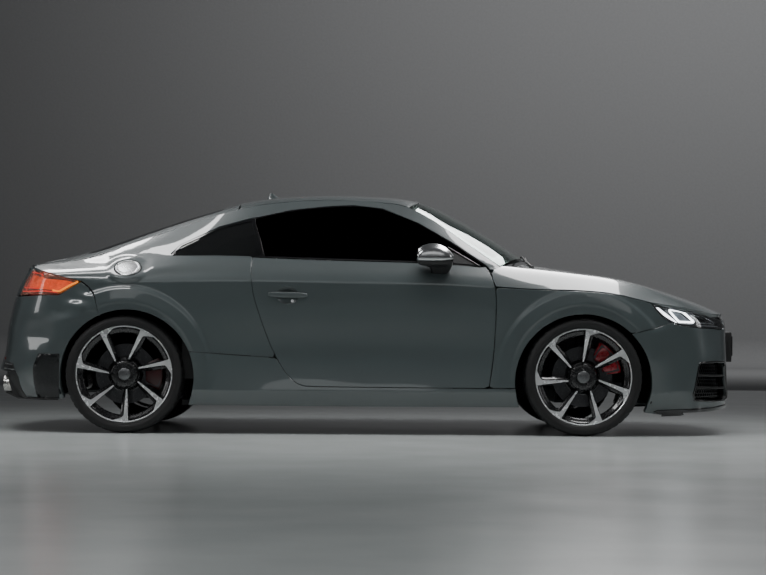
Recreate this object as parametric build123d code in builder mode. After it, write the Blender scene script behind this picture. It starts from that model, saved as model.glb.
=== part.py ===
from build123d import *
import os
from math import cos, sin, radians, hypot

os.makedirs("parts", exist_ok=True)

# A two-door coupe car. +X forward, +Y to the car's left, +Z up, origin on the
# ground under the middle of the car. Millimetres.

# ---- driving dimensions ----------------------------------------------------
FRONT_END = 2095.5            # foremost point, the front plate
AXLE_F, AXLE_R = 1210.5, -1294.5
TRACK_F, TRACK_R = 783.0, 773.0   # wheel centre planes, from the middle
TYRE_R, TYRE_W = 322.5, 255.0
RIM_R = 264.0
KING_Y = 743.0                # steering axis, from the middle
ARCH_F = (1211.0, 290.0, 373.0)   # wheel opening: x, z, radius
ARCH_R = (-1281.0, 308.0, 366.0)
SILL_Z = 150.0
SKIN = 25.0                   # bonnet, wings, bumpers, tailgate
DOOR_T = 70.0                 # whole door
WALL_T = 45.0                 # quarter panel with its lining
PILLAR_T = 36.0
GLASS_T = 5.0
GAP = 8.0                     # round every moving panel
DOOR_HINGE = (703.0, 880.0)
BONNET_HINGE = (716.0, 926.0)
GATE_HINGE = (-694.0, 1297.0)
CAP_AT = (-1284.0, 836.0, 903.0)  # fuel flap, right side
CAP_R, CAP_T, CAP_TILT = 72.0, 12.0, 37.0
HANDLE_AT = (-413.0, 762.0)   # x, z of the door handle
HANDLE_FLOOR = 866.0          # floor of its recess, from the middle

# ---- sections of the left half ---------------------------------------------
# lower side: x, then (y, z) at bottom, sill, mid, waist, shoulder, belt
LOWER = [
    (-1830, (700, 190), (742, 250), (762, 450), (752, 806), (716, 880), (626, 917)),
    (-1656, (800, 170), (852, 245), (866, 470), (846, 816), (788, 886), (650, 930)),
    (-1446, (835, 150), (884, 240), (900, 560), (886, 822), (822, 894), (690, 945)),
    (-1294, (835, 150), (893, 238), (914, 640), (906, 823), (838, 900), (720, 962)),
    (-1052, (835, 150), (893, 236), (893, 520), (897, 826), (848, 904), (757, 975)),
    (-600, (835, 150), (893, 236), (869, 450), (888, 828), (850, 905), (790, 967)),
    (0, (835, 150), (893, 236), (868, 450), (889, 827), (851, 900), (801, 950)),
    (600, (835, 150), (893, 236), (871, 450), (890, 815), (852, 885), (808, 928)),
    (760, (835, 150), (893, 236), (875, 450), (892, 808), (850, 875), (812, 905)),
    (935, (838, 145), (893, 236), (890, 500), (899, 796), (850, 850), (812, 880)),
    (1210, (840, 140), (900, 236), (914, 620), (906, 790), (850, 840), (812, 860)),
    (1400, (840, 135), (896, 236), (906, 560), (897, 770), (850, 800), (812, 820)),
    (1580, (830, 130), (878, 236), (885, 450), (872, 728), (840, 760), (800, 780)),
    (1700, (800, 130), (840, 236), (850, 450), (832, 708), (800, 730), (760, 750)),
]
# greenhouse side: x, then (y, z) at belt, mid, rail
UPPER = [
    (756, (812, 905), (806, 914), (800, 922)),
    (534, (807, 932), (768, 1008), (716, 1082)),
    (381, (804, 938), (744, 1072), (668, 1190)),
    (258, (803, 942), (735, 1104), (632, 1255)),
    (100, (802, 947), (729, 1124), (606, 1284)),
    (-199, (800, 956), (722, 1130), (590, 1296)),
    (-394, (796, 961), (717, 1121), (580, 1287)),
    (-600, (790, 967), (706, 1106), (566, 1263)),
    (-797, (778, 971), (692, 1081), (556, 1216)),
    (-1052, (757, 975), (680, 1040), (566, 1130)),
    (-1300, (719, 961), (660, 1000), (588, 1042)),
    (-1446, (690, 945), (652, 966), (606, 988)),
    (-1600, (660, 934), (646, 941), (632, 947)),
    (-1830, (626, 917), (620, 919), (614, 921)),
]
# roof: x, (y, z) at rail, haunch, crown height
ROOF = [
    (345, (656, 1208), (400, 1280), 1311),
    (258, (632, 1256), (400, 1303), 1324),
    (100, (606, 1285), (400, 1322), 1338),
    (-199, (590, 1297), (390, 1330), 1343),
    (-394, (580, 1288), (380, 1322), 1336),
    (-600, (566, 1264), (370, 1302), 1317),
    (-690, (561, 1244), (365, 1284), 1300),
]
# windscreen: x, (y, z) at edge, haunch, crown height
SCREEN = [
    (245, (626, 1262), (400, 1312), 1345),
    (381, (668, 1190), (400, 1264), 1299),
    (534, (716, 1083), (400, 1184), 1225),
    (756, (800, 923), (400, 1056), 1100),
    (960, (870, 775), (400, 918), 970),
]
# tailgate top: x, (y, z) at edge, haunch, crown height
GATE = [
    (-700, (554, 1242), (362, 1282), 1298),
    (-900, (549, 1180), (352, 1226), 1244),
    (-1150, (564, 1098), (360, 1142), 1163),
    (-1446, (598, 990), (380, 1036), 1058),
    (-1600, (624, 949), (400, 986), 1003),
    (-1750, (612, 929), (400, 950), 960),
    (-1925, (598, 908), (400, 916), 918),
]
# bonnet: x, (y, z) at side edge, brow, crease, crown height
BONNET = [
    (724, (890, 815), (846, 885), (742, 936), 985),
    (935, (899, 801), (842, 880), (640, 934), 952),
    (1210, (906, 796), (838, 868), (600, 902), 912),
    (1400, (897, 776), (820, 843), (560, 876), 884),
    (1580, (872, 736), (790, 798), (530, 838), 848),
    (1795, (800, 706), (702, 750), (480, 774), 781),
    (1950, (690, 674), (590, 702), (400, 716), 722),
    (2070, (610, 650), (500, 655), (300, 660), 664),
]
# nose in plan: z, x at y = 0, 300, 450, 600, 700, 800, then the side end (x, y)
NOSE = [
    (150, 2050, 2044, 2026, 1976, 1916, 1800, (1450, 872)),
    (200, 2076, 2072, 2060, 2018, 1960, 1850, (1450, 892)),
    (420, 2074, 2070, 2058, 2016, 1960, 1858, (1450, 906)),
    (560, 2072, 2066, 2052, 2010, 1950, 1846, (1450, 908)),
    (650, 2060, 2054, 2040, 1996, 1936, 1826, (1450, 902)),
    (735, 1990, 1984, 1968, 1920, 1850, 1740, (1450, 884)),
]
# tail in plan, the same columns
TAIL = [
    (190, -2024, -2010, -1974, -1924, -1866, -1760, (-1400, 880)),
    (360, -2095, -2068, -2038, -1990, -1934, -1812, (-1400, 898)),
    (410, -2075, -2045, -2016, -1973, -1923, -1812, (-1400, 902)),
    (550, -2050, -2028, -2000, -1957, -1908, -1804, (-1400, 912)),
    (690, -2014, -1998, -1970, -1926, -1876, -1780, (-1400, 906)),
    (760, -1990, -1976, -1946, -1902, -1850, -1756, (-1400, 898)),
    (835, -1950, -1938, -1912, -1866, -1812, -1716, (-1400, 892)),
]
TAIL_LAMP = [
    (745, -1990, -1976, -1946, -1902, -1850, -1766, (-1500, 872)),
    (915, -1905, -1896, -1874, -1826, -1752, -1650, (-1480, 832)),
]
NOSE_Y = (0, 300, 450, 600, 700, 800)


def mix(a, b, t):
    if isinstance(a, tuple):
        return tuple(mix(p, q, t) for p, q in zip(a, b))
    return a + (b - a) * t


def row_at(table, key):
    """The table's row at any x (or z), straight between its neighbours."""
    rows = sorted(table, key=lambda r: r[0])
    key = max(rows[0][0], min(rows[-1][0], key))
    for low, high in zip(rows, rows[1:]):
        if key <= high[0]:
            return mix(low, high, (key - low[0]) / (high[0] - low[0]))
    return rows[-1]


def inset(points, t):
    """An open line moved to its left by t, corner by corner."""
    out = []
    for i, (a, b) in enumerate(points):
        normals = []
        for j in (i - 1, i):
            if 0 <= j < len(points) - 1:
                (p, q), (u, v) = points[j], points[j + 1]
                size = hypot(u - p, v - q)
                normals.append((-(v - q) / size, (u - p) / size))
        n = (sum(k[0] for k in normals), sum(k[1] for k in normals))
        dot = n[0] * normals[0][0] + n[1] * normals[0][1]
        out.append((a + n[0] * t / dot, b + n[1] * t / dot))
    return out


def band(points, t, depth=0.0):
    """Closed outline of a wall t thick, whose outside lies depth inside points."""
    outside = inset(points, depth) if depth else points
    return list(outside) + inset(points, depth + t)[::-1]


def upright(points, t, flat=False):
    """A wall t thick whose last edge stands upright (or whose first lies flat)."""
    inner = inset(points, t)
    if flat:
        inner[0] = (points[0][0] - t - 3, points[0][1])
        inner[-1] = (points[-1][0] + t + 3, points[-1][1])
    else:
        reach = hypot(points[0][0] - points[-1][0], points[0][1] - points[-1][1])
        inner[-1] = (points[-1][0] - 2, points[-1][1] - min(t, 0.9 * reach))
        if inner[1][0] < inner[-1][0] + 3:
            inner[1] = ((inner[0][0] + inner[-1][0]) / 2 + 2, (inner[0][1] + inner[-1][1]) / 2 + 4)
    return list(points) + inner[::-1]


def over(half):
    """A half line from the left edge to the crown, carried on to the right edge."""
    return half + [(-y, z) for y, z in half[::-1] if y > 0]


def crown(row):
    return [*row[1:-1], (0, row[-1])]


def plan(row, t, y_from=0.0, y_to=2000.0):
    """Closed plan outline of a bumper at one height, both sides."""
    half = [row[-1]] + [(x, y) for x, y in zip(row[1:-1], NOSE_Y)][::-1]
    line = half + [(x, -y) for x, y in half[::-1] if y > 0]
    turn = 1 if row[1] < 0 else -1
    return line + inset(line, t * turn)[::-1]


def plan_side(row, t, y_from):
    """The same, for the left side only, from the side end in to y_from."""
    half = [row[-1]] + [(x, y) for x, y in zip(row[1:-1], NOSE_Y) if y >= y_from][::-1]
    turn = 1 if row[1] < 0 else -1
    return half + inset(half, t * turn)[::-1]


# ---- side-view outlines (x, z) ---------------------------------------------
DOOR_REAR = [(-606, 868), (-604, 814), (-557, 641), (-476, 442), (-396, 312), (-322, 266)]
DOOR_FRONT = [(700, 264), (723, 464), (731, 700), (724, 806), (706, 872), (682, 912)]
DLO_TOP = [(-595, 1187), (-394, 1231), (-189, 1253), (-54, 1260), (106, 1242), (311, 1158), (530, 1029)]
SEAM_F = [(1578, 722), (1640, 652), (1690, 622), (1585, 587), (1475, 562)]
SEAM_R = [(-1552, 826), (-1462, 760), (-1428, 640)]
LAMP_F = [(1586, 716), (1794, 692), (2006, 642), (2024, 588), (1722, 612), (1648, 652)]
LAMP_R = [(-1826, 904), (-1560, 822), (-1660, 758), (-1870, 756), (-1990, 756), (-1930, 850)]

# ---- floor, firewall, boot floor -------------------------------------------
with BuildPart() as floor_pan:
    with BuildSketch(Plane.XZ):
        with BuildLine():
            Polyline((-1880, 370), (-1000, 370), (-1000, 150), (-960, 150), (-960, 180), (-975, 180),
                     (-975, 395), (-1855, 395), (-1855, 700), (-1880, 700), close=True)
        make_face()
    extrude(amount=590, both=True)
    with BuildSketch(Plane.XZ):
        with BuildLine():
            Polyline((780, 150), (860, 150), (900, 330), (840, 860), (815, 860), (850, 330), (835, 180),
                     (780, 180), close=True)
        make_face()
    extrude(amount=465, both=True)
    with BuildSketch(Plane.XY.offset(150)):
        with Locations((-90, 0)):
            Rectangle(1810, 1400)
    extrude(amount=30)
    with BuildSketch(Plane.XY.offset(150)):
        with Locations((190, 0)):
            Rectangle(1310, 220)
    extrude(amount=130)
    with BuildSketch(Plane.YZ.offset(880)):
        for s in (1, -1):
            with Locations((s * 400, 340)):
                Rectangle(70, 110)
    extrude(amount=1060)
    with BuildSketch(Plane.XZ):
        with Locations((1940, 370)):
            Rectangle(40, 240)
    extrude(amount=480, both=True)

# ---- sides: sill, quarter panel, screen pillar, roof rail --------------------
with BuildPart() as body_sides:
    for x in (-880, -600, 0, 600, 856):
        bottom, sill = row_at(LOWER, x)[1:3]
        with BuildSketch(Plane.YZ.offset(x)):
            with BuildLine():
                Polyline((705, SILL_Z), (bottom[0], SILL_Z), sill, (885, 256), (705, 256), close=True)
            make_face()
    loft(ruled=True)
    for x in (-1830, -1656, -1446, -1294, -1052, -600, -320):
        with BuildSketch(Plane.YZ.offset(x)):
            with BuildLine():
                Polyline(*band(list(row_at(LOWER, x)[1:]), WALL_T), close=True)
            make_face()
    quarter = loft(ruled=True)
    for x in (756, 534, 381, 258, 100, -199, -394, -600, -797, -1052, -1300, -1446, -1600, -1830):
        with BuildSketch(Plane.YZ.offset(x)):
            with BuildLine():
                Polyline(*upright(list(row_at(UPPER, x)[1:]), PILLAR_T), close=True)
            make_face()
    loft(ruled=True)
    with BuildSketch(Plane.YZ.offset(744)):
        with BuildLine():
            Polyline((705, 150), (832, 150), (832, 790), (705, 790), close=True)
        make_face()
    extrude(amount=62)
    with BuildSketch(Plane.YZ.offset(744)):
        with BuildLine():
            Polyline((740, 780), (806, 780), (803, 903), (776, 899), close=True)
        make_face()
    extrude(amount=20)
    # door opening with its glass
    with BuildSketch(Plane.XZ):
        with BuildLine():
            Polyline(*[(x - GAP, z - (4 if z < 300 else 0)) for x, z in DOOR_REAR[::-1]],
                     (-614, 977), (-534, 975), (-601, 1150),
                     *[(x, z + 7) for x, z in DLO_TOP], (700, 915), (741, 860), (741, 258), close=True)
        make_face()
    extrude(amount=-1200, mode=Mode.SUBTRACT)
    # quarter window
    with BuildSketch(Plane.XZ):
        with BuildLine():
            Polyline((-1046, 978), (-552, 972), (-618, 1180), (-797, 1134), (-1004, 1029), close=True)
        make_face()
    extrude(amount=-1200, mode=Mode.SUBTRACT)
    # rear wheel opening, bumper and lamp area
    with BuildSketch(Plane.XZ):
        with Locations(ARCH_R[:2]):
            Circle(ARCH_R[2])
        with BuildLine():
            Polyline((-1281, 308), SEAM_R[2], SEAM_R[1], SEAM_R[0], (-1832, 912), (-1900, 912),
                     (-1900, 100), (-1281, 100), close=True)
        make_face()
    extrude(amount=-1200, mode=Mode.SUBTRACT)
    mirror(about=Plane.XZ)
    # fuel filler recess, right side
    cap_plane = Plane(origin=(CAP_AT[0], -CAP_AT[1], CAP_AT[2]), x_dir=(1, 0, 0),
                      z_dir=(0, -sin(radians(CAP_TILT)), cos(radians(CAP_TILT))))
    with BuildSketch(cap_plane.offset(40)):
        Circle(CAP_R + 6)
    extrude(amount=-110, mode=Mode.SUBTRACT)

with BuildPart() as fuel_flap:
    with BuildSketch(cap_plane.offset(6 - CAP_T)):
        Circle(CAP_R)
    extrude(amount=CAP_T)

with BuildPart() as roof_panel:
    for x in (345, 258, 100, -199, -394, -600, -690):
        with BuildSketch(Plane.YZ.offset(x)):
            with BuildLine():
                Polyline(*band(over([(y - 7, z) for y, z in crown(row_at(ROOF, x))]), SKIN), close=True)
            make_face()
    loft(ruled=True)
    with BuildSketch(Plane.XY.offset(1100)):
        with BuildLine():
            Polyline((338, 0), (322, 300), (262, 590), (240, 700), (-688, 700), (-688, -700),
                     (240, -700), (262, -590), (322, -300), close=True)
        make_face()
    extrude(amount=400, mode=Mode.INTERSECT)

with BuildPart() as windscreen:
    for x in (245, 381, 534, 756, 960):
        with BuildSketch(Plane.YZ.offset(x)):
            with BuildLine():
                Polyline(*band(over([(y - 7, z) for y, z in crown(row_at(SCREEN, x))]), GLASS_T, 3), close=True)
            make_face()
    loft(ruled=True)
    with BuildSketch(Plane.XY.offset(800)):
        with BuildLine():
            Polyline((342, 0), (326, 300), (266, 592), (258, 640), (762, 790), (800, 690), (880, 450),
                     (925, 200), (936, 0), (925, -200), (880, -450), (800, -690), (762, -790),
                     (258, -640), (266, -592), (326, -300), close=True)
        make_face()
    extrude(amount=600, mode=Mode.INTERSECT)

with BuildPart() as cowl:
    with BuildSketch(Plane.XY.offset(862)):
        with BuildLine():
            Polyline((905, 0), (895, 200), (855, 440), (815, 560), (850, 600), (910, 450), (950, 200),
                     (960, 0), (950, -200), (910, -450), (850, -600), (815, -560), (855, -440),
                     (895, -200), close=True)
        make_face()
    extrude(amount=18)

with BuildPart() as wipers:
    for y in (120, -330):
        with BuildSketch(Plane.XY.offset(884)):
            with Locations((930, y)):
                Rectangle(22, 300)
        extrude(amount=12)

# ---- front wings -------------------------------------------------------------
with BuildPart() as front_wings:
    for x in (734, 935, 1210, 1400, 1580, 1690):
        with BuildSketch(Plane.YZ.offset(x)):
            with BuildLine():
                Polyline(*band(list(row_at(LOWER, x)[1:5]), SKIN), close=True)
            make_face()
    loft(ruled=True)
    with BuildSketch(Plane.XZ):
        with BuildLine():
            Polyline((733, 260), (734, 464), (742, 700), (736, 800), (736, 960), (1580, 960),
                     *SEAM_F, (1211, 290), (1211, 200), (860, 200), (860, 260), close=True)
        make_face()
    extrude(amount=-1200, mode=Mode.INTERSECT)
    with BuildSketch(Plane.XZ):
        with Locations(ARCH_F[:2]):
            Circle(ARCH_F[2])
    extrude(amount=-1200, mode=Mode.SUBTRACT)
    mirror(about=Plane.XZ)

# ---- bonnet ------------------------------------------------------------------
with BuildPart() as bonnet:
    for x in (724, 935, 1210, 1400, 1580, 1795, 1950, 2070):
        row = row_at(BONNET, x)
        with BuildSketch(Plane.YZ.offset(x)):
            with BuildLine():
                Polyline(*upright(over([(row[1][0], row[1][1] + 4), *crown(row)[1:]]), SKIN, flat=True), close=True)
            make_face()
    loft(ruled=True)
    with BuildSketch(Plane.XY.offset(500)):
        with BuildLine():
            Polyline((950, 0), (938, 200), (892, 450), (818, 690), (774, 800), (734, 850), (734, 950),
                     (1900, 950), (1960, 650), (2012, 500), (2042, 300), (2050, 0),
                     (2042, -300), (2012, -500), (1960, -650), (1900, -950), (734, -950), (734, -850),
                     (774, -800), (818, -690), (892, -450), (938, -200), close=True)
        make_face()
    extrude(amount=600, mode=Mode.INTERSECT)

# ---- front bumper, grille, lamps -----------------------------------------------
with BuildPart() as front_bumper:
    for z in (150, 200, 420, 560, 650, 735):
        with BuildSketch(Plane.XY.offset(z)):
            with BuildLine():
                Polyline(*plan(row_at(NOSE, z), SKIN), close=True)
            make_face()
    loft(ruled=True)
    with BuildSketch(Plane.XZ):
        with BuildLine():
            Polyline((1380, 530), (1476, 556), (1587, 580), (1700, 612), (1722, 604), (2030, 580), (2034, 630),
                     (2200, 630), (2200, 800), (1380, 800), close=True)
        make_face()
    extrude(amount=1200, both=True, mode=Mode.SUBTRACT)
    with BuildSketch(Plane.XZ):
        with Locations(ARCH_F[:2]):
            Circle(ARCH_F[2])
    extrude(amount=1200, both=True, mode=Mode.SUBTRACT)
    # centre grille and side intakes
    with BuildSketch(Plane.YZ.offset(1990)):
        with BuildLine():
            Polyline((-400, 560), (400, 560), (330, 240), (-330, 240), close=True)
        make_face()
    extrude(amount=200, mode=Mode.SUBTRACT)
    with BuildSketch(Plane.YZ.offset(1780)):
        for s in (1, -1):
            with BuildLine():
                Polyline((s * 520, 410), (s * 790, 395), (s * 760, 215), (s * 470, 215), close=True)
            make_face()
    extrude(amount=400, mode=Mode.SUBTRACT)

with BuildPart() as front_grille:
    with BuildSketch(Plane.YZ.offset(2030)):
        with BuildLine():
            Polyline((-396, 556), (396, 556), (326, 244), (-326, 244), close=True)
        make_face()
        for z in (275, 330, 385, 440, 495):
            for y in (-155, 155):
                with Locations((y, z + 10)):
                    Rectangle(290, 34, mode=Mode.SUBTRACT)
    extrude(amount=18)

with BuildPart() as side_intakes:
    for z in (220, 405):
        with BuildSketch(Plane.XY.offset(z)):
            with BuildLine():
                Polyline((1790, 640), (1940, 560), (1960, 590), (1890, 690), (1800, 745), (1770, 720), close=True)
            make_face()
    loft(ruled=True)
    mirror(about=Plane.XZ)

with BuildPart() as headlamps:
    for z in (580, 650, 735):
        with BuildSketch(Plane.XY.offset(z)):
            with BuildLine():
                Polyline(*plan_side(row_at(NOSE, z), 70, 450), close=True)
            make_face()
    loft(ruled=True)
    with BuildSketch(Plane.XZ):
        with BuildLine():
            Polyline(*LAMP_F, close=True)
        make_face()
    extrude(amount=-1200, mode=Mode.INTERSECT)
    with BuildSketch(Plane.XY.offset(500)):
        with Locations((1800, 750)):
            Rectangle(800, 420)
    extrude(amount=300, mode=Mode.INTERSECT)
    mirror(about=Plane.XZ)

with BuildPart() as number_plates:
    with BuildSketch(Plane.XY.offset(412)):
        with Locations((2086.5, 0)):
            Rectangle(18, 520)
    extrude(amount=150)
    with BuildSketch(Plane.XY.offset(427)):
        with Locations((-2033, 0)):
            Rectangle(9, 518)
    extrude(amount=118)

# ---- rear bumper, diffuser, lamps ----------------------------------------------
with BuildPart() as rear_bumper:
    for z in (190, 360, 410, 550, 690, 760, 835):
        with BuildSketch(Plane.XY.offset(z)):
            with BuildLine():
                Polyline(*plan(row_at(TAIL, z), SKIN), close=True)
            make_face()
    loft(ruled=True)
    with BuildSketch(Plane.XZ):
        with BuildLine():
            Polyline((-1434, 640), (-1469, 755), (-1555, 817), (-1660, 751), (-1880, 744), (-2120, 744),
                     (-2120, 150), (-1300, 150), close=True)
        make_face()
    extrude(amount=1200, both=True, mode=Mode.INTERSECT)
    with BuildSketch(Plane.XZ):
        with Locations(ARCH_R[:2]):
            Circle(ARCH_R[2])
    extrude(amount=1200, both=True, mode=Mode.SUBTRACT)
    with BuildSketch(Plane.YZ.offset(-2300)):
        with BuildLine():
            Polyline((-640, 330), (640, 330), (640, 100), (-640, 100), close=True)
        make_face()
    extrude(amount=700, mode=Mode.SUBTRACT)
    # opening that the rear plate sits in
    with BuildSketch(Plane.YZ.offset(-2120)):
        with Locations((0, 486)):
            Rectangle(524, 124)
    extrude(amount=140, mode=Mode.SUBTRACT)

with BuildPart() as rear_diffuser:
    with BuildSketch(Plane.XZ):
        with BuildLine():
            Polyline((-2060, 322), (-2040, 322), (-1960, 215), (-1800, 185), (-1800, 165), (-1980, 190), close=True)
        make_face()
    extrude(amount=632, both=True)
    with BuildSketch(Plane.YZ.offset(-2100)):
        for s in (1, -1):
            with Locations((s * 560, 262)):
                Ellipse(66, 52)
    extrude(amount=300, mode=Mode.SUBTRACT)

with BuildPart() as tail_lamps:
    for z in (745, 915):
        with BuildSketch(Plane.XY.offset(z)):
            with BuildLine():
                Polyline(*plan_side(row_at(TAIL_LAMP, z), 60, 450), close=True)
            make_face()
    loft(ruled=True)
    with BuildSketch(Plane.XZ):
        with BuildLine():
            Polyline(*LAMP_R, close=True)
        make_face()
    extrude(amount=-1200, mode=Mode.INTERSECT)
    with BuildSketch(Plane.XY.offset(700)):
        with Locations((-1700, 834)):
            Rectangle(800, 440)
    extrude(amount=300, mode=Mode.INTERSECT)
    mirror(about=Plane.XZ)


# ---- exhaust: silencer and two oval tips ---------------------------------------
with BuildPart() as exhaust_system:
    with BuildSketch(Plane.YZ.offset(-1800)):
        with Locations((0, 262)):
            RectangleRounded(700, 120, 40)
    extrude(amount=190)
    with BuildSketch(Plane.YZ.offset(-2010)):
        for s in (1, -1):
            with Locations((s * 560, 262)):
                Ellipse(58, 44)
                Ellipse(52, 38, mode=Mode.SUBTRACT)
    extrude(amount=80)
    with BuildSketch(Plane.YZ.offset(-1945)):
        for s in (1, -1):
            with Locations((s * 540, 262)):
                RectangleRounded(150, 88, 30)
    extrude(amount=75)
    with BuildSketch(Plane.YZ.offset(-1875)):
        for s in (1, -1):
            with Locations((s * 420, 262)):
                RectangleRounded(350, 60, 25)
    extrude(amount=90)

# ---- quarter windows and antenna ------------------------------------------------
with BuildPart() as quarter_windows:
    for x in (-500, -600, -797, -1052):
        with BuildSketch(Plane.YZ.offset(x)):
            with BuildLine():
                Polyline(*band(list(row_at(UPPER, x)[1:]), GLASS_T, 4), close=True)
            make_face()
    loft(ruled=True)
    with BuildSketch(Plane.XZ):
        with BuildLine():
            Polyline((-1038, 981), (-558, 975), (-621, 1174), (-797, 1130), (-1002, 1027), close=True)
        make_face()
    extrude(amount=-1200, mode=Mode.INTERSECT)
    mirror(about=Plane.XZ)

with BuildPart() as antenna:
    with BuildSketch(Plane.XY.offset(1316)):
        with Locations((-526, 0)):
            Rectangle(150, 44)
    with BuildSketch(Plane.XY.offset(1343)):
        with Locations((-545, 0)):
            Rectangle(70, 14)
    loft(ruled=True)

# ---- what sits inside -------------------------------------------------------------
with BuildPart() as engine_block:
    with BuildSketch(Plane.XY.offset(262)):
        with Locations((1240, 0)):
            Rectangle(480, 640)
    extrude(amount=520)

with BuildPart() as dashboard:
    with BuildSketch(Plane.XZ):
        with BuildLine():
            Polyline((590, 585), (560, 640), (545, 800), (600, 858), (720, 884), (790, 870), (735, 585), close=True)
        make_face()
    extrude(amount=688, both=True)

with BuildPart() as centre_console:
    with BuildSketch(Plane.XZ):
        with BuildLine():
            Polyline((-470, 284), (570, 284), (570, 575), (430, 560), (300, 480), (-200, 470), (-470, 440), close=True)
        make_face()
    extrude(amount=104, both=True)

with BuildPart() as front_seats:
    with BuildSketch(Plane.XZ):
        with BuildLine():
            Polyline((240, 183), (285, 400), (250, 440), (-70, 400), (-215, 960), (-270, 1075), (-335, 1085),
                     (-360, 1020), (-240, 440), (-200, 183), close=True)
        make_face()
    extrude(amount=-640)
    with BuildSketch(Plane.XY.offset(150)):
        Rectangle(1200, 250)
    extrude(amount=1000, mode=Mode.SUBTRACT)
    mirror(about=Plane.XZ)

with BuildPart() as rear_seats:
    with BuildSketch(Plane.XZ):
        with BuildLine():
            Polyline((-500, 183), (-480, 400), (-520, 425), (-790, 385), (-930, 820), (-965, 820), (-968, 183), close=True)
        make_face()
    extrude(amount=560, both=True)

# ---- front suspension -----------------------------------------------------------
with BuildPart() as front_suspension:
    with BuildSketch(Plane.XY.offset(168)):
        with Locations((1210, 0)):
            Rectangle(240, 760)
    extrude(amount=70)
    for s in (1, -1):
        with BuildSketch(Plane.XY.offset(184)):
            with BuildLine():
                Polyline((1100, s * 370), (1320, s * 370), (1245, s * 560), (1232, s * 676),
                         (1188, s * 676), (1178, s * 560), close=True)
            make_face()
        extrude(amount=34)
        with BuildSketch(Plane.XY.offset(200)):
            with Locations((AXLE_F, s * 585)):
                Circle(20)
        extrude(amount=476)

with BuildPart() as rear_suspension:
    with BuildSketch(Plane.XY.offset(180)):
        with Locations((-1294, 0)):
            Rectangle(200, 900)
    extrude(amount=80)
    for s in (1, -1):
        with BuildSketch(Plane.XY.offset(190)):
            with BuildLine():
                Polyline((-1194, s * 440), (-1394, s * 440), (-1330, s * 700), (-1259, s * 700), close=True)
            make_face()
        extrude(amount=36)
        with BuildSketch(Plane.XY.offset(215)):
            with Locations((AXLE_R, s * 570)):
                Circle(28)
        extrude(amount=150)
        with BuildSketch(Plane(origin=(AXLE_R, s * 690, TYRE_R), x_dir=(1, 0, 0), z_dir=(0, s, 0))):
            Circle(62)
            with Locations((0, s * 70)):
                Rectangle(70, 120)
            Circle(30.05, mode=Mode.SUBTRACT)
        extrude(amount=66)
        # caliper over the front edge of the disc
        with BuildSketch(Plane(origin=(AXLE_R, s * 728, TYRE_R), x_dir=(1, 0, 0), z_dir=(0, s, 0))):
            with BuildLine():
                Polyline(*[(r * cos(radians(a)), s * -r * sin(radians(a))) for r, a in
                           ((55, 8), (55, -8), (196, -22), (202, 0), (196, 22))], close=True)
            make_face()
        extrude(amount=28)
        with BuildSketch(Plane(origin=(AXLE_R, s * 756, TYRE_R), x_dir=(1, 0, 0), z_dir=(0, s, 0))):
            with BuildLine():
                Polyline(*[(r * cos(radians(a)), s * -r * sin(radians(a))) for r, a in
                           ((173, -24), (196, -22), (202, 0), (196, 22), (173, 24), (178, 0))], close=True)
            make_face()
        extrude(amount=44)
        with BuildSketch(Plane(origin=(AXLE_R, s * 800, TYRE_R), x_dir=(1, 0, 0), z_dir=(0, s, 0))):
            with BuildLine():
                Polyline(*[(r * cos(radians(a)), s * -r * sin(radians(a))) for r, a in
                           ((118, 26), (112, 0), (118, -26), (196, -22), (202, 0), (196, 22))], close=True)
            make_face()
        extrude(amount=20)

with BuildPart() as wheel_arch_liners:
    for x, z, r, y_in, y_out in ((1211, 300, 385, 480, 832), (-1288, 316, 352, 605, 815)):
        with BuildSketch(Plane(origin=(x, y_in, z), x_dir=(1, 0, 0), z_dir=(0, 1, 0))):
            Circle(r + 5)
            Circle(r, mode=Mode.SUBTRACT)
            with Locations((0, 400)):
                Rectangle(900, 800 + 0.0, mode=Mode.SUBTRACT)
        extrude(amount=y_out - y_in)
    mirror(about=Plane.XZ)

# ---- doors ------------------------------------------------------------------------
with BuildPart() as door_left:
    for x in (-620, -300, 0, 300, 600, 734):
        with BuildSketch(Plane.YZ.offset(x)):
            with BuildLine():
                Polyline(*band(list(row_at(LOWER, x)[2:]), DOOR_T), close=True)
            make_face()
    loft(ruled=True)
    with BuildSketch(Plane.XZ):
        with BuildLine():
            Polyline(*DOOR_FRONT, (682, 1000), (-606, 1000), *DOOR_REAR, close=True)
        make_face()
    extrude(amount=-1200, mode=Mode.INTERSECT)
    with BuildSketch(Plane.XZ.offset(-HANDLE_FLOOR)):
        with Locations((HANDLE_AT[0], HANDLE_AT[1])):
            Rectangle(214, 70)
    extrude(amount=-60, mode=Mode.SUBTRACT)

with BuildPart() as door_handle_left:
    with BuildSketch(Plane.XZ.offset(-HANDLE_FLOOR)):
        for dx in (-88, 88):
            with Locations((HANDLE_AT[0] + dx, HANDLE_AT[1])):
                Rectangle(24, 28)
    extrude(amount=-12)
    with BuildSketch(Plane.XZ.offset(-HANDLE_FLOOR - 12)):
        with Locations((HANDLE_AT[0], HANDLE_AT[1])):
            RectangleRounded(200, 30, 12)
    extrude(amount=-12)

with BuildPart() as door_handle_right:
    mirror(door_handle_left.part, about=Plane.XZ)

with BuildPart() as door_right:
    mirror(door_left.part, about=Plane.XZ)

with BuildPart() as door_glass_left:
    for x in (-620, -394, -199, 100, 258, 381, 534, 700):
        with BuildSketch(Plane.YZ.offset(x)):
            with BuildLine():
                Polyline(*band(list(row_at(UPPER, x)[1:]), GLASS_T, 4), close=True)
            make_face()
    loft(ruled=True)
    with BuildSketch(Plane.XZ):
        with BuildLine():
            Polyline((-532, 974), (-593, 1168), *DLO_TOP, (668, 925), (600, 934), (110, 955), close=True)
        make_face()
    extrude(amount=-1200, mode=Mode.INTERSECT)

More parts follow.
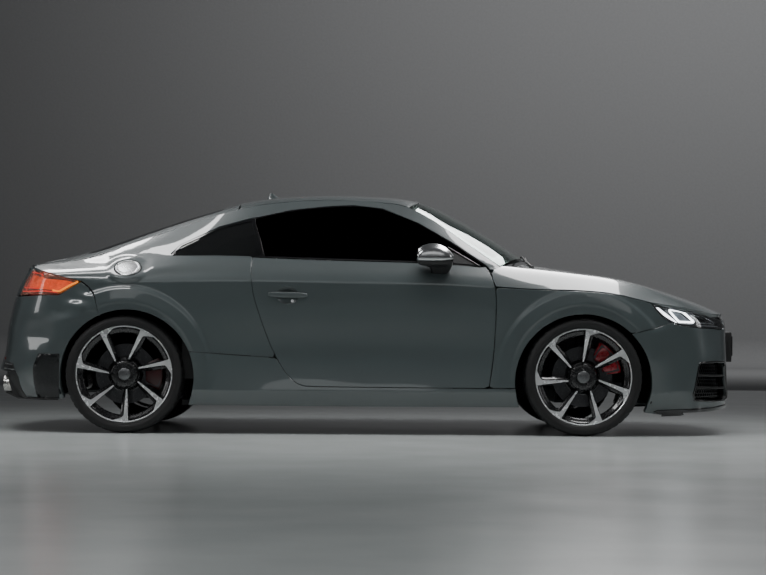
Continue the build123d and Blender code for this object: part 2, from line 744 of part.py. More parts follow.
with BuildPart() as door_glass_right:
    mirror(door_glass_left.part, about=Plane.XZ)

with BuildPart() as mirror_left:
    for x, y_in, y_out, z_low, z_high in ((300, 850, 962, 966, 1022), (325, 838, 976, 949, 1038), (385, 838, 976, 945, 1046),
                                          (440, 838, 976, 945, 1040), (495, 856, 950, 958, 1002)):
        with BuildSketch(Plane.YZ.offset(x)):
            with Locations(((y_in + y_out) / 2, (z_low + z_high) / 2)):
                RectangleRounded(y_out - y_in, z_high - z_low, 14)
    loft(ruled=True)
    for x in (388, 456):
        with BuildSketch(Plane.YZ.offset(x)):
            with BuildLine():
                Polyline((856, 897), (815, 940), (818, 955), (850, 966), (930, 966), (916, 940), (874, 912), close=True)
            make_face()
    loft(ruled=True)

with BuildPart() as mirror_right:
    mirror(mirror_left.part, about=Plane.XZ)

# ---- tailgate with its window and the spoiler it carries ----------------------------
with BuildPart() as tailgate:
    for x in (-700, -900, -1150, -1446, -1600, -1750, -1925):
        with BuildSketch(Plane.YZ.offset(x)):
            with BuildLine():
                Polyline(*band(over(crown(row_at(GATE, x))), SKIN), close=True)
            make_face()
    loft(ruled=True)
    with BuildSketch(Plane.XY.offset(700)):
        with BuildLine():
            Polyline((-700, 700), (-1700, 700), (-1826, 602), (-1872, 450), (-1892, 300), (-1902, 0),
                     (-1892, -300), (-1872, -450), (-1826, -602), (-1700, -700), (-700, -700), close=True)
        make_face()
    extrude(amount=700, mode=Mode.INTERSECT)
    # upright panel between the lamps
    for z, back in ((752, 88), (903, 4)):
        with BuildSketch(Plane.XY.offset(z)):
            with BuildLine():
                Polyline((-1822 - back, 600), (-1868 - back, 450), (-1888 - back, 300), (-1898 - back, 0),
                         (-1888 - back, -300), (-1868 - back, -450), (-1822 - back, -600), (-1797 - back, -600),
                         (-1843 - back, -450), (-1863 - back, -300), (-1873 - back, 0), (-1863 - back, 300),
                         (-1843 - back, 450), (-1797 - back, 600), close=True)
            make_face()
    loft(ruled=True)
    # rear window opening
    with BuildSketch(Plane.XY.offset(700)):
        with BuildLine():
            Polyline((-790, 452), (-1180, 478), (-1520, 520), (-1560, 470), (-1590, 0), (-1560, -470),
                     (-1520, -520), (-1180, -478), (-790, -452), (-776, 0), close=True)
        make_face()
    extrude(amount=700, mode=Mode.SUBTRACT)
    # pocket for the spoiler
    with BuildSketch(Plane(origin=(-1740, 0, 961), x_dir=(1, 0, 0), z_dir=(-0.27, 0, 1))):
        Rectangle(142, 912)
    extrude(amount=-14)
    with BuildSketch(Plane(origin=(-1740, 0, 947), x_dir=(1, 0, 0), z_dir=(-0.27, 0, 1))):
        Rectangle(134, 900)
    extrude(amount=100, mode=Mode.SUBTRACT)

with BuildPart() as rear_window:
    for x in (-776, -900, -1150, -1446, -1595):
        with BuildSketch(Plane.YZ.offset(x)):
            with BuildLine():
                Polyline(*band(over(crown(row_at(GATE, x))), GLASS_T, 4), close=True)
            make_face()
    loft(ruled=True)
    with BuildSketch(Plane.XY.offset(700)):
        with BuildLine():
            Polyline((-794, 448), (-1180, 474), (-1518, 515), (-1556, 466), (-1586, 0), (-1556, -466),
                     (-1518, -515), (-1180, -474), (-794, -448), (-780, 0), close=True)
        make_face()
    extrude(amount=700, mode=Mode.INTERSECT)

with BuildPart() as spoiler:
    with BuildSketch(Plane(origin=(-1740, 0, 953), x_dir=(1, 0, 0), z_dir=(-0.27, 0, 1))):
        RectangleRounded(122, 888, 12)
    extrude(amount=12)

# ---- steering wheel on its column ----------------------------------------------------
RIM_AT = (400, 385, 812)
wheel_plane = Plane(origin=RIM_AT, x_dir=(0, 1, 0), z_dir=(cos(radians(24)), 0, -sin(radians(24))))
with BuildPart() as steering_wheel:
    with BuildSketch(wheel_plane.offset(-12)):
        Circle(182)
        Circle(156, mode=Mode.SUBTRACT)
        Circle(52)
        for a in (0, 180, 270):
            with Locations(Location((0, 0), a)):
                with Locations((100, 0)):
                    Rectangle(124, 34)
    extrude(amount=24)
    with BuildSketch(wheel_plane.offset(10)):
        Circle(28)
    extrude(amount=118)

# ---- wheels, discs and the front knuckles --------------------------------------------
# name, axle x, wheel centre plane (signed y), first spoke angle
WHEELS = [
    ("front_left", AXLE_F, TRACK_F, 97.0),
    ("front_right", AXLE_F, -TRACK_F, 83.0),
    ("rear_left", AXLE_R, TRACK_R, 269.0),
    ("rear_right", AXLE_R, -TRACK_R, 271.0),
]
SPOKES = 7
for name, x, y, first in WHEELS:
    s = 1 if y > 0 else -1
    axis = Axis((x, 0, TYRE_R), (0, 1, 0))
    across = Plane(origin=(x, y, TYRE_R), x_dir=(0, s, 0), z_dir=(s, 0, 0))
    face = Plane(origin=(x, y, TYRE_R), x_dir=(1, 0, 0), z_dir=(0, s, 0))

    with BuildPart() as tyre:
        with BuildSketch(across):
            with BuildLine():
                Polyline((-104, 254.5), (-104, 266), (-121, 272), (-127.5, 292), (-122, 312), (-106, 322.5),
                         (106, 322.5), (122, 312), (127.5, 292), (121, 272), (104, 266), (104, 254.5), close=True)
            make_face()
        revolve(axis=axis)
    tyre.part.label = f"tyre_{name}"
    export_step(tyre.part, f"parts/tyre_{name}.step")

    with BuildPart() as rim:
        with BuildSketch(across):
            with BuildLine():
                Polyline((-113, RIM_R), (-105, RIM_R), (-105, 254), (105, 254), (105, RIM_R), (113, RIM_R),
                         (113, 250), (90, 240), (-96, 240), (-113, 248), close=True)
            make_face()
        revolve(axis=axis)
        with BuildSketch(face.offset(52)):
            Circle(76)
        extrude(amount=46)
        with BuildSketch(face.offset(72)):
            with PolarLocations(0, SPOKES, start_angle=-s * first):
                Polygon((60, -24), (150, -17), (205, -21), (244, -42), (244, 42), (205, 21), (150, 17),
                        (60, 24), align=None)
        extrude(amount=32)
    rim.part.label = f"rim_{name}"
    export_step(rim.part, f"parts/rim_{name}.step")

    with BuildPart() as disc:
        with BuildSketch(across):
            with BuildLine():
                Polyline((-76, 0), (-76, 30), (14, 30), (14, 80), (-6, 96), (-6, 165), (18, 165), (18, 92),
                         (52, 80), (52, 0), close=True)
            make_face()
        revolve(axis=axis)
    disc.part.label = f"brake_disc_{name}"
    export_step(disc.part, f"parts/brake_disc_{name}.step")

    if x == AXLE_F:
        with BuildPart() as knuckle:
            with BuildSketch(face.offset(-84)):
                Circle(60)
                with Locations((0, s * 62)):
                    Rectangle(64, 110)
                Circle(30.05, mode=Mode.SUBTRACT)
            extrude(amount=66)
            # caliper over the disc, ahead of and above the axle; r, angle
            for depth, thick, outline in (
                (-44, 26, ((50, 60), (50, 10), (204, 10), (212, 35), (204, 60))),
                (-18, 48, ((180, 8), (204, 10), (212, 35), (204, 60), (180, 62), (186, 35))),
                (28, 22, ((124, 8), (204, 10), (212, 35), (204, 60), (124, 62), (116, 35))),
            ):
                with BuildSketch(face.offset(depth)):
                    with BuildLine():
                        Polyline(*[(r * cos(radians(a)), -s * r * sin(radians(a))) for r, a in outline], close=True)
                    make_face()
                extrude(amount=thick)
        knuckle.part.label = f"knuckle_{name}"
        export_step(knuckle.part, f"parts/knuckle_{name}.step")

# ---- write the pieces ------------------------------------------------------------------
for name, piece in (
    ("floor_pan", floor_pan), ("body_sides", body_sides), ("fuel_flap", fuel_flap),
    ("roof_panel", roof_panel), ("windscreen", windscreen), ("cowl", cowl), ("wipers", wipers),
    ("front_wings", front_wings), ("bonnet", bonnet), ("front_bumper", front_bumper),
    ("front_grille", front_grille), ("side_intakes", side_intakes), ("headlamps", headlamps),
    ("number_plates", number_plates), ("rear_bumper", rear_bumper), ("rear_diffuser", rear_diffuser),
    ("tail_lamps", tail_lamps), ("exhaust_system", exhaust_system), ("quarter_windows", quarter_windows),
    ("antenna", antenna), ("engine_block", engine_block), ("dashboard", dashboard),
    ("centre_console", centre_console), ("front_seats", front_seats), ("rear_seats", rear_seats),
    ("front_suspension", front_suspension), ("rear_suspension", rear_suspension),
    ("wheel_arch_liners", wheel_arch_liners), ("door_left", door_left), ("door_right", door_right),
    ("door_handle_left", door_handle_left), ("door_handle_right", door_handle_right),
    ("door_glass_left", door_glass_left), ("door_glass_right", door_glass_right),
    ("mirror_left", mirror_left), ("mirror_right", mirror_right), ("tailgate", tailgate),
    ("rear_window", rear_window), ("spoiler", spoiler), ("steering_wheel", steering_wheel),
):
    piece.part.label = name
    export_step(piece.part, f"parts/{name}.step")
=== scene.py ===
import bpy
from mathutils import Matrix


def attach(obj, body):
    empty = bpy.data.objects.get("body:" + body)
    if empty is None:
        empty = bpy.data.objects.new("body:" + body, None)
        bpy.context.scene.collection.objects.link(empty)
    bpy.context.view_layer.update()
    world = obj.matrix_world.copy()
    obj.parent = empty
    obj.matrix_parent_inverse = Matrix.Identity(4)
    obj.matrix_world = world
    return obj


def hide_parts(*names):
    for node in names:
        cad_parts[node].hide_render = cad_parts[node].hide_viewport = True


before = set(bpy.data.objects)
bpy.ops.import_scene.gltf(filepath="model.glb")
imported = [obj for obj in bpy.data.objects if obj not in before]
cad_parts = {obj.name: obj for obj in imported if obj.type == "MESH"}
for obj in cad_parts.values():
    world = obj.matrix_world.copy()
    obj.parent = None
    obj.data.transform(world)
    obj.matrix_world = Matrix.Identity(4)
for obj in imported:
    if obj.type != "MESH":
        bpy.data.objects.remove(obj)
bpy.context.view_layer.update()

import bpy, bmesh, math
import numpy as np
from mathutils import Vector, Matrix
from mathutils.geometry import delaunay_2d_cdt

V = np.array
AXLE_F, AXLE_R, WHEEL_Z = 1210.5, -1294.5, 322.5


# =====================================================================
# Materials
# =====================================================================
def new_mat(name):
    m = bpy.data.materials.new(name)
    m.use_nodes = True
    nt = m.node_tree
    b = nt.nodes["Principled BSDF"]
    return m, nt, b


def noise(nt, scale, detail=3.0, rough=0.5, coord="Object"):
    tc = nt.nodes.new("ShaderNodeTexCoord")
    n = nt.nodes.new("ShaderNodeTexNoise")
    n.inputs["Scale"].default_value = scale
    n.inputs["Detail"].default_value = detail
    n.inputs["Roughness"].default_value = rough
    nt.links.new(tc.outputs[coord], n.inputs["Vector"])
    return n


def ramp(nt, src, stops):
    r = nt.nodes.new("ShaderNodeValToRGB")
    els = r.color_ramp.elements
    while len(els) > 1:
        els.remove(els[-1])
    for i, (p, c) in enumerate(stops):
        e = els[0] if i == 0 else els.new(p)
        e.position = p
        e.color = c if len(c) == 4 else (*c, 1)
    nt.links.new(src, r.inputs["Fac"])
    return r


def bump(nt, b, src, strength, dist=0.001, normal="Normal"):
    n = nt.nodes.new("ShaderNodeBump")
    n.inputs["Strength"].default_value = strength
    n.inputs["Distance"].default_value = dist
    nt.links.new(src, n.inputs["Height"])
    nt.links.new(n.outputs["Normal"], b.inputs[normal])
    return n


def simple(name, color, rough, metal=0.0, coat=0.0, scale=300.0, vary=0.12, bumps=0.15, dist=0.0004, spec=0.5, rvary=0.08):
    m, nt, b = new_mat(name)
    b.inputs["Metallic"].default_value = metal
    b.inputs["Coat Weight"].default_value = coat
    b.inputs["Specular IOR Level"].default_value = spec
    n = noise(nt, scale, 4)
    lo = [max(0, c * (1 - vary)) for c in color]
    hi = [min(1, c * (1 + vary)) for c in color]
    r = ramp(nt, n.outputs["Fac"], [(0.3, lo), (0.7, hi)])
    nt.links.new(r.outputs["Color"], b.inputs["Base Color"])
    rr = ramp(nt, n.outputs["Fac"], [(0.3, [max(0.02, rough - rvary)] * 3), (0.7, [min(1, rough + rvary)] * 3)])
    nt.links.new(rr.outputs["Color"], b.inputs["Roughness"])
    if bumps:
        bump(nt, b, n.outputs["Fac"], bumps, dist)
    return m


MAT = {}


def make_materials():
    # solid grey gloss paint: fine orange peel under a clear coat, faint dust
    m, nt, b = new_mat("grey_paint")
    b.inputs["Roughness"].default_value = 0.34
    b.inputs["Coat Weight"].default_value = 1.0
    b.inputs["Coat Roughness"].default_value = 0.03
    b.inputs["Coat IOR"].default_value = 1.6
    big = noise(nt, 1.7, 2)
    r = ramp(nt, big.outputs["Fac"], [(0.3, (0.062, 0.080, 0.083)), (0.7, (0.068, 0.087, 0.090))])
    nt.links.new(r.outputs["Color"], b.inputs["Base Color"])
    peel = noise(nt, 420, 1.5)
    bump(nt, b, peel.outputs["Fac"], 0.05, 0.0002)
    flow = noise(nt, 14, 1.0)
    bump(nt, b, flow.outputs["Fac"], 0.012, 0.002, "Coat Normal")
    MAT["paint"] = m
    MAT["black_trim"] = simple("black_trim", (0.012, 0.012, 0.0125), 0.46, scale=900, bumps=0.35, dist=0.0003)
    MAT["liner"] = simple("arch_liner_felt", (0.012, 0.012, 0.013), 0.85, scale=700, bumps=0.6, dist=0.0008, spec=0.2)
    MAT["gloss_black"] = simple("gloss_black", (0.006, 0.006, 0.007), 0.08, coat=0.8, scale=60, bumps=0.02, rvary=0.03)
    MAT["underbody"] = simple("underbody_coating", (0.02, 0.02, 0.021), 0.75, scale=160, bumps=0.5, dist=0.001)
    MAT["rubber_seal"] = simple("rubber_seal", (0.006, 0.006, 0.006), 0.5, scale=500, bumps=0.2)
    MAT["satin_metal"] = simple("satin_aluminium", (0.62, 0.63, 0.64), 0.28, metal=1.0, scale=900, vary=0.06, bumps=0.08, dist=0.0002)
    # near-black glossy colour for the rear bumper's side behind the wheel: a painted dark reflection of a dark object,
    # not a separate part
    MAT["corner_painted_dark_reflection"] = simple("corner_painted_dark_reflection", (0.010, 0.011, 0.012), 0.22, scale=400, vary=0.12)
    MAT["steel"] = simple("exhaust_steel", (0.5, 0.49, 0.47), 0.26, metal=1.0, scale=200, vary=0.15)
    MAT["steel_dark"] = simple("suspension_steel", (0.06, 0.06, 0.065), 0.55, metal=0.6, scale=140, vary=0.3, bumps=0.3)
    MAT["cast"] = simple("cast_metal", (0.22, 0.22, 0.23), 0.6, metal=0.9, scale=220, vary=0.25, bumps=0.5, dist=0.0008)
    MAT["plate"] = simple("plate_black", (0.012, 0.012, 0.013), 0.35, coat=0.3, scale=200)
    MAT["dark_plastic"] = simple("dash_soft_grain", (0.02, 0.02, 0.021), 0.62, scale=1100, bumps=0.5, dist=0.0004)
    MAT["carpet"] = simple("cabin_carpet", (0.016, 0.016, 0.017), 0.95, scale=1500, bumps=0.9, dist=0.001, spec=0.1)
    MAT["headliner"] = simple("headliner_cloth", (0.05, 0.05, 0.052), 0.9, scale=1800, bumps=0.4, spec=0.15)
    # perforated black leather
    m, nt, b = new_mat("seat_leather")
    b.inputs["Specular IOR Level"].default_value = 0.4
    vor = nt.nodes.new("ShaderNodeTexVoronoi"); vor.inputs["Scale"].default_value = 260
    tc = nt.nodes.new("ShaderNodeTexCoord"); nt.links.new(tc.outputs["Object"], vor.inputs["Vector"])
    n = noise(nt, 60, 4)
    r = ramp(nt, n.outputs["Fac"], [(0.3, (0.012, 0.012, 0.013)), (0.7, (0.024, 0.024, 0.026))])
    nt.links.new(r.outputs["Color"], b.inputs["Base Color"])
    rr = ramp(nt, n.outputs["Fac"], [(0.3, (0.38,) * 3), (0.7, (0.5,) * 3)])
    nt.links.new(rr.outputs["Color"], b.inputs["Roughness"])
    bump(nt, b, vor.outputs["Distance"], 0.3, 0.0006)
    MAT["leather"] = m
    MAT["stitch"] = simple("stitch_thread", (0.16, 0.16, 0.17), 0.7, scale=2500, bumps=0.5)
    # tyre rubber with fine moulded grain
    m, nt, b = new_mat("tyre_rubber")
    n = noise(nt, 90, 5)
    r = ramp(nt, n.outputs["Fac"], [(0.3, (0.0055, 0.0055, 0.006)), (0.72, (0.011, 0.011, 0.0115))])
    nt.links.new(r.outputs["Color"], b.inputs["Base Color"])
    rr = ramp(nt, n.outputs["Fac"], [(0.3, (0.52,) * 3), (0.7, (0.68,) * 3)])
    nt.links.new(rr.outputs["Color"], b.inputs["Roughness"])
    fine = noise(nt, 900, 2)
    bump(nt, b, fine.outputs["Fac"], 0.25, 0.0004)
    MAT["tyre"] = m
    # diamond-cut alloy: noise-varied tone and roughness with a fine bump
    m, nt, b = new_mat("cut_alloy_face")
    b.inputs["Metallic"].default_value = 0.55
    b.inputs["Coat Weight"].default_value = 0.6
    b.inputs["Coat Roughness"].default_value = 0.05
    n = noise(nt, 35, 3)
    r = ramp(nt, n.outputs["Fac"], [(0.3, (0.80, 0.81, 0.82)), (0.7, (0.88, 0.89, 0.90))])
    nt.links.new(r.outputs["Color"], b.inputs["Base Color"])
    rr = ramp(nt, n.outputs["Fac"], [(0.3, (0.20,) * 3), (0.7, (0.30,) * 3)])
    nt.links.new(rr.outputs["Color"], b.inputs["Roughness"])
    fine = noise(nt, 1500, 1)
    bump(nt, b, fine.outputs["Fac"], 0.06, 0.0002)
    MAT["cut_alloy"] = m
    MAT["dark_alloy"] = simple("dark_painted_alloy", (0.011, 0.011, 0.012), 0.26, metal=0.2, coat=0.6, scale=90, bumps=0.05)
    MAT["hub_cap"] = simple("centre_cap_satin", (0.16, 0.165, 0.17), 0.32, metal=0.8, coat=0.3, scale=300, bumps=0.06)
    MAT["bolt"] = simple("bolt_dark_zinc", (0.07, 0.07, 0.075), 0.38, metal=0.9, scale=400, bumps=0.2)
    # ventilated disc: ground swept face
    m, nt, b = new_mat("disc_ground_face")
    b.inputs["Metallic"].default_value = 1.0
    n = noise(nt, 220, 3)
    r = ramp(nt, n.outputs["Fac"], [(0.3, (0.055, 0.055, 0.058)), (0.7, (0.095, 0.095, 0.10))])
    nt.links.new(r.outputs["Color"], b.inputs["Base Color"])
    rr = ramp(nt, n.outputs["Fac"], [(0.3, (0.30,) * 3), (0.7, (0.42,) * 3)])
    nt.links.new(rr.outputs["Color"], b.inputs["Roughness"])
    bump(nt, b, n.outputs["Fac"], 0.15, 0.0003)
    MAT["disc"] = m
    MAT["caliper_red"] = simple("caliper_red", (0.34, 0.002, 0.012), 0.28, coat=0.6, scale=80, vary=0.1, bumps=0.12, dist=0.0005)
    MAT["caliper_dark_red"] = simple("caliper_dark_red", (0.05, 0.002, 0.003), 0.42, coat=0.3, scale=80, bumps=0.15)
    # glass
    def glass(name, color, alpha_like, rough=0.0):
        m, nt, b = new_mat(name)
        b.inputs["Base Color"].default_value = (*color, 1)
        b.inputs["Transmission Weight"].default_value = alpha_like
        b.inputs["IOR"].default_value = 1.45
        n = noise(nt, 3.0, 2)
        rr = ramp(nt, n.outputs["Fac"], [(0.3, (rough,) * 3), (0.7, (rough + 0.015,) * 3)])
        nt.links.new(rr.outputs["Color"], b.inputs["Roughness"])
        return m
    MAT["glass_dark"] = glass("privacy_glass", (0.028, 0.030, 0.031), 0.85)
    MAT["glass_screen"] = glass("screen_glass_green", (0.60, 0.70, 0.665), 1.0)
    sb = MAT["glass_screen"].node_tree.nodes["Principled BSDF"]
    sb.inputs["IOR"].default_value = 1.16
    MAT["glass_lens"] = glass("clear_lens", (0.97, 0.98, 0.99), 1.0)
    MAT["frit"] = simple("black_ceramic_border", (0.006, 0.006, 0.006), 0.12, scale=500, bumps=0.02)

    def glow(name, color, power, base=None, vary=0.25, scale=90.0):
        m, nt, b = new_mat(name)
        b.inputs["Base Color"].default_value = (*(base or color), 1)
        b.inputs["Roughness"].default_value = 0.3
        n = noise(nt, scale, 2)
        r = ramp(nt, n.outputs["Fac"], [(0.3, [c * (1 - vary) for c in color]), (0.7, color)])
        nt.links.new(r.outputs["Color"], b.inputs["Emission Color"])
        b.inputs["Emission Strength"].default_value = power
        return m
    MAT["light_white"] = glow("light_guide_white", (0.93, 0.97, 1.0), 5.0, vary=0.1)
    MAT["light_soft"] = glow("light_guide_soft", (0.80, 0.86, 0.92), 0.10, base=(0.09, 0.10, 0.11), vary=0.3)
    MAT["light_red"] = glow("light_guide_red", (1.0, 0.006, 0.003), 0.75, base=(0.5, 0.0, 0.0))
    MAT["light_red_dim"] = glow("lamp_red_field", (0.75, 0.003, 0.003), 0.32, base=(0.3, 0.0, 0.0), vary=0.5, scale=60)
    MAT["reflector_red"] = simple("reflector_red", (0.16, 0.004, 0.005), 0.15, coat=1.0, scale=260, vary=0.3, bumps=0.3)
    MAT["light_amber"] = glow("light_guide_amber", (1.0, 0.13, 0.0), 0.8, base=(0.5, 0.05, 0.0), vary=0.5, scale=55)
    MAT["light_yellow"] = glow("light_guide_yellow", (1.0, 0.44, 0.01), 1.5, base=(0.9, 0.5, 0.0), vary=0.2, scale=90)
    m, nt, b = new_mat("red_lens")
    b.inputs["Base Color"].default_value = (1.0, 0.62, 0.50, 1)
    b.inputs["Transmission Weight"].default_value = 0.9
    b.inputs["IOR"].default_value = 1.45
    n = noise(nt, 30, 2)
    rr = ramp(nt, n.outputs["Fac"], [(0.3, (0.0,) * 3), (0.7, (0.03,) * 3)])
    nt.links.new(rr.outputs["Color"], b.inputs["Roughness"])
    MAT["red_lens"] = m
    MAT["lamp_red_dark"] = simple("lamp_red_housing", (0.06, 0.0015, 0.0015), 0.25, scale=240, coat=0.5, bumps=0.3)
    MAT["lamp_dark"] = simple("lamp_housing_dark", (0.02, 0.021, 0.023), 0.3, scale=200, coat=0.3)
    MAT["mirror_cap"] = simple("mirror_cap_brushed", (0.62, 0.63, 0.64), 0.22, metal=1.0, coat=0.3, scale=700, vary=0.05, bumps=0.06, rvary=0.05)
    MAT["chrome"] = simple("bright_reflector", (0.75, 0.76, 0.78), 0.12, metal=1.0, scale=300, vary=0.05, bumps=0.03)
    # pale studio floor, lightly polished
    m, nt, b = new_mat("studio_floor")
    n = noise(nt, 2.2, 3)
    r = ramp(nt, n.outputs["Fac"], [(0.3, (0.485, 0.515, 0.51)), (0.7, (0.50, 0.53, 0.525))])
    nt.links.new(r.outputs["Color"], b.inputs["Base Color"])
    rr = ramp(nt, n.outputs["Fac"], [(0.3, (0.19,) * 3), (0.7, (0.22,) * 3)])
    nt.links.new(rr.outputs["Color"], b.inputs["Roughness"])
    MAT["floor"] = m
    # rendered wall behind, fine plaster grain
    m, nt, b = new_mat("studio_wall")
    n = noise(nt, 26.0, 5)
    r = ramp(nt, n.outputs["Fac"], [(0.3, (0.195, 0.197, 0.200)), (0.7, (0.215, 0.217, 0.220))])
    nt.links.new(r.outputs["Color"], b.inputs["Base Color"])
    rr = ramp(nt, n.outputs["Fac"], [(0.3, (0.62,) * 3), (0.7, (0.78,) * 3)])
    nt.links.new(rr.outputs["Color"], b.inputs["Roughness"])
    bump(nt, b, n.outputs["Fac"], 0.35, 0.004)
    MAT["wall"] = m


make_materials()


# =====================================================================
# Splines and the body's surface (millimetres, left half, mirrored for the right)
# =====================================================================
class Spl:
    """Natural cubic spline through (x, y); y may have several columns. Straight beyond its ends."""

    def __init__(self, x, y):
        self.x = np.asarray(x, float)
        self.y = np.asarray(y, float)
        if self.y.ndim == 1:
            self.y = self.y[:, None]
            self.flat = True
        else:
            self.flat = False
        n = len(self.x)
        h = np.diff(self.x)
        A = np.zeros((n, n))
        R = np.zeros((n, self.y.shape[1]))
        A[0, 0] = A[-1, -1] = 1
        for i in range(1, n - 1):
            A[i, i - 1], A[i, i], A[i, i + 1] = h[i - 1], 2 * (h[i - 1] + h[i]), h[i]
            R[i] = 6 * ((self.y[i + 1] - self.y[i]) / h[i] - (self.y[i] - self.y[i - 1]) / h[i - 1])
        self.m = np.linalg.solve(A, R)
        self.h = h

    def __call__(self, q):
        q = np.asarray(q, float)
        shape = q.shape
        q = q.ravel()
        c = np.clip(q, self.x[0], self.x[-1])
        i = np.clip(np.searchsorted(self.x, c) - 1, 0, len(self.x) - 2)
        h = self.h[i][:, None]
        a = (self.x[i + 1] - c)[:, None] / h
        b = 1 - a
        y = a * self.y[i] + b * self.y[i + 1] + ((a ** 3 - a) * self.m[i] + (b ** 3 - b) * self.m[i + 1]) * h * h / 6
        s = (self.y[i + 1] - self.y[i]) / h - (3 * a * a - 1) / 6 * h * self.m[i] + (3 * b * b - 1) / 6 * h * self.m[i + 1]
        y = y + s * (q - c)[:, None]
        return y[:, 0].reshape(shape) if self.flat else y.reshape(*shape, -1)


def vspline(zk, yk, z):
    """Row by row: the natural cubic through knots zk, yk (N, K), at z (N). Straight beyond the ends."""
    N, K = zk.shape
    h = np.diff(zk, axis=1)
    h = np.where(np.abs(h) < 1e-3, 1e-3, h)
    m = np.zeros((N, K))
    if K > 2:
        lo, di, up = h[:, :-1].copy(), 2 * (h[:, :-1] + h[:, 1:]), h[:, 1:].copy()
        r = 6 * ((yk[:, 2:] - yk[:, 1:-1]) / h[:, 1:] - (yk[:, 1:-1] - yk[:, :-2]) / h[:, :-1])
        n = K - 2
        for i in range(1, n):
            w = lo[:, i] / di[:, i - 1]
            di[:, i] -= w * up[:, i - 1]
            r[:, i] -= w * r[:, i - 1]
        m[:, n] = r[:, n - 1] / di[:, n - 1]
        for i in range(n - 2, -1, -1):
            m[:, i + 1] = (r[:, i] - up[:, i] * m[:, i + 2]) / di[:, i]
    c = np.clip(z, zk[:, 0], zk[:, -1])
    i = np.clip((c[:, None] >= zk[:, 1:-1]).sum(1), 0, K - 2)
    k = np.arange(N)
    hh = h[k, i]
    a = (zk[k, i + 1] - c) / hh
    b = 1 - a
    y = a * yk[k, i] + b * yk[k, i + 1] + ((a ** 3 - a) * m[k, i] + (b ** 3 - b) * m[k, i + 1]) * hh * hh / 6
    s = (yk[k, i + 1] - yk[k, i]) / hh - (3 * a * a - 1) / 6 * hh * m[k, i] + (3 * b * b - 1) / 6 * hh * m[k, i + 1]
    return y + s * (z - c)


def smooth(t):
    t = np.clip(t, 0, 1)
    return t * t * t * (t * (6 * t - 15) + 10)


def rows(table):
    a = V([[v for item in r for v in (item if isinstance(item, tuple) else (item,))] for r in sorted(table)], float)
    return Spl(a[:, 0], a[:, 1:])


# lower side: x, then (y, z) at sill, mid, hip, waist, shoulder, belt
SIDE = rows([
    (-1900, (700, 250), (722, 450), (722, 640), (704, 800), (664, 872), (600, 905)),
    (-1830, (760, 248), (776, 450), (774, 640), (756, 806), (708, 880), (628, 914)),
    (-1656, (852, 245), (860, 450), (858, 640), (840, 816), (784, 889), (656, 931)),
    (-1446, (884, 240), (886, 450), (890, 640), (884, 822), (822, 896), (692, 946)),
    (-1294, (892, 238), (893, 450), (898, 640), (895, 825), (837, 902), (720, 961)),
    (-1052, (893, 236), (887, 450), (893, 640), (893, 830), (848, 909), (757, 974)),
    (-600, (893, 236), (870, 450), (882, 640), (888, 834), (851, 911), (790, 968)),
    (0, (893, 236), (868, 450), (880, 640), (889, 827), (852, 903), (801, 951)),
    (600, (893, 236), (872, 450), (884, 640), (891, 815), (852, 886), (808, 926)),
    (935, (893, 236), (884, 450), (892, 640), (895, 797), (848, 866), (812, 895)),
    (1210, (894, 236), (893, 450), (898, 640), (897, 790), (845, 856), (805, 882)),
    (1400, (890, 236), (892, 450), (894, 640), (890, 770), (832, 832), (790, 856)),
    (1580, (874, 236), (878, 450), (878, 640), (868, 729), (806, 792), (760, 816)),
    (1700, (846, 236), (852, 450), (850, 640), (836, 709), (770, 762), (720, 784)),
])
# greenhouse side: x, (y, z) at mid, rail
UPPER = rows([
    (-1900, (598, 906), (594, 907)),
    (-1830, (622, 916), (616, 918)),
    (-1600, (650, 941), (632, 947)),
    (-1446, (656, 967), (606, 988)),
    (-1300, (664, 1002), (588, 1042)),
    (-1052, (682, 1042), (566, 1130)),
    (-797, (694, 1083), (556, 1216)),
    (-600, (706, 1107), (566, 1263)),
    (-394, (717, 1122), (580, 1287)),
    (-199, (722, 1131), (590, 1296)),
    (100, (729, 1125), (606, 1284)),
    (258, (735, 1105), (632, 1255)),
    (381, (745, 1073), (668, 1190)),
    (534, (769, 1009), (716, 1082)),
    (756, (806, 915), (800, 924)),
])


def flare(x, z):
    out = 0
    for ax in (AXLE_F, AXLE_R):
        dx, dz = x - ax, z - WHEEL_Z
        r = np.hypot(dx, dz)
        up = smooth((dz + 170) / 330)
        shelf = 1 - smooth((r - 452) / 42)
        face = smooth((470 - r) / 90)
        lip = smooth((404 - r) / 26)
        out = out + up * (12.5 * shelf + 5.5 * face) - 3.5 * lip * up
    return out


def side_y(x, z):
    """Half width of the body's side at (x, z), from the sill to the roof rail."""
    shape = np.shape(x)
    x = np.ravel(np.asarray(x, float)); z = np.ravel(np.asarray(z, float))
    a = SIDE(x); u = UPPER(x)
    low = vspline(a[:, [1, 3, 5, 7]], a[:, [0, 2, 4, 6]], np.maximum(z, a[:, 1])) - 0.66 * np.maximum(0, a[:, 1] - z)
    mid = vspline(a[:, [7, 9, 11]], a[:, [6, 8, 10]], z)
    up = vspline(np.stack([a[:, 11], u[:, 1], u[:, 3]], 1), np.stack([a[:, 10], u[:, 0], u[:, 2]], 1), z)
    whole = vspline(np.stack([a[:, 7], a[:, 9], a[:, 11], u[:, 1], u[:, 3]], 1),
                    np.stack([a[:, 6], a[:, 8], a[:, 10], u[:, 0], u[:, 2]], 1), z)
    crease = np.where(z < a[:, 11], mid, up)
    w = smooth((-1000 - x) / 170)
    high = crease * (1 - w) + whole * w
    y = np.where(z < a[:, 7], low, high)
    y = y + flare(x, z)
    return y.reshape(shape)


def side(x, z):
    x = np.asarray(x, float); z = np.asarray(z, float)
    return np.stack([x, side_y(x, z), z], -1)


# top surfaces: x, (y, z) at edge, (y, z) between, crown z
def top_rows(table):
    return rows(table)


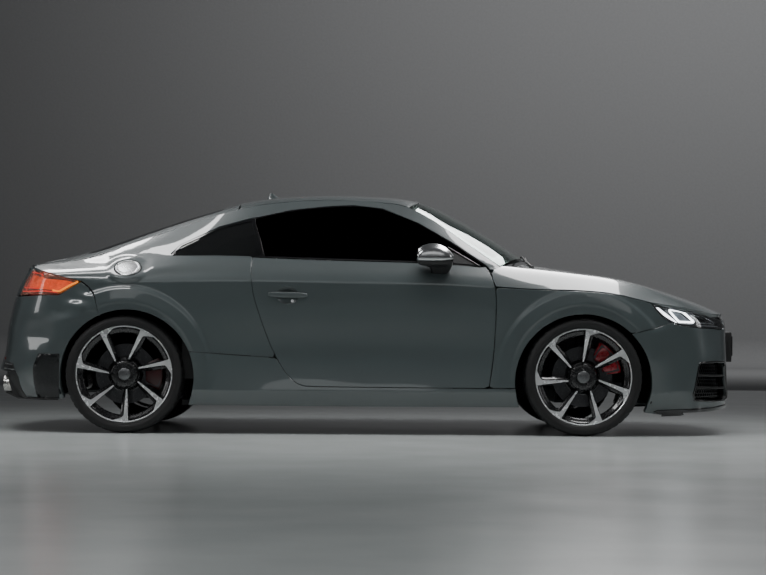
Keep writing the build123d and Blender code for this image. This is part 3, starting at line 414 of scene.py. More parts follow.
BONNET = rows([
    (690, (889, 812), (850, 886), (742, 940), (400, 982), 996),
    (935, (895, 799), (842, 872), (700, 915), (380, 944), 954),
    (1210, (897, 792), (838, 855), (690, 884), (370, 905), 913),
    (1400, (890, 772), (822, 832), (660, 860), (350, 880), 886),
    (1580, (868, 732), (796, 786), (620, 820), (330, 842), 848),
    (1795, (806, 700), (716, 732), (560, 758), (310, 776), 781),
    (1950, (700, 668), (610, 690), (480, 706), (280, 718), 722),
    (2070, (640, 640), (540, 648), (420, 655), (250, 661), 663),
])
ROOF = rows([
    (345, (656, 1208), (520, 1254), (300, 1296), 1311),
    (258, (632, 1256), (500, 1289), (300, 1315), 1325),
    (100, (606, 1285), (480, 1312), (290, 1331), 1338),
    (-199, (590, 1297), (470, 1322), (280, 1338), 1343),
    (-394, (580, 1288), (460, 1314), (275, 1331), 1336),
    (-600, (566, 1264), (450, 1291), (270, 1310), 1317),
    (-690, (561, 1244), (445, 1273), (268, 1293), 1300),
])
SCREEN = rows([
    (245, (626, 1262), (500, 1299), (290, 1331), 1345),
    (381, (668, 1190), (520, 1239), (300, 1283), 1299),
    (534, (716, 1084), (550, 1147), (300, 1206), 1225),
    (756, (800, 924), (620, 1003), (320, 1078), 1100),
    (960, (870, 775), (660, 860), (340, 944), 970),
])
GATE = rows([
    (-690, (556, 1244), (440, 1272), (260, 1292), 1299),
    (-900, (549, 1180), (430, 1213), (255, 1236), 1244),
    (-1150, (564, 1098), (440, 1131), (260, 1155), 1163),
    (-1446, (598, 990), (460, 1025), (270, 1050), 1058),
    (-1600, (624, 949), (480, 977), (280, 997), 1003),
    (-1750, (612, 929), (490, 944), (290, 956), 960),
    (-1925, (598, 908), (490, 914), (290, 918), 919),
])


def top_fn(table):
    def f(x, y):
        shape = np.shape(x)
        x = np.ravel(np.asarray(x, float)); y = np.ravel(np.asarray(y, float))
        a = table(x)
        n = (a.shape[1] - 1) // 2
        ys = [a[:, 2 * i] for i in range(n)]
        zs = [a[:, 2 * i + 1] for i in range(n)]
        yk = np.stack([-v for v in ys] + [0 * x] + ys[::-1], 1)
        zk = np.stack(zs + [a[:, -1]] + zs[::-1], 1)
        z = vspline(yk, zk, y)
        return np.stack([x, y, z], -1).reshape(*shape, 3)
    return f


bonnet_f, roof_f, screen_f, gate_f = map(top_fn, (BONNET, ROOF, SCREEN, GATE))

# nose and tail in plan: z, x at y = 0, 150, 300, 450, 600, 700, 800
NOSE_Y = [0, 150, 300, 450, 600, 700, 800]
NOSE = rows([
    (120, 2056, 2055, 2049, 2032, 1986, 1926, 1812),
    (200, 2076, 2075, 2071, 2058, 2014, 1952, 1840),
    (300, 2074, 2073, 2069, 2057, 2016, 1958, 1852),
    (420, 2073, 2072, 2068, 2055, 2014, 1958, 1856),
    (560, 2071, 2070, 2065, 2050, 2006, 1946, 1842),
    (650, 2060, 2058, 2052, 2036, 1990, 1930, 1822),
    (735, 1996, 1994, 1986, 1968, 1918, 1850, 1742),
])
TAIL = rows([
    (160, -1996, -1994, -1984, -1956, -1908, -1850, -1748),
    (200, -2030, -2028, -2018, -1988, -1934, -1872, -1764),
    (340, -2092, -2087, -2067, -2034, -1986, -1930, -1818),
    (410, -2076, -2070, -2046, -2017, -1974, -1924, -1816),
    (550, -2050, -2045, -2028, -2000, -1957, -1908, -1808),
    (690, -2016, -2012, -2000, -1971, -1927, -1877, -1786),
    (800, -1977, -1974, -1964, -1938, -1895, -1838, -1749),
    (915, -1905, -1903, -1896, -1874, -1828, -1762, -1668),
])


class Ends:
    """The nose or the tail: u runs along the plan outline from the middle to the side, v is z."""

    def __init__(self, table, cols, side_x, top):
        self.t, self.cols, self.sx, self.top = table, cols, side_x, top
        nominal = self._pts(np.array([500.0]))[0]
        d = np.hypot(*np.diff(nominal, axis=0).T)
        self.u = np.concatenate([[0], np.cumsum(d)])

    def _pts(self, z):
        a = self.t(z)[:, :self.cols]
        front = np.stack([a, np.broadcast_to(V(NOSE_Y[:self.cols], float), a.shape)], -1)
        sx = np.broadcast_to(V(self.sx, float), (len(z), len(self.sx)))
        sy = side_y(sx, np.broadcast_to(np.minimum(z, self.top)[:, None], sx.shape))
        return np.concatenate([front, np.stack([sx, sy], -1)], 1)

    def __call__(self, u, v):
        shape = np.shape(u)
        u = np.ravel(np.asarray(u, float)); v = np.ravel(np.asarray(v, float))
        p = self._pts(v)
        s = np.sign(u) + (u == 0)
        w = np.abs(u)
        k = np.broadcast_to(self.u, (len(u), len(self.u)))
        k2 = np.concatenate([-k[:, 2:0:-1], k], 1)
        px = np.concatenate([p[:, 2:0:-1, 0], p[:, :, 0]], 1)
        py = np.concatenate([-p[:, 2:0:-1, 1], p[:, :, 1]], 1)
        x = vspline(k2, px, w)
        y = vspline(k2, py, w)
        return np.stack([x, y * s, v], -1).reshape(*shape, 3)

    def find(self, axis, target, z):
        """u where the outline at height z passes the half width (axis y) or the length (axis x) wanted."""
        target = np.atleast_1d(V(target, float)); z = np.atleast_1d(V(z, float))
        front = self.t(V([400.0]))[0, 0] > 0
        s = -1.0 if (axis == "x" and front) else 1.0
        k = 0 if axis == "x" else 1
        lo, hi = np.zeros(len(z)), np.full(len(z), float(self.u[-1]))
        for _ in range(36):
            mid = (lo + hi) / 2
            less = s * self(mid, z)[:, k] < s * target
            lo, hi = np.where(less, mid, lo), np.where(less, hi, mid)
        return (lo + hi) / 2

    def path(self, spec):
        """Outline points (u, v) from rows (axis, value, z)."""
        out = [None] * len(spec)
        for ax in "xy":
            i = [k for k, r in enumerate(spec) if r[0] == ax]
            if i:
                u = self.find(ax, [spec[k][1] for k in i], [spec[k][2] for k in i])
                for k, v in zip(i, u):
                    out[k] = (0.0 if ax == "y" and spec[k][1] == 0 else float(v), float(spec[k][2]))
        return out


NOSE_F = Ends(NOSE, 7, [1700, 1600, 1500, 1400, 1300], 700)
TAIL_F = Ends(TAIL, 6, [-1740, -1650, -1560, -1480, -1400, -1320], 870)


# =====================================================================
# Mesh making
# =====================================================================
def obj_from(name, verts, faces, normals=None, mats=("paint",), face_mat=None, smooth_all=True):
    me = bpy.data.meshes.new(name)
    me.from_pydata([tuple(v) for v in (np.asarray(verts, float) / 1000.0)], [], [tuple(int(i) for i in f) for f in faces])
    for m in mats:
        me.materials.append(MAT[m] if isinstance(m, str) else m)
    if face_mat is not None:
        me.polygons.foreach_set("material_index", np.asarray(face_mat, np.int32))
    me.polygons.foreach_set("use_smooth", np.full(len(me.polygons), bool(smooth_all)))
    me.update()
    if normals is not None:
        me.normals_split_custom_set_from_vertices([tuple(n) for n in normals])
    o = bpy.data.objects.new(name, me)
    bpy.context.scene.collection.objects.link(o)
    return o


def inside(poly, pts):
    """Which pts (N, 2) lie in poly (M, 2)."""
    x, y = pts[:, 0], pts[:, 1]
    a, b = poly, np.roll(poly, -1, 0)
    hit = np.zeros(len(pts), bool)
    for (x0, y0), (x1, y1) in zip(a, b):
        if y0 == y1:
            continue
        c = (y0 > y) != (y1 > y)
        hit ^= c & (x < (x1 - x0) * (y - y0) / (y1 - y0) + x0)
    return hit


def near(poly, pts, d):
    """Which pts lie within d of the outline."""
    a, b = poly, np.roll(poly, -1, 0)
    best = np.full(len(pts), 1e9)
    for p, q in zip(a, b):
        e = q - p
        L = max(1e-9, e @ e)
        t = np.clip(((pts - p) @ e) / L, 0, 1)
        best = np.minimum(best, np.hypot(*(pts - p - t[:, None] * e).T))
    return best < d


def resample(loop, step):
    out = []
    loop = V(loop, float)
    for p, q in zip(loop, np.roll(loop, -1, 0)):
        n = max(1, int(round(np.hypot(*(q - p)) / step)))
        for i in range(n):
            out.append(p + (q - p) * i / n)
    return V(out)


def arc(cx, cz, r, a0, a1, n=24):
    return [(cx + r * math.cos(math.radians(a0 + (a1 - a0) * i / n)),
             cz + r * math.sin(math.radians(a0 + (a1 - a0) * i / n))) for i in range(n + 1)]


def curve2(pts, step=14):
    """A smooth line through a few points, sampled."""
    pts = V(pts, float)
    d = np.concatenate([[0], np.cumsum(np.hypot(*np.diff(pts, axis=0).T))])
    s = Spl(d, pts)
    n = max(2, int(d[-1] / step))
    return [tuple(p) for p in s(np.linspace(0, d[-1], n + 1))]


def round_loop(loop, r, n=4):
    """Corners of a closed loop rounded with radius r (or one radius per corner)."""
    out = []
    m = len(loop)
    for i in range(m):
        p, c, q = V(loop[i - 1], float), V(loop[i], float), V(loop[(i + 1) % m], float)
        rr = r[i] if isinstance(r, (list, tuple)) else r
        u, w = p - c, q - c
        lu, lw = np.hypot(*u), np.hypot(*w)
        if rr <= 0 or lu < 1e-6 or lw < 1e-6:
            out.append(tuple(c)); continue
        u, w = u / lu, w / lw
        cosang = np.clip(u @ w, -1, 1)
        ang = math.acos(cosang)
        if ang > math.radians(172):
            out.append(tuple(c)); continue
        t = min(rr / math.tan(ang / 2), 0.45 * lu, 0.45 * lw)
        for k in range(n + 1):
            s = k / n
            a, b = c + u * t * (1 - s), c + w * t * s
            out.append(tuple(a * (1 - s) + b * s))
    return out


def inset_loop(loop, d):
    """A closed outline shrunk by d all round."""
    p = V(loop, float)
    keep = np.hypot(*(p - np.roll(p, 1, 0)).T) > 0.5
    p = p[keep]
    area = 0.5 * np.sum(p[:, 0] * np.roll(p[:, 1], -1) - np.roll(p[:, 0], -1) * p[:, 1])
    s = 1 if area > 0 else -1
    a = p - np.roll(p, 1, 0)
    b = np.roll(p, -1, 0) - p
    a /= np.hypot(*a.T)[:, None]
    b /= np.hypot(*b.T)[:, None]
    na = np.stack([-a[:, 1], a[:, 0]], 1) * s
    nb = np.stack([-b[:, 1], b[:, 0]], 1) * s
    n = na + nb
    k = np.maximum(0.35, (n * na).sum(1))
    return p + n * (d / k)[:, None]


def surf_normal(F, u, v, flip, h=3.0):
    a = F(u + h, v) - F(u - h, v)
    b = F(u, v + h) - F(u, v - h)
    n = np.cross(a, b)
    n /= np.maximum(1e-9, np.linalg.norm(n, axis=-1, keepdims=True))
    return n * flip


def panel(name, F, outer, holes=(), flip=1, step=26, edge=12, hem=1.6, depth=16, back=True, lift=0.0,
          mats=("paint",), inner_mat=0, extra_pts=None, mirror=False, nh=3.0, keep_hole=None):
    """A body panel: outlines in the surface's own two coordinates, turned-in rounded edges, and an inside face."""
    outer = resample(outer, edge)
    holes = [resample(h, edge) for h in holes]
    loops = [outer] + holes
    lo, hi = outer.min(0), outer.max(0)
    gx = np.arange(lo[0] + step * 0.5, hi[0], step)
    gy = np.arange(lo[1] + step * 0.5, hi[1], step * 0.9)
    g = V([(x + (step / 2 if j % 2 else 0), y) for j, y in enumerate(gy) for x in gx])
    if extra_pts is not None and len(extra_pts):
        extra = V(extra_pts, float)
        g = g[~near_pts(extra, g, step * 0.6)] if len(g) else g
        g = np.concatenate([g, extra]) if len(g) else extra
    if len(g):
        ok = inside(outer, g) & ~near(outer, g, min(step, edge) * 0.62)
        for h in holes:
            ok &= ~inside(h, g) & ~near(h, g, min(step, edge) * 0.62)
        g = g[ok]
    pts = np.concatenate(loops + ([g] if len(g) else []))
    edges, start = [], 0
    for l in loops:
        n = len(l)
        edges += [(start + i, start + (i + 1) % n) for i in range(n)]
        start += n
    vo, eo, fo, ov, oe, of_ = delaunay_2d_cdt([Vector(p) for p in pts], edges, [], 0, 1e-5)
    P2 = V([tuple(p) for p in vo])
    tris = V([tuple(f) for f in fo if len(f) == 3], int)
    c = P2[tris].mean(1)
    ok = inside(outer, c)
    for h in holes:
        ok &= ~inside(h, c)
    tris = tris[ok]
    a, b, d = P2[tris[:, 0]], P2[tris[:, 1]], P2[tris[:, 2]]
    area = (b[:, 0] - a[:, 0]) * (d[:, 1] - a[:, 1]) - (b[:, 1] - a[:, 1]) * (d[:, 0] - a[:, 0])
    tris = tris[np.abs(area) > 1e-4]
    area = area[np.abs(area) > 1e-4]
    tris[area < 0] = tris[area < 0][:, ::-1]
    P3 = F(P2[:, 0], P2[:, 1])
    N = surf_normal(F, P2[:, 0], P2[:, 1], flip, nh)
    P3 = P3 + N * lift
    # the winding that agrees with the outward normal
    t0 = tris[0]
    g0 = np.cross(P3[t0[1]] - P3[t0[0]], P3[t0[2]] - P3[t0[0]])
    if g0 @ N[t0[0]] < 0:
        tris = tris[:, ::-1]
    # boundary edges, in face order
    cnt = {}
    for t in tris:
        for i in range(3):
            e = (int(t[i]), int(t[(i + 1) % 3]))
            cnt[e] = cnt.get(e, 0) + 1
    bd = [e for e in cnt if (e[1], e[0]) not in cnt]
    nxt = {}
    prv = {}
    for e in bd:
        nxt[e[0]] = e[1]; prv[e[1]] = e[0]
    verts = [tuple(p) for p in P3]
    norms = [tuple(n) for n in N]
    faces = [tuple(int(i) for i in t) for t in tris]
    fm = [0] * len(faces)
    ring = {}
    for i in nxt:
        p, q = prv.get(i, i), nxt[i]
        tan = P3[q] - P3[p]
        L = np.linalg.norm(tan)
        tan = tan / L if L > 1e-9 else V([1.0, 0, 0])
        o = np.cross(tan, N[i])
        o /= max(1e-9, np.linalg.norm(o))
        s = []
        for ang in (45, 90):
            ca, sa = math.cos(math.radians(ang)), math.sin(math.radians(ang))
            pos = P3[i] + o * hem * sa - N[i] * hem * (1 - ca)
            s.append((pos, N[i] * ca + o * sa))
        s.append((P3[i] + o * hem - N[i] * depth, o))
        ids = []
        for pos, nn in s:
            ids.append(len(verts)); verts.append(tuple(pos)); norms.append(tuple(nn))
        ring[i] = [i] + ids
        if back:
            ids.append(len(verts)); verts.append(tuple(s[-1][0])); norms.append(tuple(-N[i]))
            ring[i] = [i] + ids
    for a_, b_ in bd:
        ra, rb = ring[a_], ring[b_]
        for k in range(3):
            faces.append((ra[k], ra[k + 1], rb[k + 1], rb[k])); fm.append(0)
    if back:
        m = {}
        for i in range(len(P3)):
            if i in ring:
                m[i] = ring[i][4]
        for t in tris:
            f = []
            for i in t[::-1]:
                i = int(i)
                if i not in m:
                    m[i] = len(verts)
                    verts.append(tuple(P3[i] - N[i] * depth)); norms.append(tuple(-N[i]))
                f.append(m[i])
            faces.append(tuple(f)); fm.append(inner_mat)
    verts, norms = V(verts), V(norms)
    obs = [obj_from(name, verts, faces, norms, mats, fm)]
    if mirror:
        v2, n2 = verts * [1, -1, 1], norms * [1, -1, 1]
        obs.append(obj_from(mirror, v2, [f[::-1] for f in faces], n2, mats, fm))
    return obs if mirror else obs[0]


def near_pts(a, pts, d):
    out = np.zeros(len(pts), bool)
    for i in range(0, len(a), 200):
        q = a[i:i + 200]
        out |= (np.hypot(pts[:, None, 0] - q[None, :, 0], pts[:, None, 1] - q[None, :, 1]) < d).any(1)
    return out


def join(name, obs):
    """Joins mesh objects made by obj_from into one, keeping their custom normals."""
    verts, faces, norms, fm, mats = [], [], [], [], []
    for o in obs:
        me = o.data
        base = len(verts)
        idx = []
        for m in me.materials:
            if m not in mats:
                mats.append(m)
            idx.append(mats.index(m))
        nv = [None] * len(me.vertices)
        for l, cn in zip(me.loops, me.corner_normals):
            nv[l.vertex_index] = tuple(cn.vector)
        for v, n in zip(me.vertices, nv):
            verts.append((v.co[0] * 1000, v.co[1] * 1000, v.co[2] * 1000)); norms.append(n or (0, 0, 1))
        for p in me.polygons:
            faces.append([base + i for i in p.vertices]); fm.append(idx[p.material_index] if idx else 0)
        bpy.data.objects.remove(o)
        bpy.data.meshes.remove(me)
    return obj_from(name, verts, faces, norms, mats, fm)


def loft(name, sections, mats=("paint",), closed=True, cap=True, sharp=35, mat_rows=None, flat=False):
    """A skin through like-numbered rings of points, each a list of (x, y, z)."""
    S = [V(s, float) for s in sections]
    n = len(S[0])
    verts = np.concatenate(S)
    faces, fm = [], []
    for k in range(len(S) - 1):
        for i in range(n if closed else n - 1):
            j = (i + 1) % n
            faces.append((k * n + i, k * n + j, (k + 1) * n + j, (k + 1) * n + i))
            fm.append(mat_rows[k] if mat_rows else 0)
    if cap and closed:
        faces.append(tuple(range(n - 1, -1, -1))); fm.append(mat_rows[0] if mat_rows else 0)
        faces.append(tuple(range((len(S) - 1) * n, len(S) * n))); fm.append(mat_rows[-1] if mat_rows else 0)
    o = obj_from(name, verts, faces, None, mats, fm)
    fix_normals(o)
    if flat:
        o.data.polygons.foreach_set("use_smooth", np.zeros(len(o.data.polygons), bool))
    else:
        sharpen(o, sharp)
    return o


def fix_normals(o):
    bm = bmesh.new(); bm.from_mesh(o.data)
    bmesh.ops.remove_doubles(bm, verts=bm.verts, dist=1e-6)
    bmesh.ops.recalc_face_normals(bm, faces=bm.faces)
    bm.to_mesh(o.data); bm.free()


def sharpen(o, deg=35):
    me = o.data
    bm = bmesh.new(); bm.from_mesh(me)
    lim = math.radians(deg)
    for e in bm.edges:
        if len(e.link_faces) == 2:
            e.smooth = e.calc_face_angle(0) < lim
    for f in bm.faces:
        f.smooth = True
    bm.to_mesh(me); bm.free()


def bevel(o, width, segs=2, deg=30):
    """Rounds the sharp edges of a plain mesh, in mm."""
    bm = bmesh.new(); bm.from_mesh(o.data)
    es = [e for e in bm.edges if len(e.link_faces) == 2 and e.calc_face_angle(0) > math.radians(deg)]
    bmesh.ops.bevel(bm, geom=es, offset=width / 1000, segments=segs, affect="EDGES", profile=0.6, clamp_overlap=True)
    for f in bm.faces:
        f.smooth = True
    bm.to_mesh(o.data); bm.free()
    sharpen(o, 40)
    return o


def mirrored(o, name):
    me = o.data.copy()
    me.name = name
    bm = bmesh.new(); bm.from_mesh(me)
    for v in bm.verts:
        v.co.y = -v.co.y
    bmesh.ops.reverse_faces(bm, faces=bm.faces)
    bm.to_mesh(me); bm.free()
    q = bpy.data.objects.new(name, me)
    bpy.context.scene.collection.objects.link(q)
    return q


def tube(name, pts, r, mats=("black_trim",), n=12, closed=False):
    pts = V(pts, float)
    m = len(pts)
    rings = []
    ref = None
    for i in range(m):
        a = pts[(i - 1) % m] if (closed or i > 0) else pts[i]
        b = pts[(i + 1) % m] if (closed or i < m - 1) else pts[i]
        t = b - a
        t /= np.linalg.norm(t)
        if ref is None:
            ref = np.cross(t, [0.13, 0.41, 0.9])
        s = ref - t * (ref @ t)
        s /= np.linalg.norm(s)
        ref = s
        w = np.cross(t, s)
        rr = r[i] if isinstance(r, (list, tuple, np.ndarray)) else r
        rings.append([pts[i] + rr * (s * math.cos(2 * math.pi * k / n) + w * math.sin(2 * math.pi * k / n)) for k in range(n)])
    if closed:
        rings.append(rings[0])
    return loft(name, rings, mats, cap=not closed)


def strip(name, F, path, width, thick, lift=0.0, mats=("black_trim",), flip=1, step=12, closed=False, taper=False, sharp=50):
    """A flat band lying on a surface along a path of its two coordinates."""
    p = V(resample(path, step) if closed else densify(path, step), float)
    P = F(p[:, 0], p[:, 1])
    N = surf_normal(F, p[:, 0], p[:, 1], flip)
    P = P + N * lift
    if closed:
        T = np.roll(P, -1, 0) - np.roll(P, 1, 0)
    else:
        T = np.gradient(P, axis=0)
    T /= np.linalg.norm(T, axis=1, keepdims=True)
    S = np.cross(N, T)
    S /= np.linalg.norm(S, axis=1, keepdims=True)
    n = len(P)
    rings = []
    for i in range(n):
        w = width if np.isscalar(width) else np.interp(i / (n - 1), np.linspace(0, 1, len(width)), width)
        if taper and not closed:
            t = min(i, n - 1 - i) / max(1, n - 1)
            w = w * min(1, 0.25 + t * 8)
        a, b, c = w / 2, min(thick * 0.35, w * 0.25), thick
        rings.append([P[i] + S[i] * x + N[i] * z for x, z in
                      ((-a, 0), (-a, c - b), (-a + b * 0.3, c - b * 0.3), (-a + b, c), (a - b, c), (a - b * 0.3, c - b * 0.3), (a, c - b), (a, 0))])
    if closed:
        rings.append(rings[0])
    return loft(name, rings, mats, cap=not closed, sharp=sharp)


def densify(path, step):
    out = []
    path = V(path, float)
    for p, q in zip(path[:-1], path[1:]):
        n = max(1, int(round(np.hypot(*(q - p)) / step)))
        out += [p + (q - p) * i / n for i in range(n)]
    out.append(path[-1])
    return V(out)


def sym_u(half):
    """A closed outline from its left half, given from the middle to the middle."""
    return list(half) + [(-u, v) for u, v in half[::-1] if abs(u) > 0.5]


def duct(name, F, loop, depth, flip=1, shrink=0.08, mats=("black_trim",), start=4.0, step=16):
    """The walls of an opening, going in from its edge, closed at the back."""
    p = resample(loop, step)
    P = F(p[:, 0], p[:, 1])
    N = surf_normal(F, p[:, 0], p[:, 1], flip)
    c = P.mean(0)
    n0 = N.mean(0)
    n0 /= np.linalg.norm(n0)
    rings = []
    for t in (0, 0.25, 0.6, 1.0):
        q = P - n0 * (start + depth * t)
        rings.append(c - n0 * (start + depth * t) + (q - (c - n0 * (start + depth * t))) * (1 - shrink * t))
    # outer skin too, so that the duct is a closed shell
    outer = [r + (r - r.mean(0)) / np.linalg.norm(r - r.mean(0), axis=1, keepdims=True) * 3 for r in rings]
    outer[-1] = outer[-1] - n0 * 3
    S = [outer[0]] + [rings[0]] + rings[1:] + [rings[-1] * 0.999 + rings[-1].mean(0) * 0.001]
    verts, faces = [], []
    m = len(p)
    order = [outer[3], outer[2], outer[1], outer[0], rings[0], rings[1], rings[2], rings[3]]
    for r in order:
        verts += [tuple(v) for v in r]
    for k in range(len(order) - 1):
        for i in range(m):
            j = (i + 1) % m
            faces.append((k * m + i, k * m + j, (k + 1) * m + j, (k + 1) * m + i))
    for k, inv in ((0, False), (len(order) - 1, True)):
        base = k * m
        ctr = len(verts)
        verts.append(tuple(order[k].mean(0)))
        for i in range(m):
            j = (i + 1) % m
            faces.append((base + i, base + j, ctr))
    o = obj_from(name, verts, faces, None, mats)
    fix_normals(o)
    sharpen(o, 35)
    return o


def honeycomb(name, F, loop, pitch, wall, depth, lift=0.0, flip=1, mats=("gloss_black",), squash=1.0):
    """A honeycomb mesh over an outline of a surface's two coordinates."""
    loop = V(loop, float)
    lo, hi = loop.min(0), loop.max(0)
    R = pitch / math.sqrt(3)
    cs = []
    for j, y in enumerate(np.arange(lo[1] - pitch, hi[1] + pitch, pitch * math.sqrt(3) / 2 * squash)):
        for x in np.arange(lo[0] - pitch + (pitch / 2 if j % 2 else 0), hi[0] + pitch, pitch):
            cs.append((x, y))
    cs = V(cs)
    hexo = V([(R * math.sin(math.radians(60 * k)), R * math.cos(math.radians(60 * k)) * squash) for k in range(6)])
    allp = (cs[:, None, :] + hexo[None]).reshape(-1, 2)
    ok = inside(loop, allp).reshape(-1, 6).sum(1) >= 4
    cs = cs[ok]
    q = np.concatenate([cs[:, None, :] + hexo[None], cs[:, None, :] + hexo[None] * (1 - wall / pitch)], 1)
    n = len(cs)
    P = F(q[..., 0].ravel(), q[..., 1].ravel())
    N = surf_normal(F, q[..., 0].ravel(), q[..., 1].ravel(), flip)
    a = (P + N * lift).reshape(n, 12, 3)
    b = (P + N * (lift - depth)).reshape(n, 12, 3)
    verts = np.concatenate([a, b], 1).reshape(-1, 3)
    faces = []
    for i in range(n):
        base = i * 24
        for k in range(6):
            l = (k + 1) % 6
            faces.append((base + k, base + l, base + 6 + l, base + 6 + k))
            faces.append((base + 6 + k, base + 6 + l, base + 18 + l, base + 18 + k))
            faces.append((base + 12 + l, base + 12 + k, base + 18 + k, base + 18 + l))
            faces.append((base + l, base + k, base + 12 + k, base + 12 + l))
    o = obj_from(name, verts, faces, None, mats)
    fix_normals(o)
    o.data.polygons.foreach_set("use_smooth", np.zeros(len(o.data.polygons), bool))
    return o


def put(o, body, *nodes, slot=None):
    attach(o, body)
    if nodes:
        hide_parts(*nodes)
    return o


# =====================================================================
# Stage, camera, light
# =====================================================================
def make_stage():
    bm = bmesh.new()
    n = 24
    wy = 24.5
    prof = [(-26.0, 0.0), (-8.0, 0.0), (4.0, 0.0), (9.35, 0.0), (wy, 0.0)]
    nf = len(prof) - 2
    for i in range(1, n + 1):
        a = math.radians(90 * i / n)
        prof.append((wy + 0.5 * math.sin(a), 0.5 - 0.5 * math.cos(a)))
    prof.append((wy + 0.5, 18.0))
    rowsv = []
    for x in np.linspace(-26, 26, 27):
        rowsv.append([bm.verts.new((x, y, z)) for y, z in prof])
    for a, b in zip(rowsv, rowsv[1:]):
        for i in range(len(prof) - 1):
            f = bm.faces.new((a[i], b[i], b[i + 1], a[i + 1]))
            f.material_index = 0 if i < nf else 1
    me = bpy.data.meshes.new("studio")
    bm.normal_update()
    bm.to_mesh(me); bm.free()
    me.materials.append(MAT["floor"])
    me.materials.append(MAT["wall"])
    for p in me.polygons:
        p.use_smooth = True
    o = bpy.data.objects.new("studio", me)
    bpy.context.scene.collection.objects.link(o)

    w = bpy.data.worlds.new("studio_world")
    bpy.context.scene.world = w
    w.use_nodes = True
    bg = w.node_tree.nodes["Background"]
    bg.inputs["Color"].default_value = (0.50, 0.52, 0.54, 1)
    bg.inputs["Strength"].default_value = 0.11

    def area(name, at, look, size, power, color=(1, 1, 1)):
        l = bpy.data.lights.new(name, "AREA")
        l.shape = "RECTANGLE"
        l.size, l.size_y = size
        l.energy = power
        l.color = color
        q = bpy.data.objects.new(name, l)
        q.location = at
        d = Vector(look) - Vector(at)
        q.rotation_euler = d.to_track_quat("-Z", "Y").to_euler()
        bpy.context.scene.collection.objects.link(q)
        return q

    # ceiling panels that draw the highlights, then the soft light
    for q in (area("panel_front", (1.85, 1.1, 3.6), (1.85, 1.1, 0), (1.3, 5.8), 330),
              area("panel_rear", (-2.5, 1.95, 3.6), (-2.5, 1.95, 0), (1.5, 1.3), 82),
              area("strip_rear", (-2.6, -0.18, 3.6), (-2.6, -0.18, 0), (1.9, 0.42), 34),
              area("strip_side", (-3.0, -3.3, 3.6), (-3.0, -3.3, 0), (2.8, 0.62), 74)):
        q.visible_diffuse = False
    q = area("soft_top", (0.0, -1.6, 4.6), (0.0, -1.6, 0), (7.5, 2.6), 135)
    q.visible_glossy = False
    q.data.spread = math.radians(105)
    q = area("near_floor", (1.0, -7.9, 3.0), (1.0, -7.9, 0), (9.0, 1.4), 34)
    q.visible_glossy = False
    q.data.spread = math.radians(110)
    area("front_fill", (0.5, -10.5, 4.6), (0.0, 0, 0.9), (10.0, 2.6), 62)
    q = area("back_wall", (6.6, 16.8, 9.4), (5.6, 24.9, 4.17), (16.5, 2.0), 1143)
    q.visible_glossy = False
    area("tail_kick", (-6.5, -2.0, 2.2), (-1.8, 0, 0.7), (1.0, 2.4), 26)
    area("nose_kick", (6.8, -1.6, 2.4), (1.8, 0, 0.6), (1.0, 2.4), 26)

    c = bpy.data.cameras.new("camera")
    c.lens = 2204.0 / 766.0 * 36.0
    c.sensor_width = 36.0
    c.clip_end = 200
    c.dof.use_dof = False
    cam = bpy.data.objects.new("camera", c)
    up = math.radians(90 + 1.183)
    rot = Matrix.Rotation(up, 4, "X") @ Matrix.Rotation(math.radians(0.395), 4, "Z")
    cam.matrix_world = Matrix.Translation((0.114, -12.9, 0.5553)) @ rot
    bpy.context.scene.collection.objects.link(cam)
    bpy.context.scene.camera = cam


make_stage()

# =====================================================================
# Body panels
# =====================================================================
ARCH_F, ARCH_R = (1211.0, 290.0, 373.0), (-1281.0, 308.0, 366.0)
GAP = 3.6     # each panel stays this far inside the seam's own line

DOOR_REAR = curve2([(-606, 968), (-607, 868), (-603, 814), (-557, 641), (-478, 442), (-432, 362), (-388, 307), (-342, 273), (-300, 262)], 16)
DOOR_FRONT = [(672, 258)] + curve2([(697, 268), (716, 400), (728, 560), (732, 700), (726, 800), (708, 868), (686, 910), (676, 924)], 16)
DLO_TOP = [(-595, 1187), (-394, 1231), (-189, 1253), (-54, 1260), (106, 1242), (311, 1158), (530, 1029)]


def col(spl, i, j, xs):
    a = spl(V(xs, float))
    return [(float(x), float(a[k, j])) for k, x in enumerate(xs)]


def waist(xs):
    return col(SIDE, 0, 7, xs)


def belt(xs):
    return col(SIDE, 0, 11, xs)


def rail(xs):
    return col(UPPER, 0, 3, xs)


def crease_pts(fn, x0, x1, ds=(0,), dx=13):
    xs = np.arange(x0, x1, dx)
    line = V(fn(xs), float)
    return np.concatenate([line + [0, d] for d in ds])


def ring_pts(cx, cz, r, a0, a1, step=15):
    n = max(2, int(abs(math.radians(a1 - a0)) * r / step))
    return arc(cx, cz, r, a0, a1, n)


def flare_pts(cx, a0, a1):
    out = []
    for r in (380, 392, 404, 416, 436, 456, 466, 476, 488, 500):
        out += ring_pts(cx, WHEEL_Z, r, a0, a1, 17)
    return out


creases = np.concatenate([crease_pts(waist, -1560, 1640, (-9, 0, 9)), crease_pts(belt, -1150, 760, (-8, 0, 8))])

# ---- doors -----------------------------------------------------------------
door_loop = [(x, z) for x, z in DOOR_FRONT] + [(x, z - 1) for x, z in belt(np.arange(640, -600, -40))] + DOOR_REAR + [(-200, 260), (100, 258), (400, 257)]
handle_hole = [(-407 + 62 * math.cos(t), 757 + 49 * math.sin(t)) for t in np.linspace(0, 2 * math.pi, 45)[:-1]]
door_in = inset_loop(door_loop, GAP)
dl, dr = panel("door_skin_left", side, door_in, [handle_hole], flip=-1, step=26, depth=44, extra_pts=creases, mirror="door_skin_right")
put(dl, "door_left", "door_left", slot="paint")
put(dr, "door_right", "door_right", slot="paint")

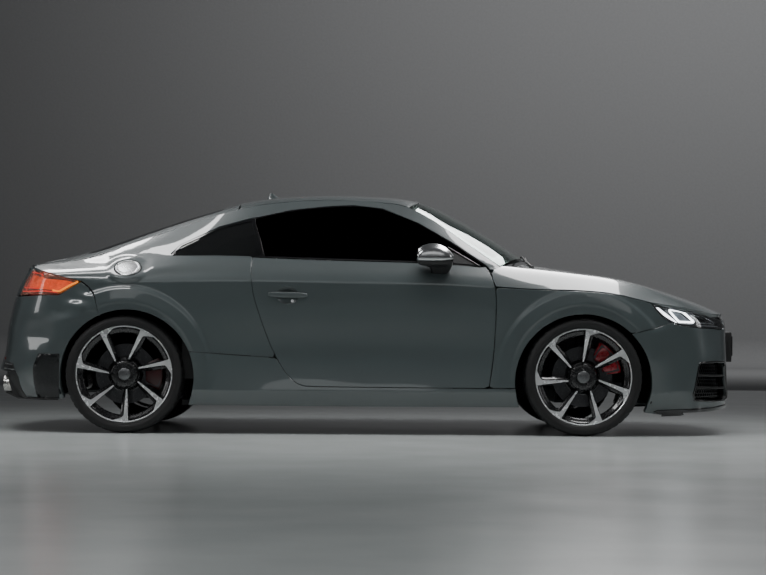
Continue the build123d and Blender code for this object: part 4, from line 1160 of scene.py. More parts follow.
# ---- front wings -------------------------------------------------------------
a_lo = math.degrees(math.atan2(258 - 290, -math.sqrt(373 ** 2 - 32 ** 2))) % 360
a_hi = math.degrees(math.atan2(566 - 290, math.sqrt(373 ** 2 - 276 ** 2)))
SEAM_F = [(1478, 563), (1585, 587), (1672, 614), (1690, 622), (1642, 652), (1612, 686), (1580, 724)]
wing_loop = [(x + 0, z) for x, z in DOOR_FRONT[1:] if z < 800] + waist(np.arange(738, 1560, 40)) + [(1580, 727)] + SEAM_F[::-1] \
    + arc(*ARCH_F, a_hi, a_lo, 46) + [(720, 257)]
wing_in = inset_loop(wing_loop, GAP)
fp = np.concatenate([creases, V(flare_pts(AXLE_F, -25, 205))])
wl, wr = panel("wing_left", side, wing_in, flip=-1, step=26, depth=9, extra_pts=fp, mirror="wing_right")
for o in (wl, wr):
    put(o, "body", "front_wings", slot="paint")

# ---- side panel: quarter, window pillar, roof rail, screen pillar -------------
q0 = math.degrees(math.asin(140 / 366))
q1 = math.degrees(math.atan2(640 - 308, -1428 + 1281))
rear_up = [p for p in DOOR_REAR[::-1] if p[1] > 425]
dlo_out = [(-1046, 975), (-1058, 985), (-1010, 1034), (-800, 1141), (-622, 1190)] + [(x, z + 7) for x, z in DLO_TOP] + [(668, 938), (686, 926)]
quarter_loop = [(-943, 448), (-700, 432), (-484, 419)] + rear_up + [(-620, 974)] + [(-800, 977)] + dlo_out \
    + [(700, 908), (744, 906), (768, 912)] + rail([745, 700, 640, 534, 460, 381, 320, 258, 180, 100, 0, -100, -199, -300, -394, -500, -600, -700, -797, -925, -1052, -1180, -1300, -1380, -1446, -1520, -1600, -1700, -1780, -1822]) \
    + [(-1826, 906), (-1740, 879), (-1640, 851), (-1542, 829), (-1532, 828), (-1496, 802), (-1462, 762), (-1446, 700), (-1428, 640)] + arc(*ARCH_R, q1, q0, 34)
quarter_in = inset_loop(quarter_loop, 2.2)
fuel = []
fp = np.concatenate([creases, V(flare_pts(AXLE_R, 0, 150))])
CAP_C, CAP_TILT = (-1284.0, 836.0, 903.0), math.radians(37)


def side_cap(x, z):
    """The side with a flat seat for the fuel filler's lid."""
    x = np.asarray(x, float); z = np.asarray(z, float)
    y = side_y(x, z)
    flat = CAP_C[1] - (z - CAP_C[2]) / math.tan(CAP_TILT)
    r = np.hypot(x - CAP_C[0], (z - CAP_C[2]) / math.sin(CAP_TILT))
    w = 1 - smooth((r - 80) / 62)
    return np.stack([x, y * (1 - w) + flat * w, z], -1)


ql = panel("side_panel_left", side, quarter_in, flip=-1, step=26, depth=24, extra_pts=fp, mats=("paint", "headliner"), inner_mat=1)
cap_hole = [(CAP_C[0] + 75.5 * math.cos(t), CAP_C[2] + 75.5 * math.sin(CAP_TILT) * math.sin(t)) for t in np.linspace(0, 2 * math.pi, 49)[:-1]]
cap_extra = [(CAP_C[0] + r * math.cos(t), CAP_C[2] + r * math.sin(CAP_TILT) * math.sin(t)) for r in (84, 94, 105, 117, 130, 143) for t in np.linspace(0, 2 * math.pi, 41)[:-1]]
fp2 = fp[~near_pts(V(cap_extra), fp, 9)]
tmp, qr = panel("side_panel_tmp", side_cap, quarter_in, [cap_hole], flip=-1, step=26, edge=10, depth=24, extra_pts=np.concatenate([fp2, cap_extra]), mats=("paint", "headliner"), inner_mat=1, mirror="side_panel_right")
tmp_me = tmp.data
bpy.data.objects.remove(tmp)
bpy.data.meshes.remove(tmp_me)
for o in (ql, qr):
    put(o, "body", "body_sides", slot="paint")

# ---- sills ---------------------------------------------------------------------
s_lo = math.degrees(math.asin((154 - 308) / 366))
f_lo = math.degrees(math.atan2(152 - 290, -math.sqrt(373 ** 2 - 138 ** 2))) % 360
rear_dn = [p for p in DOOR_REAR if p[1] < 415]
sill_loop = arc(*ARCH_R, s_lo, q0 - 0.3, 16) + [(-700, 430), (-486, 416)] + rear_dn + [(-200, 260), (100, 258), (400, 257), (672, 256), (720, 256)] \
    + arc(*ARCH_F, a_lo + 0.4, f_lo, 8) + [(600, 152), (0, 150), (-600, 152)]
sill_in = inset_loop(sill_loop, 2.4)
sill_cr = np.concatenate([col(SIDE, 0, 1, np.arange(-1000, 860, 13)) + V([0, d]) for d in (-7, 0, 7)])
sl, sr = panel("sill_left", side, sill_in, flip=-1, step=24, depth=26, extra_pts=sill_cr, mirror="sill_right")
for o in (sl, sr):
    put(o, "body", "body_sides", slot="paint")


# ---- top panels ------------------------------------------------------------------
def sym(half):
    """A closed outline from its y > 0 half, given from the middle to the middle."""
    return list(half) + [(x, -y) for x, y in half[::-1] if abs(y) > 0.5]


def edge_of(table, xs, i=0, dy=0.0):
    a = table(V(xs, float))
    return [(float(x), float(a[k, i]) + dy) for k, x in enumerate(xs)]


roof_half = [(338, 0), (334, 160), (322, 300), (296, 470), (266, 590)] + edge_of(ROOF, [258, 180, 100, 0, -100, -199, -300, -394, -500, -600, -690]) + [(-694, 400), (-694, 200), (-694, 0)]
roof = panel("roof_skin", roof_f, inset_loop(sym(roof_half), 2.6), step=34, depth=18)
put(roof, "body", "roof_panel", slot="paint")

bon_half = [(944, 0), (938, 110), (930, 200), (910, 330), (884, 450), (852, 580), (815, 690), (775, 772), (752, 806), (722, 826), (708, 850), (714, 870)] \
    + edge_of(BONNET, [729, 780, 860, 935, 1010, 1110, 1210, 1300, 1400, 1500, 1580, 1660, 1740, 1795, 1880, 1935]) \
    + [(1962, 668), (1996, 590), (2020, 500), (2038, 400), (2047, 280), (2053, 140), (2055, 0)]
bon_extra = np.concatenate([[(x, s * float(BONNET(V([x]))[0, i]) + d) for x in np.arange(740, 1960, 18) for d in (-8, 0, 8)] for s in (1, -1) for i in (2,)])
bonnet = panel("bonnet_skin", bonnet_f, inset_loop(sym(bon_half), 3.0), step=28, edge=13, depth=20, extra_pts=bon_extra)
put(bonnet, "bonnet", "bonnet", slot="paint")

gate_half = [(-700, 0), (-700, 300), (-700, 545)] + edge_of(GATE, [-720, -800, -900, -1030, -1150, -1300, -1446, -1520, -1600, -1680, -1750, -1800], 0, -1) \
    + [(-1822, 602), (-1848, 540), (-1870, 450), (-1884, 370), (-1892, 300), (-1899, 150), (-1902, 0)]
win_half = [(-786, 0), (-787, 200), (-792, 400), (-800, 446), (-1000, 460), (-1180, 474), (-1400, 500), (-1500, 512), (-1528, 506), (-1548, 470), (-1570, 300), (-1578, 150), (-1582, 0)]
pocket_half = [(-1672, 0), (-1672, 446), (-1678, 454), (-1796, 454), (-1802, 446), (-1804, 0)]
gate = panel("tailgate_skin", gate_f, inset_loop(sym(gate_half), 2.6), [sym(win_half), sym(pocket_half)], step=28, depth=18)
put(gate, "tailgate", "tailgate", slot="paint")

# ---- front bumper -----------------------------------------------------------------
def circ_x(c, a0, a1, n):
    return [("x", x, z) for x, z in arc(*c, a0, a1, n)]


b_hi = math.degrees(math.atan2(560 - 290, math.sqrt(373 ** 2 - 270 ** 2)))
b_lo = math.degrees(math.atan2(128 - 290, math.sqrt(373 ** 2 - 162 ** 2)))
LAMP_F = [(1586, 716), (1690, 708), (1794, 692), (1900, 669), (2008, 640), (2026, 600), (2022, 588), (1870, 596), (1724, 610), (1686, 630), (1648, 652), (1614, 684)]
nose_half = NOSE_F.path(
    [("y", 0, 667), ("y", 150, 666), ("y", 300, 662), ("y", 400, 658), ("y", 480, 653), ("y", 540, 648), ("x", 2010, 642), ("x", 2029, 602),
     ("x", 2025, 585), ("x", 1870, 593), ("x", 1724, 607), ("x", 1690, 622), ("x", 1585, 587), ("x", 1478, 563)]
    + circ_x(ARCH_F, b_hi, b_lo, 26)
    + [("x", 1640, 116), ("x", 1760, 124), ("y", 800, 134), ("y", 700, 147), ("y", 600, 156), ("y", 450, 162), ("y", 250, 164), ("y", 0, 164)])
grille_half = NOSE_F.path([("y", 0, 592), ("y", 200, 590), ("y", 395, 584), ("y", 432, 566), ("y", 446, 536), ("y", 404, 380), ("y", 360, 238), ("y", 336, 214), ("y", 200, 206), ("y", 0, 204)])
intake = NOSE_F.path([("y", 512, 388), ("y", 560, 412), ("y", 700, 414), ("x", 1868, 410), ("x", 1848, 398), ("x", 1814, 226), ("x", 1822, 192), ("y", 700, 186), ("y", 540, 186), ("y", 470, 194), ("y", 462, 214)])
intake_r = [(-u, v) for u, v in intake[::-1]]
nose_in = inset_loop(sym_u(nose_half), 2.6)
nose_x = []
for s_ in (1, -1):
    for r in (380, 392, 404, 416, 436, 456, 466, 476, 488, 500):
        pts = [(x, z) for x, z in ring_pts(AXLE_F, WHEEL_Z, r, -24, 46, 17)]
        uu = NOSE_F.find("x", [p[0] for p in pts], [p[1] for p in pts])
        nose_x += [(s_ * u, p[1]) for u, p in zip(uu, pts)]
bumper_f = panel("bumper_front_skin", NOSE_F, nose_in, [sym_u(grille_half), intake, intake_r], flip=1, step=27, edge=12, depth=22, extra_pts=nose_x)
put(bumper_f, "body", "front_bumper", slot="paint")

put(duct("grille_duct", NOSE_F, inset_loop(sym_u(grille_half), -1), 70, mats=("black_trim",), start=18), "body", "front_bumper", slot="black_trim")
g_in = inset_loop(sym_u(grille_half), 3)
put(honeycomb("grille_mesh", NOSE_F, g_in, 27, 4.2, 12, lift=-26), "body", "front_grille", slot="gloss_black")
put(strip("grille_frame", NOSE_F, inset_loop(sym_u(grille_half), 6), 13, 9, lift=-10, mats=("gloss_black",), closed=True), "body", "front_grille", slot="gloss_black")
for z_ in (300, 352):
    hw = float(np.interp(z_, (214, 566), (330, 425)))
    put(strip(f"grille_bar_{z_}", NOSE_F, NOSE_F.path([("y", 0, z_)])[:0] + [(-NOSE_F.find("y", hw, z_)[0], z_), (NOSE_F.find("y", hw, z_)[0], z_)], 12, 12, lift=-24, mats=("gloss_black",)), "body", "front_grille", slot="gloss_black")

for tag, lp, s_ in (("left", intake, 1), ("right", intake_r, -1)):
    put(duct(f"intake_duct_{tag}", NOSE_F, inset_loop(lp, -1), 62, mats=("black_trim",), start=16), "body", "side_intakes", slot="gloss_black")
    put(honeycomb(f"intake_mesh_{tag}", NOSE_F, inset_loop(lp, 2), 22, 4, 10, lift=-42), "body", "side_intakes", slot="gloss_black")
    put(strip(f"intake_frame_{tag}", NOSE_F, inset_loop(lp, 5), 11, 10, lift=-8, mats=("gloss_black",), closed=True), "body", "side_intakes", slot="gloss_black")
    for k, (z_, lo_, hi_) in enumerate(((262, 1834, 505), (330, 1842, 512))):
        uo = NOSE_F.find("x", lo_, z_)[0] - 4; ui = NOSE_F.find("y", hi_, z_)[0] - 10
        put(strip(f"intake_blade_{tag}_{k}", NOSE_F, [(s_ * ui, z_), (s_ * uo, z_ + 4)], 13, 22, lift=-38, mats=("black_trim",)), "body", "side_intakes", slot="gloss_black")

# front lip
lip = NOSE_F.path([("x", 1650, 117), ("x", 1760, 124), ("y", 800, 134), ("y", 700, 147), ("y", 600, 156), ("y", 450, 162), ("y", 250, 164), ("y", 0, 164)])
lip_path = lip + [(-u, v) for u, v in lip[::-1][1:]]
put(strip("front_lip", NOSE_F, lip_path, 22, 7, lift=-2, mats=("gloss_black",)), "body", "front_bumper", slot="black_trim")

# ---- number plate holder and plate, blank
def box(name, c, size, r=3, mats=("plate",), rot=None, segs=2):
    bm = bmesh.new()
    bmesh.ops.create_cube(bm, size=1)
    for v in bm.verts:
        v.co = Vector((v.co.x * size[0], v.co.y * size[1], v.co.z * size[2])) / 1000
    me = bpy.data.meshes.new(name)
    bm.to_mesh(me); bm.free()
    for m in mats:
        me.materials.append(MAT[m])
    o = bpy.data.objects.new(name, me)
    bpy.context.scene.collection.objects.link(o)
    bevel(o, r, segs)
    M = (rot or Matrix.Identity(4))
    M = Matrix.Translation(Vector(c) / 1000) @ M
    me.transform(M)
    return o


put(join("plate_front", [box("a", (2094, 0, 490), (44, 514, 168), 9, ("black_trim",)), box("b", (2118, 0, 494), (7, 506, 112), 2.6, ("plate",)),
                         box("c", (2098, 0, 410), (46, 430, 14), 5, ("black_trim",))]), "body", "number_plates", slot="plate")
put(join("plate_rear", [box("a", (-2031, 0, 486), (6, 520, 118), 2.5, ("black_trim",)), box("b", (-2036, 0, 486), (5, 510, 108), 2, ("plate",))]), "body", "number_plates", slot="plate")

# ---- rear bumper ---------------------------------------------------------------------
LAMP_R = [(-1560, 822), (-1610, 790), (-1660, 757)]
tb_lo = math.degrees(math.atan2(186 - 308, -math.sqrt(366 ** 2 - 122 ** 2))) % 360
tail_half = TAIL_F.path(
    [("y", 0, 744), ("y", 300, 745), ("y", 606, 746), ("x", -1840, 748), ("x", -1740, 750), ("x", -1660, 751), ("x", -1600, 787), ("x", -1537, 823), ("x", -1499, 797), ("x", -1465, 757), ("x", -1446, 698), ("x", -1430, 640)]
    + circ_x(ARCH_R, q1, tb_lo, 26)
    + [("x", -1660, 178), ("x", -1750, 176), ("y", 780, 178), ("y", 700, 182), ("y", 660, 200), ("y", 650, 300), ("y", 632, 326), ("y", 400, 334), ("y", 200, 337), ("y", 0, 338)])
vent = TAIL_F.path([("x", -1650, 414), ("x", -1800, 418), ("x", -1846, 380), ("x", -1850, 214), ("x", -1812, 200), ("x", -1664, 206), ("x", -1652, 226)])
vent_r = [(-u, v) for u, v in vent[::-1]]
plate_rec = round_loop(sym_u(TAIL_F.path([("y", 0, 549), ("y", 150, 549), ("y", 264, 549), ("y", 264, 423), ("y", 150, 423), ("y", 0, 423)])), 6)
tail_in = inset_loop(sym_u(tail_half), 2.6)
tail_x = []
for s_ in (1, -1):
    for r in (380, 392, 404, 416, 436, 456, 466, 476, 488, 500):
        pts = [(x, z) for x, z in ring_pts(AXLE_R, WHEEL_Z, r, 113, 200, 17) if x > -1796]
        uu = TAIL_F.find("x", [p[0] for p in pts], [p[1] for p in pts])
        tail_x += [(s_ * u, p[1]) for u, p in zip(uu, pts)]
bumper_r = panel("bumper_rear_skin", TAIL_F, tail_in, [plate_rec], flip=-1, step=27, edge=12, depth=22, extra_pts=tail_x)
put(bumper_r, "body", "rear_bumper", slot="paint")
put(duct("plate_recess", TAIL_F, inset_loop(plate_rec, -1), 36, flip=-1, mats=("black_trim",), start=6, shrink=0.01), "body", "rear_bumper", slot="paint")
# dark patch laid over the bumper corner behind the rear wheel: painted dark reflection of a dark object on the
# body-coloured bumper
corner = round_loop(TAIL_F.path([("x", -1650, 429), ("x", -1771, 429), ("x", -1801, 360), ("x", -1798, 272), ("x", -1782, 190), ("x", -1656, 186)]), [4, 6, 20, 20, 6, 4], 4)
flank = round_loop(TAIL_F.path([("y", 560, 383), ("y", 655, 381), ("y", 700, 372), ("x", -1896, 300), ("x", -1876, 226), ("x", -1846, 184), ("y", 740, 181), ("y", 700, 184), ("y", 664, 202), ("y", 656, 300), ("y", 636, 330), ("y", 560, 338)]), [3, 6, 10, 14, 10, 4, 4, 4, 6, 6, 6, 3], 3)
for tag, s_ in (("left", 1), ("right", -1)):
    lp = corner if s_ > 0 else [(-u, v) for u, v in corner[::-1]]
    cover_ = panel("rear_corner_painted_reflection_left", TAIL_F, lp, flip=-1, step=26, edge=11, hem=2.0, depth=6, lift=2.4, mats=("corner_painted_dark_reflection",)) if s_ > 0 else mirrored(cover_, "rear_corner_painted_reflection_right")
    put(cover_, "body", "rear_bumper", slot="black_trim")
    lp = flank if s_ > 0 else [(-u, v) for u, v in flank[::-1]]
    put(panel(f"rear_flank_trim_{tag}", TAIL_F, lp, flip=-1, step=26, edge=11, hem=2.0, depth=6, lift=2.2, mats=("black_trim",)), "body", "rear_bumper", slot="black_trim")
    for k in range(4):
        z_ = 372 - 13 * k
        uo = TAIL_F.find("y", 696 + 9 * k, z_ - 6)[0]; ui = TAIL_F.find("y", 590, z_)[0]
        put(strip(f"rear_slat_{tag}_{k}", TAIL_F, [(s_ * ui, z_), (s_ * uo, z_ - 5)], 4.5, 5, lift=2.0, flip=-1, mats=("gloss_black",) if k % 2 else ("satin_metal",)), "body", "rear_bumper", slot="black_trim")
    eb = TAIL_F.path([("x", -1662, 183), ("x", -1750, 182), ("y", 780, 183), ("y", 720, 185)])
    put(strip(f"rear_lower_edge_{tag}", TAIL_F, [(s_ * u, v) for u, v in eb], 11, 6, lift=1.0, flip=-1, mats=("black_trim",)), "body", "rear_bumper", slot="black_trim")

# ---- upright panel between the rear lamps, with the tailgate ---------------------------
up_half = TAIL_F.path([("y", 0, 906), ("y", 300, 905), ("y", 450, 904), ("y", 606, 902), ("y", 608, 830), ("y", 610, 754), ("y", 450, 751), ("y", 300, 750), ("y", 0, 750)])
put(panel("tailgate_rear_panel", TAIL_F, inset_loop(sym_u(up_half), 2.4), flip=-1, step=27, depth=18), "tailgate", "tailgate", slot="paint")

# ---- rear lamps --------------------------------------------------------------------------
lamp_r = TAIL_F.path([("y", 612, 902), ("x", -1826, 903), ("x", -1740, 876), ("x", -1640, 848), ("x", -1541, 826), ("x", -1600, 790), ("x", -1658, 757), ("x", -1740, 755), ("x", -1830, 754), ("y", 616, 753), ("y", 614, 830)])


def lens(name, F, loop, flip, mats, lift, depth, **k):
    return panel(name, F, inset_loop(loop, 2.0), flip=flip, step=24, edge=9, hem=1.4, depth=depth, lift=lift, mats=mats, **k)


def flipu(lp):
    return [(-u, v) for u, v in lp[::-1]]


for tag, s_ in (("left", 1), ("right", -1)):
    lp = lamp_r if s_ > 0 else flipu(lamp_r)
    put(lens(f"tail_lens_{tag}", TAIL_F, lp, -1, ("red_lens",), 0, 3.5), "body", "tail_lamps", slot="tail_lens")
    put(lens(f"tail_housing_{tag}", TAIL_F, lp, -1, ("lamp_red_dark",), -34, 20), "body", "tail_lamps", slot="tail_lens")

    def q(spec):
        r = TAIL_F.path(spec)
        return r if s_ > 0 else flipu(r)
    amber = q([("x", -1846, 868), ("x", -1772, 858), ("x", -1664, 832), ("x", -1580, 818), ("x", -1662, 776), ("x", -1700, 782), ("x", -1868, 806)])
    put(panel(f"tail_amber_{tag}", TAIL_F, round_loop(amber, 6), flip=-1, step=22, edge=9, depth=5, lift=-18, mats=("light_amber",)), "body", "tail_lamps", slot="tail_lens")
    inner = q([("y", 640, 876), ("x", -1872, 872), ("x", -1894, 792), ("y", 634, 788)])
    put(panel(f"tail_red_field_{tag}", TAIL_F, round_loop(inner, 6), flip=-1, step=22, edge=9, depth=5, lift=-18, mats=("light_red_dim",)), "body", "tail_lamps", slot="tail_lens")
    for k, (w_, lf, sp_) in enumerate(((6, -12, [("y", 632, 776), ("x", -1898, 776), ("x", -1740, 774), ("x", -1672, 768)]),
                                       (5, -12, [("y", 640, 884), ("x", -1846, 882), ("x", -1760, 864)]),
                                       (5, -13, [("x", -1880, 858), ("x", -1896, 800), ("x", -1790, 790)]))):
        put(strip(f"tail_guide_{tag}_{k}", TAIL_F, q(sp_) if s_ > 0 else q(sp_)[::-1], w_, 5, lift=lf, flip=-1, mats=("light_red",)), "body", "tail_lamps", slot="tail_lens")
    chev = q([("x", -1700, 778), ("x", -1662, 772), ("x", -1588, 812), ("x", -1556, 824)])
    put(strip(f"tail_chevron_{tag}", TAIL_F, chev if s_ > 0 else chev[::-1], 9, 6, lift=-13, flip=-1, mats=("light_yellow",)), "body", "tail_lamps", slot="tail_lens")

# ---- headlamps ------------------------------------------------------------------------------
lamp_f = NOSE_F.path([("x", x, z) for x, z in LAMP_F])
for tag, s_ in (("left", 1), ("right", -1)):
    lp = lamp_f if s_ > 0 else flipu(lamp_f)
    put(lens(f"head_lens_{tag}", NOSE_F, lp, 1, ("glass_lens",), 0, 3.0), "body", "headlamps", slot="head_lens")
    put(lens(f"head_housing_{tag}", NOSE_F, lp, 1, ("lamp_dark",), -46, 22), "body", "headlamps", slot="head_lens")

    def q(pts):
        r = NOSE_F.path([("x", x, z) for x, z in pts])
        return r if s_ > 0 else flipu(r)
    put(strip(f"head_guide_a_{tag}", NOSE_F, q([(1612, 704), (1668, 664), (1722, 622)]), 15, 8, lift=-20, mats=("light_white",)), "body", "headlamps", slot="head_lens")
    put(strip(f"head_guide_b_{tag}", NOSE_F, round_loop(q([(1682, 698), (1768, 690), (1836, 628), (1742, 630)]), 8), 9, 8, lift=-22, mats=("light_white",), closed=True), "body", "headlamps", slot="head_lens")
    put(strip(f"head_guide_c_{tag}", NOSE_F, q([(1742, 616), (1850, 608), (1985, 602)]), 8, 8, lift=-18, mats=("light_soft",)), "body", "headlamps", slot="head_lens")
    put(panel(f"head_cell_{tag}", NOSE_F, round_loop(q([(1702, 688), (1756, 683), (1814, 636), (1756, 638)]), 5), step=22, edge=8, depth=12, lift=-30, mats=("light_soft",)), "body", "headlamps", slot="head_lens")
    put(strip(f"head_ring_d_{tag}", NOSE_F, round_loop(q([(1812, 680), (1906, 662), (1982, 622), (1866, 628)]), 8), 7, 8, lift=-26, mats=("chrome",), closed=True), "body", "headlamps", slot="head_lens")
    put(panel(f"head_cell2_{tag}", NOSE_F, round_loop(q([(1832, 672), (1896, 658), (1954, 628), (1876, 634)]), 5), step=22, edge=8, depth=12, lift=-32, mats=("gloss_black",)), "body", "headlamps", slot="head_lens")
    put(strip(f"head_rim_{tag}", NOSE_F, inset_loop(lp, 7), 8, 30, lift=-36, mats=("lamp_dark",), closed=True), "body", "headlamps", slot="head_lens")

# ---- glass -------------------------------------------------------------------------------------
scr_half = [(345, 0), (341, 160), (329, 300), (304, 470), (274, 584), (268, 626), (300, 648), (381, 665), (534, 713), (700, 770), (758, 788), (792, 712), (826, 620), (868, 480), (902, 330), (922, 200), (932, 100), (935, 0)]
scr = sym(scr_half)
put(panel("windscreen_glass", screen_f, inset_loop(scr, 2), step=34, edge=14, hem=1.0, depth=5, lift=-2, mats=("glass_screen",)), "body", "windscreen", slot="screen_glass")
scr_hole = sym([(372, 0), (368, 160), (356, 300), (330, 450), (312, 560), (316, 592), (390, 622), (534, 664), (700, 716), (728, 712), (762, 620), (806, 480), (838, 330), (858, 200), (868, 100), (870, 0)])
put(panel("windscreen_border", screen_f, inset_loop(scr, 4), [scr_hole], step=34, edge=14, hem=0.8, depth=3, lift=-8.5, mats=("frit",)), "body", "windscreen", slot="screen_glass")

put(panel("rear_window_glass", gate_f, inset_loop(sym(win_half), 5), step=34, edge=14, hem=1.0, depth=5, lift=-2, mats=("glass_dark",)), "tailgate", "rear_window", slot="dark_glass")
win_hole = inset_loop(sym(win_half), 46)
put(panel("rear_window_border", gate_f, inset_loop(sym(win_half), 1), [win_hole], step=34, edge=14, hem=0.8, depth=4, lift=-8.5, mats=("frit",)), "tailgate", "rear_window", slot="dark_glass")

DG = [(-532, 972), (-593, 1168), (-595, 1185)] + curve2(DLO_TOP, 40)[1:] + [(600, 980), (668, 928), (600, 934), (400, 941), (110, 953), (-200, 961)]
gl, gr = panel("side_glass_left", side, inset_loop(DG, 1.0), flip=-1, step=34, edge=14, hem=0.8, depth=4, lift=-6, mats=("glass_dark",), mirror="side_glass_right")
put(gl, "door_left", "door_glass_left", slot="dark_glass")
put(gr, "door_right", "door_glass_right", slot="dark_glass")
QG = round_loop([(-1040, 980), (-800, 982), (-562, 978), (-621, 1174), (-797, 1130), (-1004, 1030)], [16, 0, 6, 10, 60, 24], 5)
gl, gr = panel("quarter_glass_left", side, QG, flip=-1, step=34, edge=14, hem=0.8, depth=4, lift=-6, mats=("glass_dark",), mirror="quarter_glass_right")
for o in (gl, gr):
    put(o, "body", "quarter_windows", slot="dark_glass")
top_out = [(x, z + 6.4) for x, z in curve2(DLO_TOP, 40)]
top_in = [(x, z + 1.8) for x, z in curve2(DLO_TOP, 40)]
frame_loop = [(-1054, 978), (-1016, 1032), (-802, 1137), (-622, 1186)] + top_out + [(640, 962), (682, 931), (672, 930), (634, 956)] + top_in[::-1] \
    + [(-600, 1186), (-598, 1168), (-538, 972), (-600, 974), (-800, 979)]
fl_, fr_ = panel("window_frame_left", side, frame_loop, [inset_loop(QG, -2.0)], flip=-1, step=34, edge=12, hem=0.6, depth=10, lift=-1.5, mats=("gloss_black",), mirror="window_frame_right")
for o in (fl_, fr_):
    put(o, "body", "body_sides", slot="paint")
sail = round_loop([(500, 1002), (566, 966), (626, 930), (622, 924), (500, 930)], [2, 0, 4, 2, 2], 3)
for o, door_ in zip(panel("mirror_sail_left", side, sail, flip=-1, step=24, edge=10, hem=1.4, depth=5, lift=-2.2, mats=("dark_plastic",), mirror="mirror_sail_right"), ("left", "right")):
    put(o, f"door_{door_}", f"door_{door_}", slot="paint")
sr1 = strip("sail_rib_left", side, [(470, 1030), (566, 972), (640, 928)], 7, 3, lift=-1.2, flip=-1, mats=("gloss_black",))
put(mirrored(sr1, "sail_rib_right"), "door_right", "door_right", slot="paint")
put(sr1, "door_left", "door_left", slot="paint")
bl_path = [(x, z + 5) for x, z in belt(np.arange(-590, 660, 40))]
bs = strip("belt_strip_left", side, bl_path, 9, 6, lift=-5, flip=-1, mats=("gloss_black",))
put(mirrored(bs, "belt_strip_right"), "door_right", "door_right", slot="paint")
put(bs, "door_left", "door_left", slot="paint")

# =====================================================================
# Wheels, tyres, discs and calipers
# =====================================================================
def revolve(name, prof, at, s, n=96, mats=("tyre",), rows_mat=None, radial=None, sharp=30, a0=0.0, a1=360.0):
    """A turned piece. prof is (r, outward distance from the wheel's middle plane); the axis runs along Y."""
    x0, y0, z0 = at
    full = abs(a1 - a0) > 359.9
    m = n if full else n + 1
    ang = np.radians(np.linspace(a0, a1, n + 1))[:m]
    verts = []
    for j, t in enumerate(ang):
        for k, (r, d) in enumerate(prof):
            rr, dd = (radial(k, j, r, d) if radial else (r, d))
            verts.append((x0 + rr * math.cos(t), y0 + s * dd, z0 + rr * math.sin(t)))
    K = len(prof)
    faces, fm = [], []
    for j in range(n if full else n):
        a, b = j * K, ((j + 1) % m) * K
        for k in range(K - 1):
            if prof[k][0] < 1e-6 and prof[k + 1][0] < 1e-6:
                continue
            if prof[k][0] < 1e-6:
                faces.append((a + k, a + k + 1, b + k + 1))
            elif prof[k + 1][0] < 1e-6:
                faces.append((a + k, a + k + 1, b + k))
            else:
                faces.append((a + k, a + k + 1, b + k + 1, b + k))
            fm.append(rows_mat[k] if rows_mat else 0)
    o = obj_from(name, verts, faces, None, mats, fm)
    fix_normals_keep(o)
    sharpen(o, sharp)
    return o


def fix_normals_keep(o):
    bm = bmesh.new(); bm.from_mesh(o.data)
    bmesh.ops.remove_doubles(bm, verts=bm.verts, dist=2e-6)
    bmesh.ops.recalc_face_normals(bm, faces=bm.faces)
    bm.to_mesh(o.data); bm.free()


def spoke_rows():
    """r, bright edge (ccw side), bright edge (cw side), extra depth of the dark flank."""
    return [(70, 14.5, 10.5), (84, 15.5, 9.5), (90, 16.5, 8.0), (120, 17.2, 5.0), (150, 17.7, 2.4), (180, 18.2, -0.2),
            (205, 18.8, -2.6), (222, 19.2, -4.6), (229, 19.4, -7.0), (236, 19.6, -17.0), (243, 19.9, -31.0), (250, 20.4, -46.0), (255, 21.0, -57.0), (258.5, 21.5, -66.0)]


def face_depth(r):
    return 95.5 + 12.5 * float(smooth((r - 88) / 175.0))


